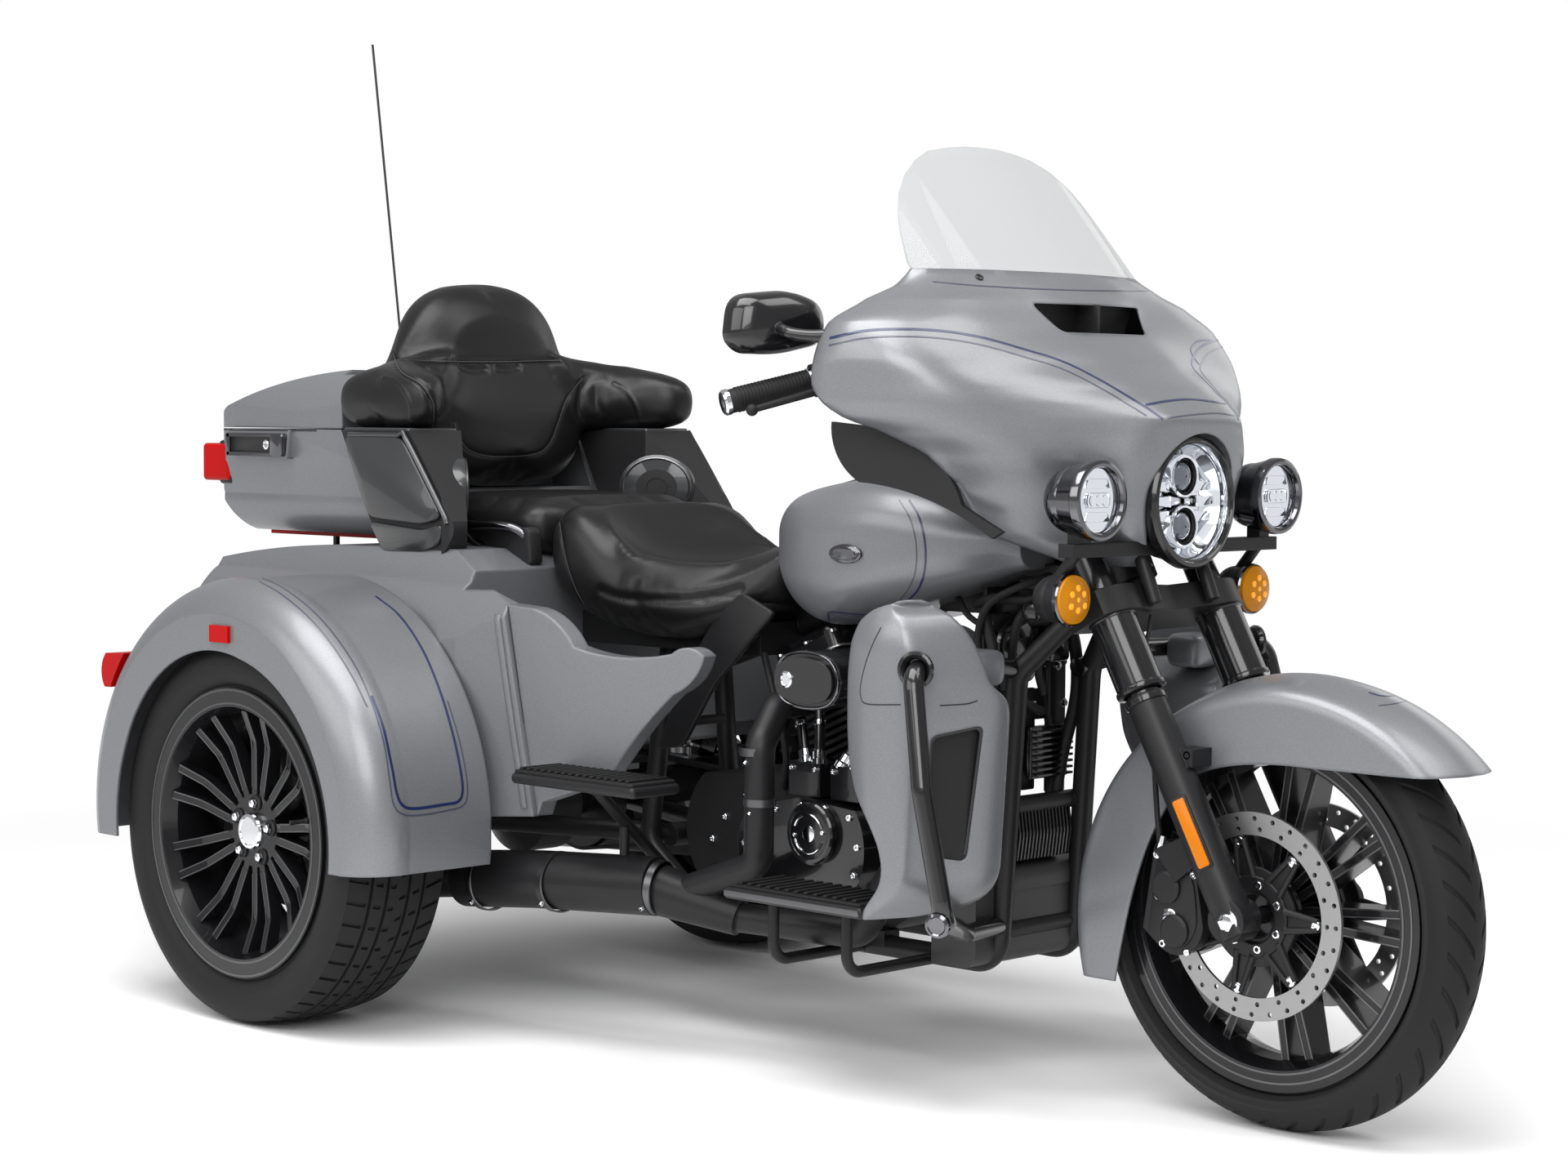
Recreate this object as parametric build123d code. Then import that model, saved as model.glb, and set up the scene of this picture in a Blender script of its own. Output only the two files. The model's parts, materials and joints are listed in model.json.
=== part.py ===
"""Three-wheeled touring motorcycle: one steered front wheel, two driven rear wheels, a finned V-twin engine,
a fork-mounted fairing, a hollow boot body between round rear mudguards and a hinged top case.

Frame: millimetres, +X forward, +Y to the rider's left, +Z up. The origin is on the ground, under the middle of
the overall length (whip aerial included) and width.
"""

from build123d import *
import math
import os

# ---------------------------------------------------------------- driving dimensions
overall_length = 2722.0        # front tyre to the tip of the raked aerial
wheelbase = 1670.0
front_tyre_radius = 319.0
front_tyre_width = 130.0
front_bead_radius = 241.0
rear_tyre_radius = 325.0
rear_tyre_width = 215.0
rear_bead_radius = 228.5
rear_wheel_y = 560.0           # half of the rear track
body_half_width = 692.0        # outer lip of the rear mudguards
rake_deg = 26.0                # steering axis, from vertical
fork_deg = 28.5                # fork legs, from vertical
trail = 100.0
fork_leg_y = 128.0
guard_half = 88.0              # half width of the front mudguard
seat_gap = 0.3                 # between a curved piece and what it sits on
running_gap = 6.0              # between pieces that move past each other
panel_wall = 4.0
body_wall = 6.0

front_axle_x = overall_length / 2 - front_tyre_radius
rear_axle_x = front_axle_x - wheelbase
crank_x = rear_axle_x + 900.0
crank_z = 340.0
TAN_RAKE = math.tan(math.radians(rake_deg))
TAN_FORK = math.tan(math.radians(fork_deg))


def from_rear(x):
    """An x measured forward from the rear axle."""
    return rear_axle_x + x


def from_crank(x):
    """An x measured forward from the crankshaft."""
    return crank_x + x


def from_front(x):
    """An x measured forward from the front axle."""
    return front_axle_x + x


def stem_x(z):
    """x of the steering axis at a height."""
    return front_axle_x + trail - z * TAN_RAKE


def fork_x(z):
    """x of a fork leg's centre line at a height."""
    return front_axle_x - (z - front_tyre_radius) * TAN_FORK


# ---------------------------------------------------------------- shape helpers
def outline(start, *steps):
    """Closed face from a start point. A step is an end point, or (point on the arc, end point)."""
    edges, here = [], start
    for step in steps:
        if isinstance(step[0], tuple):
            edges.append(ThreePointArc(here, step[0], step[1]))
            here = step[1]
        else:
            edges.append(Line(here, step))
            here = step
    if math.dist(here, start) > 1e-6:
        edges.append(Line(here, start))
    return make_face(edges)


def side_slab(face, y_low, y_high):
    """A side-view (x, z) face made solid from y_low to y_high."""
    return Pos(0, y_low, 0) * extrude(Plane.XZ * face, -(y_high - y_low))


def plan_slab(face, z_low, z_high):
    """A plan-view (x, y) face made solid from z_low to z_high."""
    return Pos(0, 0, z_low) * extrude(Plane.XY * face, z_high - z_low)


def turned(face, x=0.0, z=0.0):
    """A (radius, y) face turned about a cross-wise axis through x, z."""
    return Pos(x, 0, z) * revolve(Plane.XY * face, Axis.Y)


def turned_x(face, x=0.0, y=0.0, z=0.0):
    """A (x, radius) face turned about a lengthwise axis through y, z."""
    return Pos(x, y, z) * revolve(Plane.XY * face, Axis.X)


def rod(a, b, radius, end_radius=None):
    """A round bar between two points, tapered if it has an end radius."""
    a, b = Vector(*a), Vector(*b)
    plane = Plane(origin=a, z_dir=(b - a).normalized())
    length = (b - a).length
    if end_radius is None:
        body = Cylinder(radius, length, align=(Align.CENTER, Align.CENTER, Align.MIN))
    else:
        body = Cone(radius, end_radius, length, align=(Align.CENTER, Align.CENTER, Align.MIN))
    return plane * body


def pipe(points, radius, bend):
    """A round bar bent through points."""
    path = FilletPolyline(*points, radius=bend)
    return sweep(Plane(origin=path @ 0, z_dir=path % 0) * Circle(radius), path=path)


def block(low, high):
    """A box between two corners."""
    size = [h - l for l, h in zip(low, high)]
    return Pos(*[(l + h) / 2 for l, h in zip(low, high)]) * Box(*size)


def soft_block(low, high, edge):
    """A box between two corners with all its edges rounded."""
    body = block(low, high)
    return fillet(body.edges(), edge)


def across(sections):
    """A solid through upright sections. A section is (x, half width, z low, z high, corner radius, y centre)."""
    faces = []
    for x, half_width, z_low, z_high, corner, y in sections:
        plane = Plane(origin=(x, y, (z_low + z_high) / 2), x_dir=(0, 1, 0), z_dir=(1, 0, 0))
        faces.append(plane * RectangleRounded(2 * half_width, z_high - z_low, corner))
    return loft(faces)


def mirrored(shape):
    """The same piece on the other side of the vehicle."""
    return mirror(shape, Plane.XZ)


def both_sides(shape):
    """A piece and its mirror image, as separate solids of one node."""
    return Compound(children=[*shape.solids(), *mirrored(shape).solids()])


def solid_of(shape):
    """The pieces of a shape as one compound without empty children."""
    found = shape.solids()
    return found[0] if len(found) == 1 else Compound(children=list(found))


def seated(piece, *carriers):
    """A piece with the room of what carries it cut out, so that it sits against it."""
    for carrier in carriers:
        piece = piece - carrier
    return piece


nodes = {}

# ---------------------------------------------------------------- wheels and tyres
RIM_LIP = 16.0


def tyre(radius, width, bead_radius, rim_half, crown):
    """A tyre's solid section turned about its axle: bead, bulged wall and crowned tread."""
    half, shoulder = width / 2, radius - crown
    wall_r = (bead_radius + shoulder) / 2 + 8
    bead_top = bead_radius + RIM_LIP
    tread_half = half - 10
    return turned(outline(
        (bead_radius, -rim_half),
        (bead_top + 3, -rim_half),
        ((wall_r, -half), (shoulder, -tread_half)),
        ((radius, 0), (shoulder, tread_half)),
        ((wall_r, half), (bead_top + 3, rim_half)),
        (bead_radius, rim_half),
    ))


def rim(bead_radius, rim_half):
    """A rim barrel with a lip at each side, turned about its axle."""
    seat = bead_radius - seat_gap
    lip_in, lip_out = rim_half + seat_gap, rim_half + 8
    top, floor = bead_radius + RIM_LIP, bead_radius - 16
    return turned(outline(
        (seat, -lip_in), (top, -lip_in), (top, -lip_out), (floor, -lip_out),
        (floor - 10, -lip_out + 26), (floor - 14, 0), (floor - 10, lip_out - 26), (floor, lip_out),
        (top, lip_out), (top, lip_in), (seat, lip_in),
    ))


def spokes(count, hub_radius, rim_radius, root_half, tip_gap, leg_half, dish):
    """Forked spokes: pairs of legs from the hub to the rim, cut from a dished disc."""
    legs = Sketch()
    for side in (-1, 1):
        leg = outline(
            (hub_radius - 12, side * root_half - leg_half),
            (rim_radius, side * tip_gap - leg_half),
            (rim_radius, side * tip_gap + leg_half),
            (hub_radius - 12, side * root_half + leg_half),
        )
        legs = legs + leg
    star = Sketch()
    for k in range(count):
        star = star + legs.rotate(Axis.Z, k * 360.0 / count)
    return side_slab(star, -400, 400) & dish


front_rim_half = 44.0
front_spoke_pairs = 9
front_hub_radius = 42.0
front_hub_half = 58.0
front_disc_y = 79.0
front_disc_radius = 150.0
front_disc_inner = 117.0
disc_thickness = 5.0
axle_radius = 12.5

front_centre = Pos(front_axle_x, 0, front_tyre_radius)
nodes["front_tyre"] = front_centre * tyre(
    front_tyre_radius, front_tyre_width, front_bead_radius, front_rim_half, 34.0)


def front_wheel_solid():
    """Rim, forked spokes and hub of the front wheel, bored for the axle."""
    floor = front_bead_radius - 26
    dish = turned(outline(
        (front_hub_radius - 14, -40), (front_hub_radius + 25, -34), (floor + 4, -22),
        (floor + 4, 22), (front_hub_radius + 25, 34), (front_hub_radius - 14, 40)))
    star = spokes(front_spoke_pairs, front_hub_radius, floor + 4, 7.0, 21.0, 6.5, dish)
    hub = turned(outline(
        (axle_radius + seat_gap, -front_hub_half), (front_hub_radius - 6, -front_hub_half),
        (front_hub_radius, -40), (front_hub_radius, 40), (front_hub_radius - 6, front_hub_half),
        (axle_radius + seat_gap, front_hub_half)))
    flange = turned(outline((30, front_hub_half - 8), (62, front_hub_half - 8), (62, front_hub_half), (30, front_hub_half)))
    return rim(front_bead_radius, front_rim_half) + star + hub + flange + mirrored(flange)


nodes["front_wheel"] = front_centre * front_wheel_solid()


def brake_disc(outer, inner, thickness, hub_flange, arms, holes_rows, hole_radius):
    """A drilled friction ring with its carrier arms and flange, in the plane y = 0 to thickness."""
    ring = Circle(outer) - Circle(inner)
    for count, radius in holes_rows:
        for k in range(count):
            a = 2 * math.pi * k / count
            ring = ring - Pos(radius * math.cos(a), radius * math.sin(a)) * Circle(hole_radius)
    carrier = Circle(hub_flange + 14) - Circle(hub_flange - 20)
    for k in range(arms):
        arm = outline((hub_flange, -9), (inner + 6, -5), (inner + 6, 5), (hub_flange, 9))
        carrier = carrier + arm.rotate(Axis.Z, k * 360.0 / arms)
    return side_slab(ring + carrier, 0, thickness)


front_disc = brake_disc(front_disc_radius, front_disc_inner, disc_thickness, 58.0, 7,
                        ((21, 126.0), (28, 141.0)), 3.6)
disc_boss = turned(outline((32, front_hub_half + seat_gap), (56, front_hub_half + seat_gap),
                           (56, front_disc_y), (32, front_disc_y)))
nodes["front_brake_discs"] = front_centre * both_sides((Pos(0, front_disc_y, 0) * front_disc) + disc_boss)

rear_rim_half = 92.0
rear_spoke_pairs = 9
rear_hub_radius = 62.0
rear_hub_face = 58.0           # outward from the wheel's middle plane
rear_axle_radius = 22.0


def rear_wheel_solid():
    """Right rear wheel about the origin: deep rim, dished forked spokes and a hub with its cap."""
    floor = rear_bead_radius - 26
    dish = turned(outline(
        (30, -rear_hub_face), (rear_hub_radius + 8, -rear_hub_face), (150, -62), (floor + 3, -86),
        (floor + 3, -60), (150, -40), (rear_hub_radius + 8, -28), (30, -28)))
    star = spokes(rear_spoke_pairs, rear_hub_radius, floor + 3, 9.0, 26.0, 7.0, dish)
    hub = turned(outline(
        (rear_axle_radius + seat_gap, 10), (rear_hub_radius, 10), (rear_hub_radius, -rear_hub_face),
        (30, -rear_hub_face), (30, -rear_hub_face - 8), (0, -rear_hub_face - 10), (0, -30),
        (rear_axle_radius + seat_gap, -30)))
    return rim(rear_bead_radius, rear_rim_half) + star + hub


rear_tyre = tyre(rear_tyre_radius, rear_tyre_width, rear_bead_radius, rear_rim_half, 9.0)
rear_wheel = rear_wheel_solid()
rear_disc = Pos(0, 10, 0) * brake_disc(135.0, 95.0, 6.0, 50.0, 6, ((24, 116.0),), 3.6)
for side_name, sign in (("right", -1), ("left", 1)):
    centre = Pos(rear_axle_x, sign * rear_wheel_y, rear_tyre_radius)
    nodes["rear_tyre_" + side_name] = centre * rear_tyre
    turned_wheel = rear_wheel if sign < 0 else mirrored(rear_wheel)
    nodes["rear_wheel_" + side_name] = centre * turned_wheel
    turned_disc = rear_disc if sign < 0 else mirrored(rear_disc)
    nodes["rear_brake_disc_" + side_name] = centre * turned_disc

# ---------------------------------------------------------------- fork and steering
lower_yoke_z = 752.0
upper_yoke_z = 950.0
slider_radius = 29.0
cover_radius = 35.0
cover_low_z = 634.0
cover_high_z = 740.0
fork_tube_radius = 24.5
stem_radius = 16.0


def leg_point(z, side=-1, out=0.0):
    """A point on a fork leg's centre line, on the right unless side is 1."""
    return (fork_x(z) + out, side * fork_leg_y, z)


lower_leg = rod(leg_point(front_tyre_radius - 22), leg_point(cover_low_z - 8), slider_radius)
axle_boss = Pos(front_axle_x, -fork_leg_y, front_tyre_radius) * Rot(90, 0, 0) * Cylinder(31, 44)
fender_lug = block((fork_x(543) + 14, -fork_leg_y - 6, 530), (fork_x(543) + 48, -guard_half - seat_gap, 556))
nodes["fork_sliders"] = both_sides(lower_leg + axle_boss + fender_lug)
axle_bar = Pos(front_axle_x, 0, front_tyre_radius) * Rot(90, 0, 0) * Cylinder(axle_radius, 2 * fork_leg_y + 60)
nodes["fork_sliders"] = both_sides(seated(lower_leg + axle_boss + fender_lug, axle_bar))
spacer = turned(outline((axle_radius + seat_gap, front_hub_half + 1), (24, front_hub_half + 1),
                        (24, fork_leg_y - 22 - seat_gap), (axle_radius + seat_gap, fork_leg_y - 22 - seat_gap)))
nodes["front_axle"] = axle_bar

cover = rod(leg_point(cover_low_z), leg_point(cover_high_z), cover_radius)
tube = rod(leg_point(cover_low_z - 8 + seat_gap), leg_point(upper_yoke_z + 30), fork_tube_radius)
nodes["fork_tubes"] = both_sides(cover + tube)


def yoke(z, thickness):
    """A fork yoke square to the legs, from leg to leg, with a boss round the stem."""
    plate = outline(
        (-46, -fork_leg_y - 42), (20, -fork_leg_y - 42), ((40, -fork_leg_y), (34, -fork_leg_y + 40)),
        (24, 0), (34, fork_leg_y - 40), ((40, fork_leg_y), (20, fork_leg_y + 42)),
        (-46, fork_leg_y + 42), (-52, 40), (-58, 0), (-52, -40))
    return Pos(fork_x(z), 0, z) * Rot(0, -fork_deg, 0) * extrude(plate, thickness / 2, both=True)


stem = rod((stem_x(lower_yoke_z - 10), 0, lower_yoke_z - 10), (stem_x(upper_yoke_z + 22), 0, upper_yoke_z + 22), stem_radius)
yokes = yoke(lower_yoke_z, 40.0) + yoke(upper_yoke_z, 30.0) + stem
nodes["fork_yokes"] = seated(yokes, nodes["fork_tubes"])

# front mudguard: a crowned channel turned about a point ahead of and below the axle
guard_dx, guard_dz = 32.0, -32.0
guard_crown = 378.0
guard_shoulder = 352.0
guard_wall = 3.0


def guard_band(inset):
    """The mudguard's cross-section, drawn in by its wall where inset is set."""
    half, crown, shoulder = guard_half - inset, guard_crown - inset, guard_shoulder - inset
    return outline(
        (170, -half), (shoulder - 20, -half), ((shoulder + 2, -half + 8), (shoulder + 12, -half + 30)),
        ((crown, 0), (shoulder + 12, half - 30)), ((shoulder + 2, half - 8), (shoulder - 20, half)), (170, half))


guard_side = outline(
    (309, 222), ((330, 262), (320, 300)), (0, 420), (-430, 420), (-430, -126), (-246, -126),
    ((-212, 20), (-170, 118)), ((-130, 178), (-104, 194)), ((-20, 216), (91, 221)), (225, 221))
guard = turned(guard_band(0), guard_dx, guard_dz) - turned(guard_band(guard_wall), guard_dx, guard_dz)
nodes["front_mudguard"] = front_centre * (guard & side_slab(guard_side, -200, 200))

# brake calipers behind the legs
caliper_face = outline((-178, -34), (-160, 78), ((-150, 96), (-128, 92)), (-84, 60), (-70, -20), ((-96, -62), (-150, -56)))
caliper = side_slab(caliper_face, -front_disc_y - 30, -front_disc_y + 26)
disc_slot = side_slab(Circle(front_disc_radius + running_gap),
                      -front_disc_y - disc_thickness - 4, -front_disc_y + 4)
caliper_hanger = side_slab(outline((-112, 40), (-40, 100), (-58, 128), (-150, 84)), -front_disc_y - 42, -front_disc_y - 30)
nodes["front_calipers"] = both_sides(seated(front_centre * ((caliper - disc_slot) + caliper_hanger), lower_leg, axle_boss))

# ---------------------------------------------------------------- fairing, lamps and controls
# (height; x and half width of the back edge, the lobe's bulge, its shoulder and the brow; x of the nose)
FAIRING = (
    (1249.0, -501, 266, -462, 215, -440, 160, -426, 80, -419),
    (1225.0, -510, 288, -452, 262, -422, 190, -402, 100, -396),
    (1200.0, -522, 345, -448, 333, -402, 235, -386, 120, -368),
    (1165.0, -530, 412, -438, 392, -378, 270, -356, 104, -350),
    (1113.0, -540, 432, -418, 408, -350, 300, -285, 97, -279),
    (1074.0, -540, 436, -402, 396, -325, 300, -224, 96, -217),
    (1050.0, -525, 430, -396, 390, -310, 290, -188, 95, -182),
    (1028.0, -500, 412, -385, 372, -300, 275, -163, 94, -157),
    (1005.0, -460, 365, -365, 340, -290, 250, -168, 110, -160),
    (971.0, -414, 320, -345, 292, -278, 220, -175, 125, -166),
    (922.0, -393, 275, -340, 245, -285, 190, -189, 129, -178),
    (860.0, -376, 225, -330, 200, -292, 165, -199, 116, -188),
    (810.0, -300, 128, -285, 122, -265, 112, -232, 88, -222),
)
head_x, head_z = -193.0, 906.0
head_radius = 97.0


def fairing_slice(z, back, back_half, bulge, bulge_half, shoulder, shoulder_half, brow, brow_half, nose, inset=0.0):
    """One level slice of the fairing, drawn in by its wall where inset is set."""
    xs = [from_front(x) - share * inset for x, share in
          ((back, 2.0), (bulge, 0.7), (shoulder, 0.8), (brow, 1.0), (nose, 1.0))]
    ys = [half - share * inset for half, share in
          ((back_half, 1.0), (bulge_half, 0.7), (shoulder_half, 0.6), (brow_half, 0.4))]
    right = [(x, -y) for x, y in zip(xs, ys)]
    left = [(x, y) for x, y in zip(xs, ys)]
    face = outline(right[0], (right[1], right[2]), right[3], ((xs[4], 0), left[3]), left[2], (left[1], left[0]))
    return Pos(0, 0, z) * face


fairing_outer = loft([fairing_slice(*row) for row in FAIRING], ruled=True)
fairing_inner = loft([fairing_slice(*row, inset=panel_wall) for row in FAIRING], ruled=True)
head_hole = turned_x(outline((-140, 0), (-140, head_radius + 5), (80, head_radius + 5), (80, 0)), from_front(head_x), 0, head_z)
vent_face = outline((-124, 1200), (-98, 1154), (98, 1154), (124, 1200))
vent_bar = block((from_front(-400), -3, 1150), (from_front(-340), 3, 1204)) & fairing_outer
vent_cut = Pos(from_front(-410), 0, 0) * extrude(Plane.YZ * vent_face, 130) - vent_bar
fairing_shell = fairing_outer - fairing_inner - head_hole - vent_cut
nodes["fairing"] = fairing_shell

# dash: the inner half that closes the fairing towards the rider


def dash_slice(z, half_width, front):
    """One level slice of the dash, a shallow tray behind the fairing's back edge."""
    x1 = from_front(front)
    return Pos(0, 0, z) * outline((x1, -half_width), ((x1 - 64, 0), (x1, half_width)), ((x1 - 30, 0), (x1, -half_width)))


dash_table = ((1225.0, 288.0, -498.0), (1140.0, 422.0, -528.0), (1090.0, 434.0, -534.0), (1012.0, 372.0, -470.0), (940.0, 290.0, -396.0))
dash = loft([dash_slice(*row) for row in dash_table], ruled=True)
wing_face = outline((-574, 1021), ((-566, 974), (-530, 932)), ((-430, 908), (-345, 852)), (-332, 862), (-384, 900),
                    ((-420, 968), (-488, 1012)))
wing_plan = outline((-590, -366), ((-480, -330), (-320, -246)), (-320, -238), ((-480, -322), (-590, -358)))
dash_wing = Pos(front_axle_x, 0, 0) * (side_slab(wing_face, -420, -200) & plan_slab(wing_plan, 800, 1100))
nodes["dash"] = dash & (fairing_inner + block((from_front(-700), -372, 940), (from_front(-546), 372, 1200)))
nodes["dash"] = nodes["dash"] + seated(dash_wing, fairing_outer) + seated(mirrored(dash_wing), fairing_outer)

# windscreen: a curved sheet swept up and back from the fairing's top edge
screen_thickness = 4.0
screen_low, screen_rise, screen_back = FAIRING[0][0], 213.0, 190.0
screen_rim = fairing_slice(*FAIRING[0]) - fairing_slice(*FAIRING[0], inset=screen_thickness)
screen_sheet = extrude(screen_rim, amount=screen_rise + 40, dir=(-screen_back, 0, screen_rise))
front_view = outline((-270, 1200), (-264, 1262), ((-242, 1330), (-196, 1396)), ((-120, 1438), (0, 1450)),
                     ((120, 1438), (196, 1396)), ((242, 1330), (264, 1262)), (270, 1200))
screen_trim = Pos(from_front(-1000), 0, 0) * extrude(Plane.YZ * front_view, 1000)
nodes["windscreen"] = screen_sheet & screen_trim

# headlamp
lamp_shell = outline((-70, 0), (-70, 60), (-40, 86), (4, head_radius), (16, head_radius), (18, head_radius - 10), (2, head_radius - 12), (-30, 70), (-50, 0))
nodes["headlamp"] = turned_x(lamp_shell, from_front(head_x), 0, head_z)
headlamp_block = turned_x(outline((-70, 0), (-70, 60), (-40, 86), (4, head_radius), (16, head_radius), (16, 0)), from_front(head_x), 0, head_z)
lens = outline((3, 0), (3, head_radius - 12.1), (12, 62), (18, 30), (20, 0))
nodes["headlamp_lens"] = turned_x(lens, from_front(head_x), 0, head_z)

# lamp bar, passing lamps and indicators
passing = (-178.0, 217.0, 911.0)
indicator = (-228.0, 220.0, 767.0)
lamp_radius = 57.0
bullet = outline((-88, 0), ((-78, 36), (-44, 50)), (-12, lamp_radius), (0, lamp_radius), (0, lamp_radius - 8), (-10, lamp_radius - 10), (-10, 0))
one_lamp = turned_x(bullet, from_front(passing[0]), -passing[1], passing[2])
nodes["passing_lamps"] = both_sides(one_lamp)
lamp_glass = outline((-9.5, 0), (-9.5, lamp_radius - 11), (-4, 34), (-1, 16), (0, 0))
nodes["passing_lamp_lenses"] = both_sides(turned_x(lamp_glass, from_front(passing[0]), -passing[1], passing[2]))
bar_z = passing[2] - lamp_radius - 16
lamp_bar = side_slab(outline((-14, -10), (14, -10), (14, 10), (-14, 10)), -passing[1] - 30, passing[1] + 30)
lamp_bar = Pos(from_front(passing[0] - 40), 0, bar_z) * lamp_bar
lamp_foot = block((from_front(passing[0] - 52), -passing[1] - 12, bar_z + 10), (from_front(passing[0] - 28), -passing[1] + 12, passing[2] - 40))
lamp_foot = seated(lamp_foot, one_lamp)
indicator_post = rod((from_front(passing[0] - 40), -indicator[1], bar_z), (from_front(indicator[0] - 24), -indicator[1], indicator[2] + 30), 9)
bar_bracket = rod((from_front(passing[0] - 46), -70, bar_z - 4), (fork_x(lower_yoke_z) + 42, -70, lower_yoke_z + 6), 11)
turn_shell = outline((-62, 0), ((-54, 24), (-26, 34)), (-4, 37), (-4, 0))
turn_lens = outline((-3.5, 0), (-3.5, 37), (6, 35), (11, 22), (13, 8), (13, 0))
one_turn = turned_x(turn_shell, from_front(indicator[0]), -indicator[1], indicator[2])
indicator_post = seated(indicator_post, one_turn)
half_bar = lamp_foot + indicator_post + bar_bracket
nodes["lamp_bar"] = seated(lamp_bar + half_bar + mirrored(half_bar), nodes["passing_lamps"], headlamp_block, nodes["fork_yokes"], nodes["fork_tubes"])
nodes["indicators"] = both_sides(one_turn)
nodes["indicator_lenses"] = both_sides(turned_x(turn_lens, from_front(indicator[0]), -indicator[1], indicator[2]))

# handlebar with risers, grips and levers
bar_points = ((stem_x(990) - 40, 0, 1046), (stem_x(990) - 40, -110, 1046), (from_front(-560), -210, 1090),
              (from_front(-585), -330, 1092), (from_front(-668), -480, 1050))
half_handlebar = pipe(bar_points, 12.7, 38)
riser = rod((stem_x(upper_yoke_z) - 2, -52, upper_yoke_z - 8), (stem_x(990) - 40, -52, 1046), 17)
nodes["handlebar"] = seated(half_handlebar + mirrored(half_handlebar) + riser + mirrored(riser), nodes["fork_yokes"], nodes["fork_tubes"])
grip_a, grip_b = Vector(*bar_points[3]), Vector(*bar_points[4])
grip_dir = (grip_b - grip_a).normalized()
grip_low, grip_high = grip_a + grip_dir * 46, grip_b + grip_dir * 4
grip = rod(tuple(grip_low), tuple(grip_high), 18) - rod(tuple(grip_a), tuple(grip_b), 12.7 + seat_gap)
switch = rod(tuple(grip_a + grip_dir * 6), tuple(grip_low - grip_dir * 0.5), 25) - rod(tuple(grip_a), tuple(grip_b), 12.7 + seat_gap)
nodes["grips"] = both_sides(grip)
lever_root = grip_a + grip_dir * 22 + Vector(40, 0, -8)
lever_tip = grip_b + grip_dir * -6 + Vector(38, 0, -14)
lever = rod(tuple(lever_root), tuple(lever_tip), 7, 5) + Pos(*tuple(lever_tip)) * Sphere(9)
lever_perch = rod(tuple(grip_a + grip_dir * 24), tuple(lever_root), 13)
lever_perch = lever_perch - rod(tuple(grip_a), tuple(grip_b), 12.7 + seat_gap)
nodes["hand_controls"] = both_sides(switch + lever + lever_perch)

# mirrors
mirror_centre = (from_front(-640), -408, 1167)
mirror_body = Pos(*mirror_centre) * Rot(0, 0, -12) * soft_block((-26, -82, -48), (26, 82, 48), 24)
mirror_stem = rod((from_front(-520), -404, 1148), (mirror_centre[0] + 10, -420, 1162), 8)
nodes["mirrors"] = both_sides(seated(mirror_body + mirror_stem, nodes["fairing"]))
leg_room = rod(leg_point(cover_low_z), leg_point(upper_yoke_z + 34), cover_radius + 4)
nodes["fairing"] = seated(nodes["fairing"], leg_room, mirrored(leg_room), nodes["lamp_bar"])
nodes["dash"] = seated(nodes["dash"], nodes["mirrors"], nodes["handlebar"], nodes["hand_controls"], nodes["grips"], leg_room, mirrored(leg_room), nodes["headlamp"])

# ---------------------------------------------------------------- chassis frame
frame_tube = 17.0
backbone_radius = 26.0
head_low, head_high = lower_yoke_z + 32, upper_yoke_z - 26
head_tube = rod((stem_x(head_low), 0, head_low), (stem_x(head_high), 0, head_high), 33)
head_bore = rod((stem_x(head_low - 30), 0, head_low - 30), (stem_x(head_high + 30), 0, head_high + 30), stem_radius + seat_gap)
cradle_z = 190.0
body_front_x = 262.0
backbone = pipe(((stem_x(850) - 10, 0, 850), (from_crank(110), 0, 790), (from_rear(430), 0, 600)), backbone_radius, 120)
down_points = ((stem_x(800) - 12, -14, 800), (from_crank(330), -88, 640), (from_crank(300), -92, cradle_z),
               (from_crank(-330), -100, cradle_z), (from_rear(420), -100, 300), (from_rear(430), -60, 644))
cradle = pipe(down_points, frame_tube, 46)
cross_members = [rod((from_crank(x), -92, z), (from_crank(x), 92, z), 14) for x, z in ((300, 432), (296, 240), (-320, cradle_z))]
frame_body = head_tube + backbone + cradle + mirrored(cradle)
for member in cross_members:
    frame_body = frame_body + member
stays = rod((from_rear(430), -66, 560), (from_rear(body_front_x), -66, 560), 15)
stays = stays + block((from_crank(-110), -112, cradle_z), (from_crank(-70), -76, 216)) + block((from_crank(40), -112, cradle_z), (from_crank(80), -76, 216))
frame_body = (frame_body + stays + mirrored(stays)) - head_bore


# ---------------------------------------------------------------- engine and gearbox
cylinder_angle = 22.5          # each side of vertical
cylinder_base = 112.0          # from the crank centre to the foot of a cylinder
head_base = 236.0
cover_base = 316.0
cover_top = 362.0
fin_pitch = 13.0
fin_thickness = 6.0
case_half = 92.0
primary_y = 170.0
cam_y = -186.0

case_side = outline((150, -40), ((168, 20), (140, 92)), (60, 128), (-60, 128), (-150, 96), (-350, 90),
                    ((-392, 20), (-350, -100)), (-60, -128), ((60, -128), (120, -96)))
crankcase = Pos(crank_x, 0, crank_z) * side_slab(case_side, -case_half, case_half)
cylinder_slot = Pos(crank_x, 0, crank_z)
nodes["crankcase"] = crankcase


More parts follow.
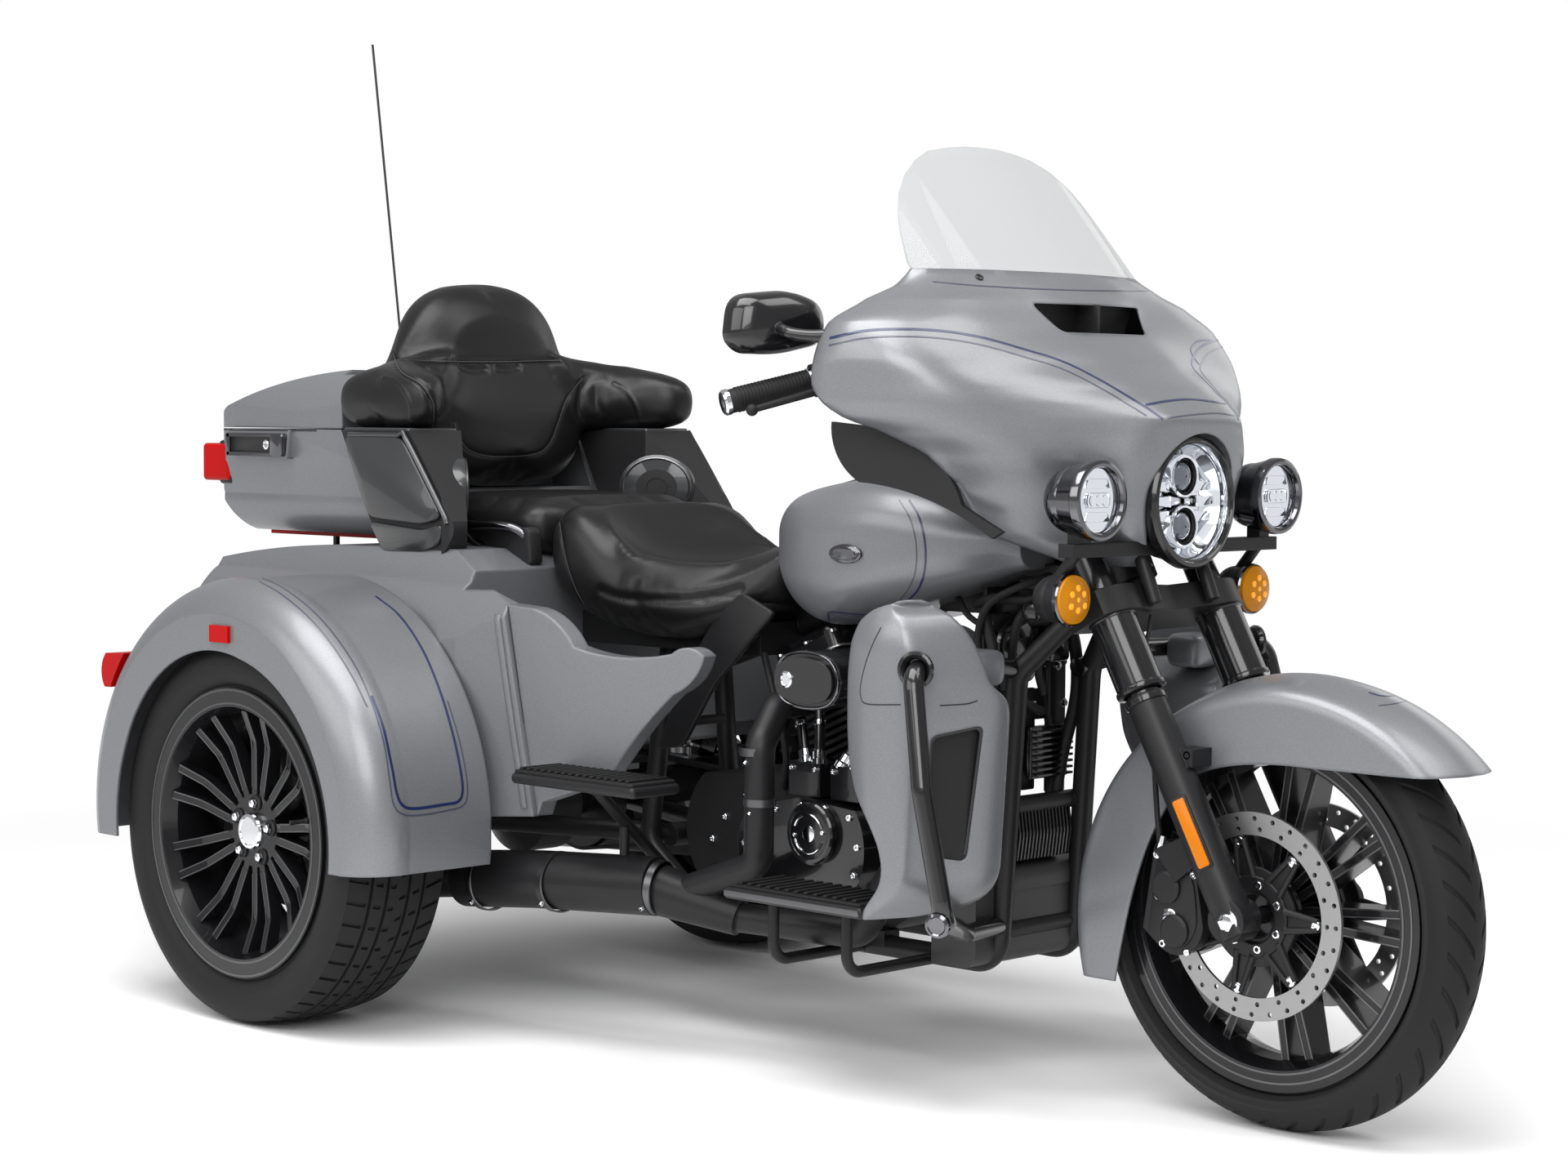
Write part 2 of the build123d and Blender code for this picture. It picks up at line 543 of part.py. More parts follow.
def barrel(lean):
    """One finned cylinder with its finned head, leaning by an angle from vertical, on the crank centre."""
    body = []
    core = Pos(0, 0, (cylinder_base + cover_base) / 2) * Cylinder(54, cover_base - cylinder_base)
    comb = core
    count = int((cover_base - cylinder_base) / fin_pitch)
    for k in range(count):
        z = cylinder_base + 10 + k * fin_pitch
        half_x, half_y = (72, 80) if z < head_base else (78, 88)
        comb = comb + Pos(0, 0, z) * extrude(RectangleRounded(2 * half_x, 2 * half_y, 26), fin_thickness)
    turned_barrel = Pos(crank_x, 0, crank_z) * Rot(0, lean, 0) * comb
    return turned_barrel


def rocker_cover(lean):
    """The stepped cover on top of a head."""
    lower = extrude(RectangleRounded(150, 168, 20), 26)
    upper = Pos(0, 0, 26) * extrude(RectangleRounded(128, 140, 24), cover_top - cover_base - 26)
    upper = fillet(upper.edges().group_by(Axis.Z)[-1], 10)
    return Pos(crank_x, 0, crank_z) * Rot(0, lean, 0) * Pos(0, 0, cover_base) * (lower + upper)


front_barrel, rear_barrel = barrel(cylinder_angle), barrel(-cylinder_angle)
nodes["cylinder_front"] = seated(front_barrel, crankcase) & block((from_crank(0.5), -200, 100), (from_crank(400), 200, 900))
nodes["cylinder_rear"] = seated(rear_barrel, crankcase) & block((from_crank(-400), -200, 100), (from_crank(-0.5), 200, 900))
nodes["frame"] = seated(frame_body, crankcase)
nodes["rocker_cover_front"] = rocker_cover(cylinder_angle)
nodes["rocker_cover_rear"] = rocker_cover(-cylinder_angle)

cam_cover = side_slab(outline((92, -40), ((104, 20), (84, 74)), (-40, 84), (-150, 60), ((-176, 0), (-140, -70)), ((-40, -92), (60, -84))),
                      cam_y, -case_half)
timer_cover = side_slab(Pos(-2, 31) * Circle(47), cam_y - 14, cam_y)
tappets = [block((x - 34, cam_y + 20, 84), (x + 34, -case_half, 138)) for x in (46, -46)]
pushrods = []
for lean in (cylinder_angle, -cylinder_angle):
    for dx in (-15, 15):
        low = (math.copysign(40, lean) + dx, cam_y + 34, 136)
        rad = math.radians(lean)
        high = (math.sin(rad) * cover_base + dx * 2.0, -86, math.cos(rad) * cover_base)
        pushrods.append(rod(low, high, 8.5))
cam_group = cam_cover + timer_cover + tappets[0] + tappets[1]
for pushrod in pushrods:
    cam_group = cam_group + pushrod
cam_group = Pos(crank_x, 0, crank_z) * cam_group
nodes["cam_cover"] = seated(cam_group, crankcase, nodes["cylinder_front"], nodes["cylinder_rear"],
                            nodes["rocker_cover_front"], nodes["rocker_cover_rear"])

primary_face = outline((110, -60), ((128, 10), (96, 72)), (-240, 84), ((-300, 20), (-270, -70)), ((-220, -96), (-60, -96)), (60, -88))
primary = side_slab(primary_face, case_half, primary_y - 24) + side_slab(offset(primary_face, -16), primary_y - 24, primary_y)
clutch_cover = side_slab(Pos(-195, -4) * Circle(62), primary_y, primary_y + 8)
nodes["primary_cover"] = Pos(crank_x, 0, crank_z) * (primary + clutch_cover)

air_face = outline((-52, -36), ((0, -46), (52, -36)), ((72, 0), (52, 36)), ((0, 46), (-52, 36)), ((-72, 0), (-52, -36)))
air_z = 281.0
air_box = side_slab(air_face, -262, -196) + side_slab(offset(air_face, -10), -272, -262)
intake = rod((0, -196, 0), (0, -70, 0), 26)
air_cleaner = Pos(from_crank(52), 0, crank_z + air_z) * (air_box + intake)
nodes["air_cleaner"] = seated(air_cleaner, nodes["cylinder_front"], nodes["cylinder_rear"], nodes["cam_cover"])

# exhaust: two headers into a collector, one silencer each side under the footboards
header_radius, muffler_radius = 24.0, 48.0
front_header = pipe(((from_crank(150), -64, crank_z + 226), (from_crank(216), -92, crank_z + 196),
                     (from_crank(200), -182, crank_z + 40), (from_crank(120), -206, crank_z - 112),
                     (from_crank(-120), -236, crank_z - 112)), header_radius, 38)
rear_header = pipe(((from_crank(-106), -70, crank_z + 232), (from_crank(-84), -190, crank_z + 226),
                    (from_crank(-62), -250, crank_z + 170), (from_crank(-64), -250, crank_z - 20),
                    (from_crank(-240), -282, crank_z - 88)), header_radius, 34)
collector = rod((from_crank(-118), -236, crank_z - 112), (from_crank(-250), -290, crank_z - 76), 30, 42)
exhaust_body = (front_header + rear_header + collector)
nodes["exhaust_headers"] = seated(exhaust_body, crankcase, nodes["cylinder_front"], nodes["cylinder_rear"],
                                  nodes["cam_cover"], nodes["rocker_cover_rear"])
muffler_points = ((from_crank(-248), -296, crank_z - 70), (from_rear(420), -352, 262), (from_rear(150), -352, 232), (from_rear(-250), -352, 215))
muffler = pipe((muffler_points[0], muffler_points[1], (from_rear(245), -352, 244)), muffler_radius, 300)
tail_pipe = pipe(((from_rear(244), -352, 244), (from_rear(100), -352, 226), (from_rear(-330), -352, 206)), 32, 200)
rear_bar = rod((from_rear(600), -400, 446), (from_rear(560), -100, 192), 10)
hanger = seated(rod((from_rear(588), -310, 290), (from_rear(588), -310, 372), 8), rear_bar)
silencer = muffler + tail_pipe + hanger.solids().sort_by(Axis.Z)[0]
nodes["silencer_right"] = seated(silencer, nodes["exhaust_headers"])
nodes["silencer_left"] = mirrored(silencer)

chin_front, chin_half = 304.0, 150.0
chin = block((from_crank(214), -chin_half, 188), (from_crank(chin_front), chin_half, 340))
chin = fillet(chin.edges().filter_by(Axis.Y).group_by(Axis.X)[-1], 26)
chin_recess = block((from_crank(chin_front) - 3, -100, 250), (from_crank(chin_front) + 10, 100, 300))
nodes["chin_cover"] = seated(chin - chin_recess, nodes["frame"])
cooler_core = block((from_crank(262), -70, 344), (from_crank(290), 70, 428))
for k in range(9):
    cooler_core = cooler_core + block((from_crank(290), -66, 348 + 8 * k), (from_crank(300), 66, 351 + 8 * k))
nodes["oil_cooler"] = seated(cooler_core, nodes["frame"])

# ---------------------------------------------------------------- lower fairings and engine guard
lower_side = outline((1205, 304), ((1216, 290), (1240, 292)), (1300, 312), ((1330, 330), (1338, 362)), (1366, 600),
                     ((1352, 716), (1268, 764)), ((1186, 732), (1150, 620)), ((1160, 520), (1225, 440)), ((1254, 376), (1236, 332)))
lower_plan = outline((1120, -384), (1150, -388), ((1228, -428), (1304, -404)), (1360, -282), ((1358, -244), (1326, -230)),
                     (1120, -228))
lower_space = outline((1100, -380), (1150, -384), ((1228, -424), (1301, -400)), (1355, -282), ((1353, -247), (1326, -234)),
                      (1200, -200), (1100, -200))
lower_body = side_slab(lower_side, -440, -200) & plan_slab(lower_plan, 280, 780)
lower_hollow = side_slab(offset(lower_side, -panel_wall), -440, -190) & plan_slab(lower_space, 280, 780)
lamp_sweep = block((1245, -266, 676), (1400, -190, 800))
lower_pod = soft_block((1262, -264, 628), (1332, -204, 672), 18)
grille_cut = plan_slab(outline((1318, -366), (1365, -258), (1420, -270), (1420, -400), (1340, -400)), 382, 586)
lower_frame = Pos(rear_axle_x, 0, 0)
half_guard = pipe(((from_rear(1226), -60, 640), (from_rear(1230), -200, 664), (from_rear(1318), -424, 668), (from_rear(1356), -444, 500),
                   (from_rear(1384), -426, 318), (from_rear(1240), -215, 256), (from_rear(1204), -96, 250)), 15, 34)
lower_shell = (lower_body - lower_hollow) + seated(lower_pod, lower_hollow)
nodes["lower_fairing_right"] = seated(lower_frame * seated(lower_shell, grille_cut, lamp_sweep), half_guard)
nodes["lower_fairing_left"] = mirrored(nodes["lower_fairing_right"])
radiator = lower_frame * (plan_slab(outline((1272, -384), (1296, -394), (1348, -276), (1322, -264)), 376, 592) & lower_hollow)
nodes["radiators"] = both_sides(seated(radiator, nodes["lower_fairing_right"]))
guard_tube = half_guard + mirrored(half_guard)
nodes["engine_guard"] = seated(guard_tube, nodes["frame"], nodes["chin_cover"])

# ---------------------------------------------------------------- tank, seats and backrest
TANK = (
    (730.0, 96.0, 772.0, 866.0, 40.0, 0.0),
    (800.0, 156.0, 716.0, 908.0, 66.0, 0.0),
    (900.0, 186.0, 698.0, 926.0, 80.0, 0.0),
    (1000.0, 188.0, 722.0, 932.0, 80.0, 0.0),
    (1100.0, 172.0, 752.0, 916.0, 72.0, 0.0),
    (1200.0, 138.0, 784.0, 884.0, 46.0, 0.0),
    (1250.0, 108.0, 800.0, 862.0, 28.0, 0.0),
)
tank = across([(from_rear(row[0]), *row[1:]) for row in TANK])
tunnel = side_slab(outline((from_rear(690), 560), (from_rear(690), 686), (from_rear(1010), 790), (from_rear(1262), 834), (from_rear(1300), 560)),
                   -backbone_radius - 1, backbone_radius + 1)
nodes["tank"] = seated(tank - tunnel, backbone)
console_band = across([(from_rear(x), 62.0, z - 2.0, z + 12.0, 6.5, 0.0) for x, z in ((790, 900), (900, 924), (1000, 930), (1100, 914), (1160, 896))])
fuel_cap = Pos(from_rear(1010), 0, 940) * Cylinder(38, 22)
nodes["tank_console"] = seated(console_band + fuel_cap, nodes["tank"])

RIDER_SEAT = (
    (262.0, 196.0, 742.0, 868.0, 58.0, 0.0),
    (330.0, 214.0, 690.0, 884.0, 70.0, 0.0),
    (440.0, 212.0, 664.0, 800.0, 60.0, 0.0),
    (560.0, 204.0, 664.0, 772.0, 50.0, 0.0),
    (660.0, 168.0, 690.0, 784.0, 44.0, 0.0),
    (742.0, 104.0, 738.0, 846.0, 46.0, 0.0),
)
PILLION_SEAT = (
    (-72.0, 196.0, 800.0, 886.0, 36.0, 0.0),
    (20.0, 208.0, 796.0, 884.0, 38.0, 0.0),
    (140.0, 214.0, 782.0, 880.0, 38.0, 0.0),
    (261.5, 200.0, 778.0, 884.0, 44.0, 0.0),
)
# ---------------------------------------------------------------- rear body with its hollow boot
BODY_SIDE = ((-470, 742), (-462, 764), ((-300, 786), (-62, 796)), (60, 803), (190, 798), (body_front_x, 766), (body_front_x, 470),
             (180, 470), (150, 352), (-150, 352), (-440, 372), (-470, 420))
body_half = 432.0
body_face = outline((-body_half, 300), (-body_half, 560), ((-414, 690), (-362, 748)), ((-340, 790), (-300, 830)), (300, 830),
                    ((340, 790), (362, 748)), ((414, 690), (body_half, 560)), (body_half, 300))
boot_half, boot_floor, boot_roof = 330.0, 444.0, 722.0
boot_front, boot_rear = 90.0, -462.0
door_half, door_low, door_high = 322.0, 430.0, 724.0
door_thickness = 22.0
body_slab = side_slab(outline(*BODY_SIDE), -body_half, body_half)
seam_top, seam_low = (398.0, 718.0), (464.0, 374.0)
flank_face = outline((200, 790), (body_front_x, 764), ((330, 740), seam_top), seam_low, (366, 366), ((352, 430), (300, 500)), (200, 520))
flank_plan = outline((200, -body_half), (300, -428), ((380, -412), (480, -396)), (480, -366), (380, -372), (200, -380))
flank = side_slab(flank_face, -body_half, -300) & plan_slab(flank_plan, 300, 900) & (Pos(100, 0, 0) * extrude(Plane.YZ * body_face, 500))
body_bulk = body_slab & (Pos(-600, 0, 0) * extrude(Plane.YZ * body_face, 1000))
rear_body_solid = Pos(rear_axle_x, 0, 0) * (body_bulk + flank + mirrored(flank))
boot_space = block((from_rear(boot_rear), -boot_half, boot_floor), (from_rear(boot_front), boot_half, boot_roof))
boot_mouth = block((from_rear(boot_rear - 60), -door_half + 22, door_low + 22), (from_rear(boot_rear + 1), door_half - 22, door_high - 22))
axle_room = block((from_rear(-130), -500, 300), (from_rear(170), 500, boot_floor - 8))
shock_x, shock_y = -30.0, 384.0
shock_bay = block((from_rear(shock_x - 46), -shock_y - 38, 340), (from_rear(shock_x + 46), -shock_y + 38, 640))
nodes["rear_body"] = rear_body_solid - boot_space - boot_mouth - axle_room - shock_bay - mirrored(shock_bay)

door_back = -471.0
door = block((from_rear(door_back - door_thickness), -door_half, door_low), (from_rear(door_back), door_half, door_high))
door = fillet(door.edges().filter_by(Axis.X), 24)
knuckle, pin_radius = 8.0, 3.5
door_hinge_x, door_hinge_z = door_back - 10.0, door_low - 12.0


def hinge_side(x, z, y_low, y_high, leaf_low, leaf_high, bore):
    """A knuckle along Y with its leaf, a block between two corners (x, z)."""
    barrel_part = side_slab(Pos(x, z) * Circle(knuckle), y_low, y_high)
    leaf = side_slab(outline(leaf_low, (leaf_high[0], leaf_low[1]), leaf_high, (leaf_low[0], leaf_high[1])), y_low, y_high)
    return (barrel_part + leaf) - side_slab(Pos(x, z) * Circle(bore), y_low - 1, y_high + 1)


door_knuckles, body_hinges = None, None
hinge_x = from_rear(door_hinge_x)
for y in (-200.0, 200.0):
    on_door = hinge_side(hinge_x, door_hinge_z, y - 14, y + 14, (hinge_x - 7, door_hinge_z), (hinge_x + 7, door_low + 2), pin_radius + seat_gap)
    door = door + on_door
    fixed = side_slab(Pos(hinge_x, door_hinge_z) * Circle(pin_radius), y - 32, y + 32)
    for low, high in ((y - 32, y - 14.5), (y + 14.5, y + 32)):
        fixed = fixed + hinge_side(hinge_x, door_hinge_z, low, high, (hinge_x, door_hinge_z - 5), (from_rear(-460), door_hinge_z + 5), pin_radius)
    body_hinges = fixed if body_hinges is None else body_hinges + fixed
nodes["boot_door"] = door
nodes["boot_hinges"] = seated(body_hinges, nodes["rear_body"])

# rear mudguards
arch_radius, arch_z = 305.0, 325.0
guard_centre_x, guard_centre_z = -10.0, 345.0
outer_radius, outer_wall = 407.0, 5.0
fender_profile = outline((288, -body_half_width), (350, -body_half_width), ((outer_radius - 14, -662), (outer_radius, -600)), (outer_radius + 2, -body_half),
                         (outer_radius + 2 - outer_wall, -body_half), (outer_radius - outer_wall, -600),
                         ((outer_radius - 19, -656), (346, -body_half_width + outer_wall)), (288, -body_half_width + outer_wall))
fender = turned(fender_profile, from_rear(guard_centre_x), guard_centre_z)
fender_keep = block((from_rear(-430), -720, 292), (from_rear(398), -400, 800))
arch_cut = Pos(rear_axle_x, 0, arch_z) * side_slab(Circle(arch_radius), -720, -body_half_width + 30)
nodes["rear_mudguard_right"] = (fender & fender_keep) - arch_cut
nodes["rear_mudguard_left"] = mirrored(nodes["rear_mudguard_right"])

panel_face = outline((seam_top[0] + seat_gap, seam_top[1]), (454, 714), ((506, 690), (536, 655)), ((620, 642), (712, 651)),
                     ((752, 658), (764, 648)), ((752, 618), (715, 586)), ((650, 512), (600, 441)), (474, 398), (seam_low[0] + seat_gap, seam_low[1]))
panel_plan = outline((390, -400), ((570, -368), (770, -300)), (770, -272), ((570, -336), (390, -366)))
side_panel = Pos(rear_axle_x, 0, 0) * (side_slab(panel_face, -440, -200) & plan_slab(panel_plan, 300, 800))
nodes["side_panels"] = both_sides(seated(side_panel, rear_body_solid))

lamp_side = block((from_rear(-14), -body_half_width - 6, 648), (from_rear(38), -body_half_width, 676))
nodes["side_markers"] = both_sides(lamp_side)
tail_y = body_half_width - 62.0
tail = side_slab(outline((-300, 548), (-384, 546), ((-394, 575), (-380, 606)), (-290, 610)), -tail_y - 32, -tail_y + 32)
fender_drum = side_slab(Pos(guard_centre_x, guard_centre_z) * Circle(outer_radius + 2 + seat_gap), -body_half_width, 0)
nodes["tail_lamps"] = both_sides(Pos(rear_axle_x, 0, 0) * seated(tail, fender_drum))

# ---------------------------------------------------------------- rear axle, springs and drive
axle_z = rear_tyre_radius
housing = Pos(rear_axle_x, 0, axle_z) * Rot(90, 0, 0) * Cylinder(36, 2 * 436)
differential = turned(outline((0, -78), (54, -72), (92, -40), (92, 40), (54, 72), (0, 78)), rear_axle_x, axle_z)
half_shafts = Pos(rear_axle_x, 0, axle_z) * Rot(90, 0, 0) * Cylinder(rear_axle_radius, 2 * (rear_wheel_y + 29))
belt_y, belt_width = 114.0, 30.0
pulley = Pos(rear_axle_x, 0, axle_z) * side_slab(Circle(98), belt_y, belt_y + belt_width)
swing = rod((from_rear(445), -58, 312), (from_rear(0), -210, 312), 17)
swing_pivot = Pos(from_rear(445), 0, 312) * Rot(90, 0, 0) * Cylinder(20, 150)
spring_seat = block((from_rear(shock_x - 30), -shock_y - 30, axle_z), (from_rear(shock_x + 40), -shock_y + 30, axle_z + 44))
caliper_arm = block((from_rear(-150), -rear_wheel_y + 26, axle_z - 24), (from_rear(0), -rear_wheel_y + 40, axle_z + 24))
rear_caliper = side_slab(outline((-168, -40), (-88, -30), (-82, 30), (-160, 44)), -rear_wheel_y - 4, -rear_wheel_y + 40)
rear_disc_room = side_slab(Circle(142), -rear_wheel_y + 5, -rear_wheel_y + 21)
rear_caliper = Pos(rear_axle_x, 0, axle_z) * (rear_caliper - rear_disc_room)
hub_plate = Pos(rear_axle_x, 0, axle_z) * side_slab(Circle(46), -rear_wheel_y + 26, -430)
axle_half = swing + spring_seat + caliper_arm + rear_caliper + hub_plate
nodes["rear_axle"] = seated(housing + differential + half_shafts + pulley + swing_pivot + axle_half + mirrored(axle_half), nodes["frame"])
shock = rod((from_rear(shock_x), -shock_y, axle_z + 44), (from_rear(shock_x), -shock_y, 540), 32) + \
    rod((from_rear(shock_x), -shock_y, 538), (from_rear(shock_x), -shock_y, 640), 22)
nodes["rear_springs"] = both_sides(shock)

sprocket_x, sprocket_z, sprocket_radius = -350.0, 5.0, 40.0


def belt_loop(grow):
    """The closed outline round both belt pulleys, a distance outside their rims."""
    rims = Sketch() + Pos(rear_axle_x, axle_z) * Circle(98 + grow) + Pos(from_crank(sprocket_x), crank_z + sprocket_z) * Circle(sprocket_radius + grow)
    return make_hull(rims.edges())


nodes["drive_belt"] = side_slab(belt_loop(6) - belt_loop(seat_gap), belt_y + 2, belt_y + belt_width - 2)
sprocket = Pos(from_crank(sprocket_x), 0, crank_z + sprocket_z) * (side_slab(Circle(sprocket_radius), belt_y, belt_y + belt_width) + side_slab(Circle(20), case_half, belt_y))
nodes["drive_sprocket"] = sprocket

# ---------------------------------------------------------------- seats and backrest
rider_seat = across([(from_rear(row[0]), *row[1:]) for row in RIDER_SEAT])
pillion_seat = across([(from_rear(row[0]), *row[1:]) for row in PILLION_SEAT])
seat_pan = block((from_rear(body_front_x), -112, 636), (from_rear(700), 112, 690))
nodes["seat_pan"] = seated(seat_pan, rider_seat, nodes["frame"], nodes["tank"], nodes["rocker_cover_rear"])
nodes["rider_seat"] = seated(rider_seat, nodes["tank"], nodes["frame"], rear_body_solid)
nodes["pillion_seat"] = seated(pillion_seat, rider_seat, rear_body_solid)

# (height, half width, x of the back, x of the front)
BACKREST = (
    (902.0, 150.0, -196.0, -66.0),
    (960.0, 206.0, -222.0, -54.0),
    (1040.0, 232.0, -228.0, -60.0),
    (1100.0, 224.0, -228.0, -84.0),
    (1140.0, 196.0, -228.0, -96.0),
    (1200.0, 170.0, -226.0, -104.0),
    (1244.0, 132.0, -220.0, -116.0),
    (1274.0, 70.0, -204.0, -136.0),
)


def level_sections(table, corner):
    """A solid through level rounded rectangles. A row is (height, half width, x of the back, x of the front)."""
    faces = []
    for z, half, back, front in table:
        edge = min(corner, (front - back) / 2 - 2)
        faces.append(Pos(from_rear((back + front) / 2), 0, z) * RectangleRounded(front - back, 2 * half, edge))
    return loft(faces)


backrest_back = BACKREST[2][2]
pad = level_sections(BACKREST, 52.0)
ARM = (
    (-162.0, 52.0, 1004.0, 1104.0, 30.0, -272.0),
    (-60.0, 54.0, 1003.0, 1110.0, 32.0, -274.0),
    (50.0, 46.0, 1004.0, 1094.0, 34.0, -278.0),
    (94.0, 28.0, 1010.0, 1070.0, 22.0, -282.0),
)
arm = across([(from_rear(row[0]), *row[1:]) for row in ARM])
nodes["backrest"] = seated(pad + arm + mirrored(arm), nodes["pillion_seat"])

pod_face = outline((-130, 1000), (62, 1000), (181, 846), ((170, 800), (116, 786)), (-10, 786), (-56, 859))
pod_plan = outline((-140, -336), (150, -336), ((186, -330), (184, -306)), (62, -220), (-140, -220))
pod = Pos(rear_axle_x, 0, 0) * (side_slab(pod_face, -340, -200) & plan_slab(pod_plan, 700, 1100))

# ---------------------------------------------------------------- top case on its carrier
case_wall = 6.0
case_low_z, seam_z = 812.0, 1000.0
lid_gap = 2.0
notch_x, notch_half, notch_z = -236.0, 250.0, 894.0


def case_solid(inset):
    """The closed outer shape of the top case, tub and lid together, drawn in by its wall where inset is set."""
    side = outline((-562, seam_z), ((-566, 1014), (-546, 1030)), ((-400, 1082), (-170, 1110)), (-170, seam_z), (-84, case_low_z),
                   (-496, case_low_z), (-544, 866))
    plan = outline((-570, -210), ((-560, -282), (-500, -304)), (-300, -310), (-80, -300), (-80, 300), (-300, 310),
                   (-500, 304), ((-560, 282), (-570, 210)))
    front = outline((-226, case_low_z - 2), ((-276, 826), (-292, 880)), (-312, seam_z), (-310, 1030), ((-270, 1086), (-160, 1112)),
                    (160, 1112), ((270, 1086), (310, 1030)), (312, seam_z), (292, 880), ((276, 826), (226, case_low_z - 2)))
    if inset:
        side, plan, front = offset(side, -inset), offset(plan, -inset), offset(front, -inset)
    body = side_slab(side, -340, 340) & plan_slab(plan, 780, 1130) & (Pos(-600, 0, 0) * extrude(Plane.YZ * front, 560))
    return Pos(rear_axle_x, 0, 0) * body


def backrest_notch(inset):
    """The room that the case leaves for the backrest, larger by the case's wall where inset is set."""
    return block((from_rear(notch_x - inset), -notch_half - inset, notch_z - inset), (from_rear(0), notch_half + inset, 1200))


below_seam = block((from_rear(-700), -400, 700), (from_rear(100), 400, seam_z))
above_seam = block((from_rear(-700), -400, seam_z + lid_gap), (from_rear(100), 400, 1200))
case_outer = case_solid(0) - backrest_notch(0)
case_inner = case_solid(case_wall) - backrest_notch(case_wall)
tub_outer, lid_outer = case_outer & below_seam, case_outer & above_seam
tub_inner, lid_inner = case_inner & below_seam, case_inner & above_seam
nodes["speaker_pods"] = both_sides(seated(pod, rear_body_solid, tub_outer))
lid_hinge_y, lid_hinge_z = 334.0, seam_z + lid_gap / 2
tub, lid = tub_outer - tub_inner, lid_outer - lid_inner


def lid_knuckle(x_low, x_high, z_low, z_high, bore):
    """A knuckle along X with its leaf to the case's left wall."""
    tube_part = Pos((x_low + x_high) / 2, lid_hinge_y, lid_hinge_z) * Rot(0, 90, 0) * Cylinder(6, x_high - x_low)
    leaf = block((x_low, 300, z_low), (x_high, lid_hinge_y, z_high))
    hole = Pos((x_low + x_high) / 2, lid_hinge_y, lid_hinge_z) * Rot(0, 90, 0) * Cylinder(bore, x_high - x_low + 2) if bore else None
    return (tube_part + leaf) if hole is None else (tube_part + leaf) - hole


for x in (from_rear(-460), from_rear(-350)):
    lid = lid + (lid_knuckle(x - 12, x + 12, lid_hinge_z + 1, lid_hinge_z + 6, 2.5 + seat_gap) - lid_inner)
    fixed = Pos(x, lid_hinge_y, lid_hinge_z) * Rot(0, 90, 0) * Cylinder(2.5, 60)
    for low, high in ((x - 30, x - 12.5), (x + 12.5, x + 30)):
        fixed = fixed + lid_knuckle(low, high, lid_hinge_z - 6, lid_hinge_z - 1, None)
    tub = tub + (fixed - tub_inner)
nodes["top_case"] = tub
nodes["top_case_lid"] = lid
latch = side_slab(outline((-500, seam_z - 2), (-488, 950), (-316, 946), (-308, seam_z - 2)), -318, -296)
latch = Pos(rear_axle_x, 0, 0) * latch - tub_outer
nodes["case_latch"] = latch
mount_plate = block((from_rear(notch_x), -100, 920), (from_rear(backrest_back + 30), 100, 985))
nodes["backrest_mount"] = seated(mount_plate, nodes["backrest"])
carrier_radius = 6.0
rail_y, rail_z = 120.0, case_low_z - carrier_radius - seat_gap
rail_top = rail_z + carrier_radius
rail = block((from_rear(-470), -rail_y - carrier_radius, rail_z - carrier_radius), (from_rear(-200), -rail_y + carrier_radius, rail_top))
posts = [block((from_rear(x) - 5, -rail_y - 4, 740), (from_rear(x) + 5, -rail_y + 4, rail_z)) for x in (-430, -240)]
cross_bars = [block((from_rear(x) - 5, -rail_y, rail_z - 5), (from_rear(x) + 5, rail_y, rail_z + 3)) for x in (-440, -250)]
half_carrier = rail + posts[0] + posts[1]
carrier = half_carrier + mirrored(half_carrier) + cross_bars[0] + cross_bars[1]
nodes["case_carrier"] = seated(carrier, rear_body_solid)
case_lamp = soft_block((from_rear(-606), -302, 902), (from_rear(-520), -236, 972), 8) - tub_outer
strip_z = case_low_z - seat_gap
case_strip = block((from_rear(-500), -214, strip_z - 9), (from_rear(-150), -188, strip_z)) + block((from_rear(-508), -214, strip_z - 9), (from_rear(-486), 0, strip_z))
nodes["case_lamps"] = Compound(children=[*both_sides(case_lamp).solids(), *(case_strip + mirrored(case_strip)).solids()])
aerial_y = 200.0
whip_radius = 2.4
aerial_tip = Vector(-overall_length / 2 + whip_radius, aerial_y, 1773)
aerial_base = Vector(from_rear(-590), aerial_y, 847)
aerial_dir = (aerial_tip - aerial_base).normalized()
spring_top = aerial_base + aerial_dir * 70
aerial_foot = block((aerial_base.X - 8, aerial_y - 12, aerial_base.Z - 4), (from_rear(-500), aerial_y + 12, aerial_base.Z + 12)) - tub_outer
nodes["aerial"] = rod(tuple(aerial_base), tuple(aerial_tip), whip_radius) + rod(tuple(aerial_base), tuple(spring_top), 6.0) + aerial_foot

# ---------------------------------------------------------------- footboards and pedals
board = soft_block((from_rear(898), -392, 290), (from_rear(1190), -262, 308), 8)
board_bars = pipe(((from_crank(30), -100, 187), (from_crank(30), -310, 187), (from_crank(30), -310, 294)), 9, 30) + \
    pipe(((from_crank(186), -100, 187), (from_crank(186), -310, 187), (from_crank(186), -310, 294)), 9, 30)
nodes["rider_footboards"] = both_sides(seated(board + board_bars, nodes["frame"]))
rear_board = soft_block((from_rear(510), -488, 440), (from_rear(800), -384, 458), 8)
nodes["passenger_footboards"] = both_sides(seated(rear_board + rear_bar, nodes["frame"]))
pedal = rod((from_rear(1100), -246, 300), (from_rear(1196), -246, 344), 7) + \
    soft_block((from_rear(1192), -330, 338), (from_rear(1212), -240, 356), 5) + rod((from_rear(1100), -262.5, 300), (from_rear(1100), -238, 300), 9)
nodes["foot_pedals"] = both_sides(seated(pedal, nodes["rider_footboards"]))

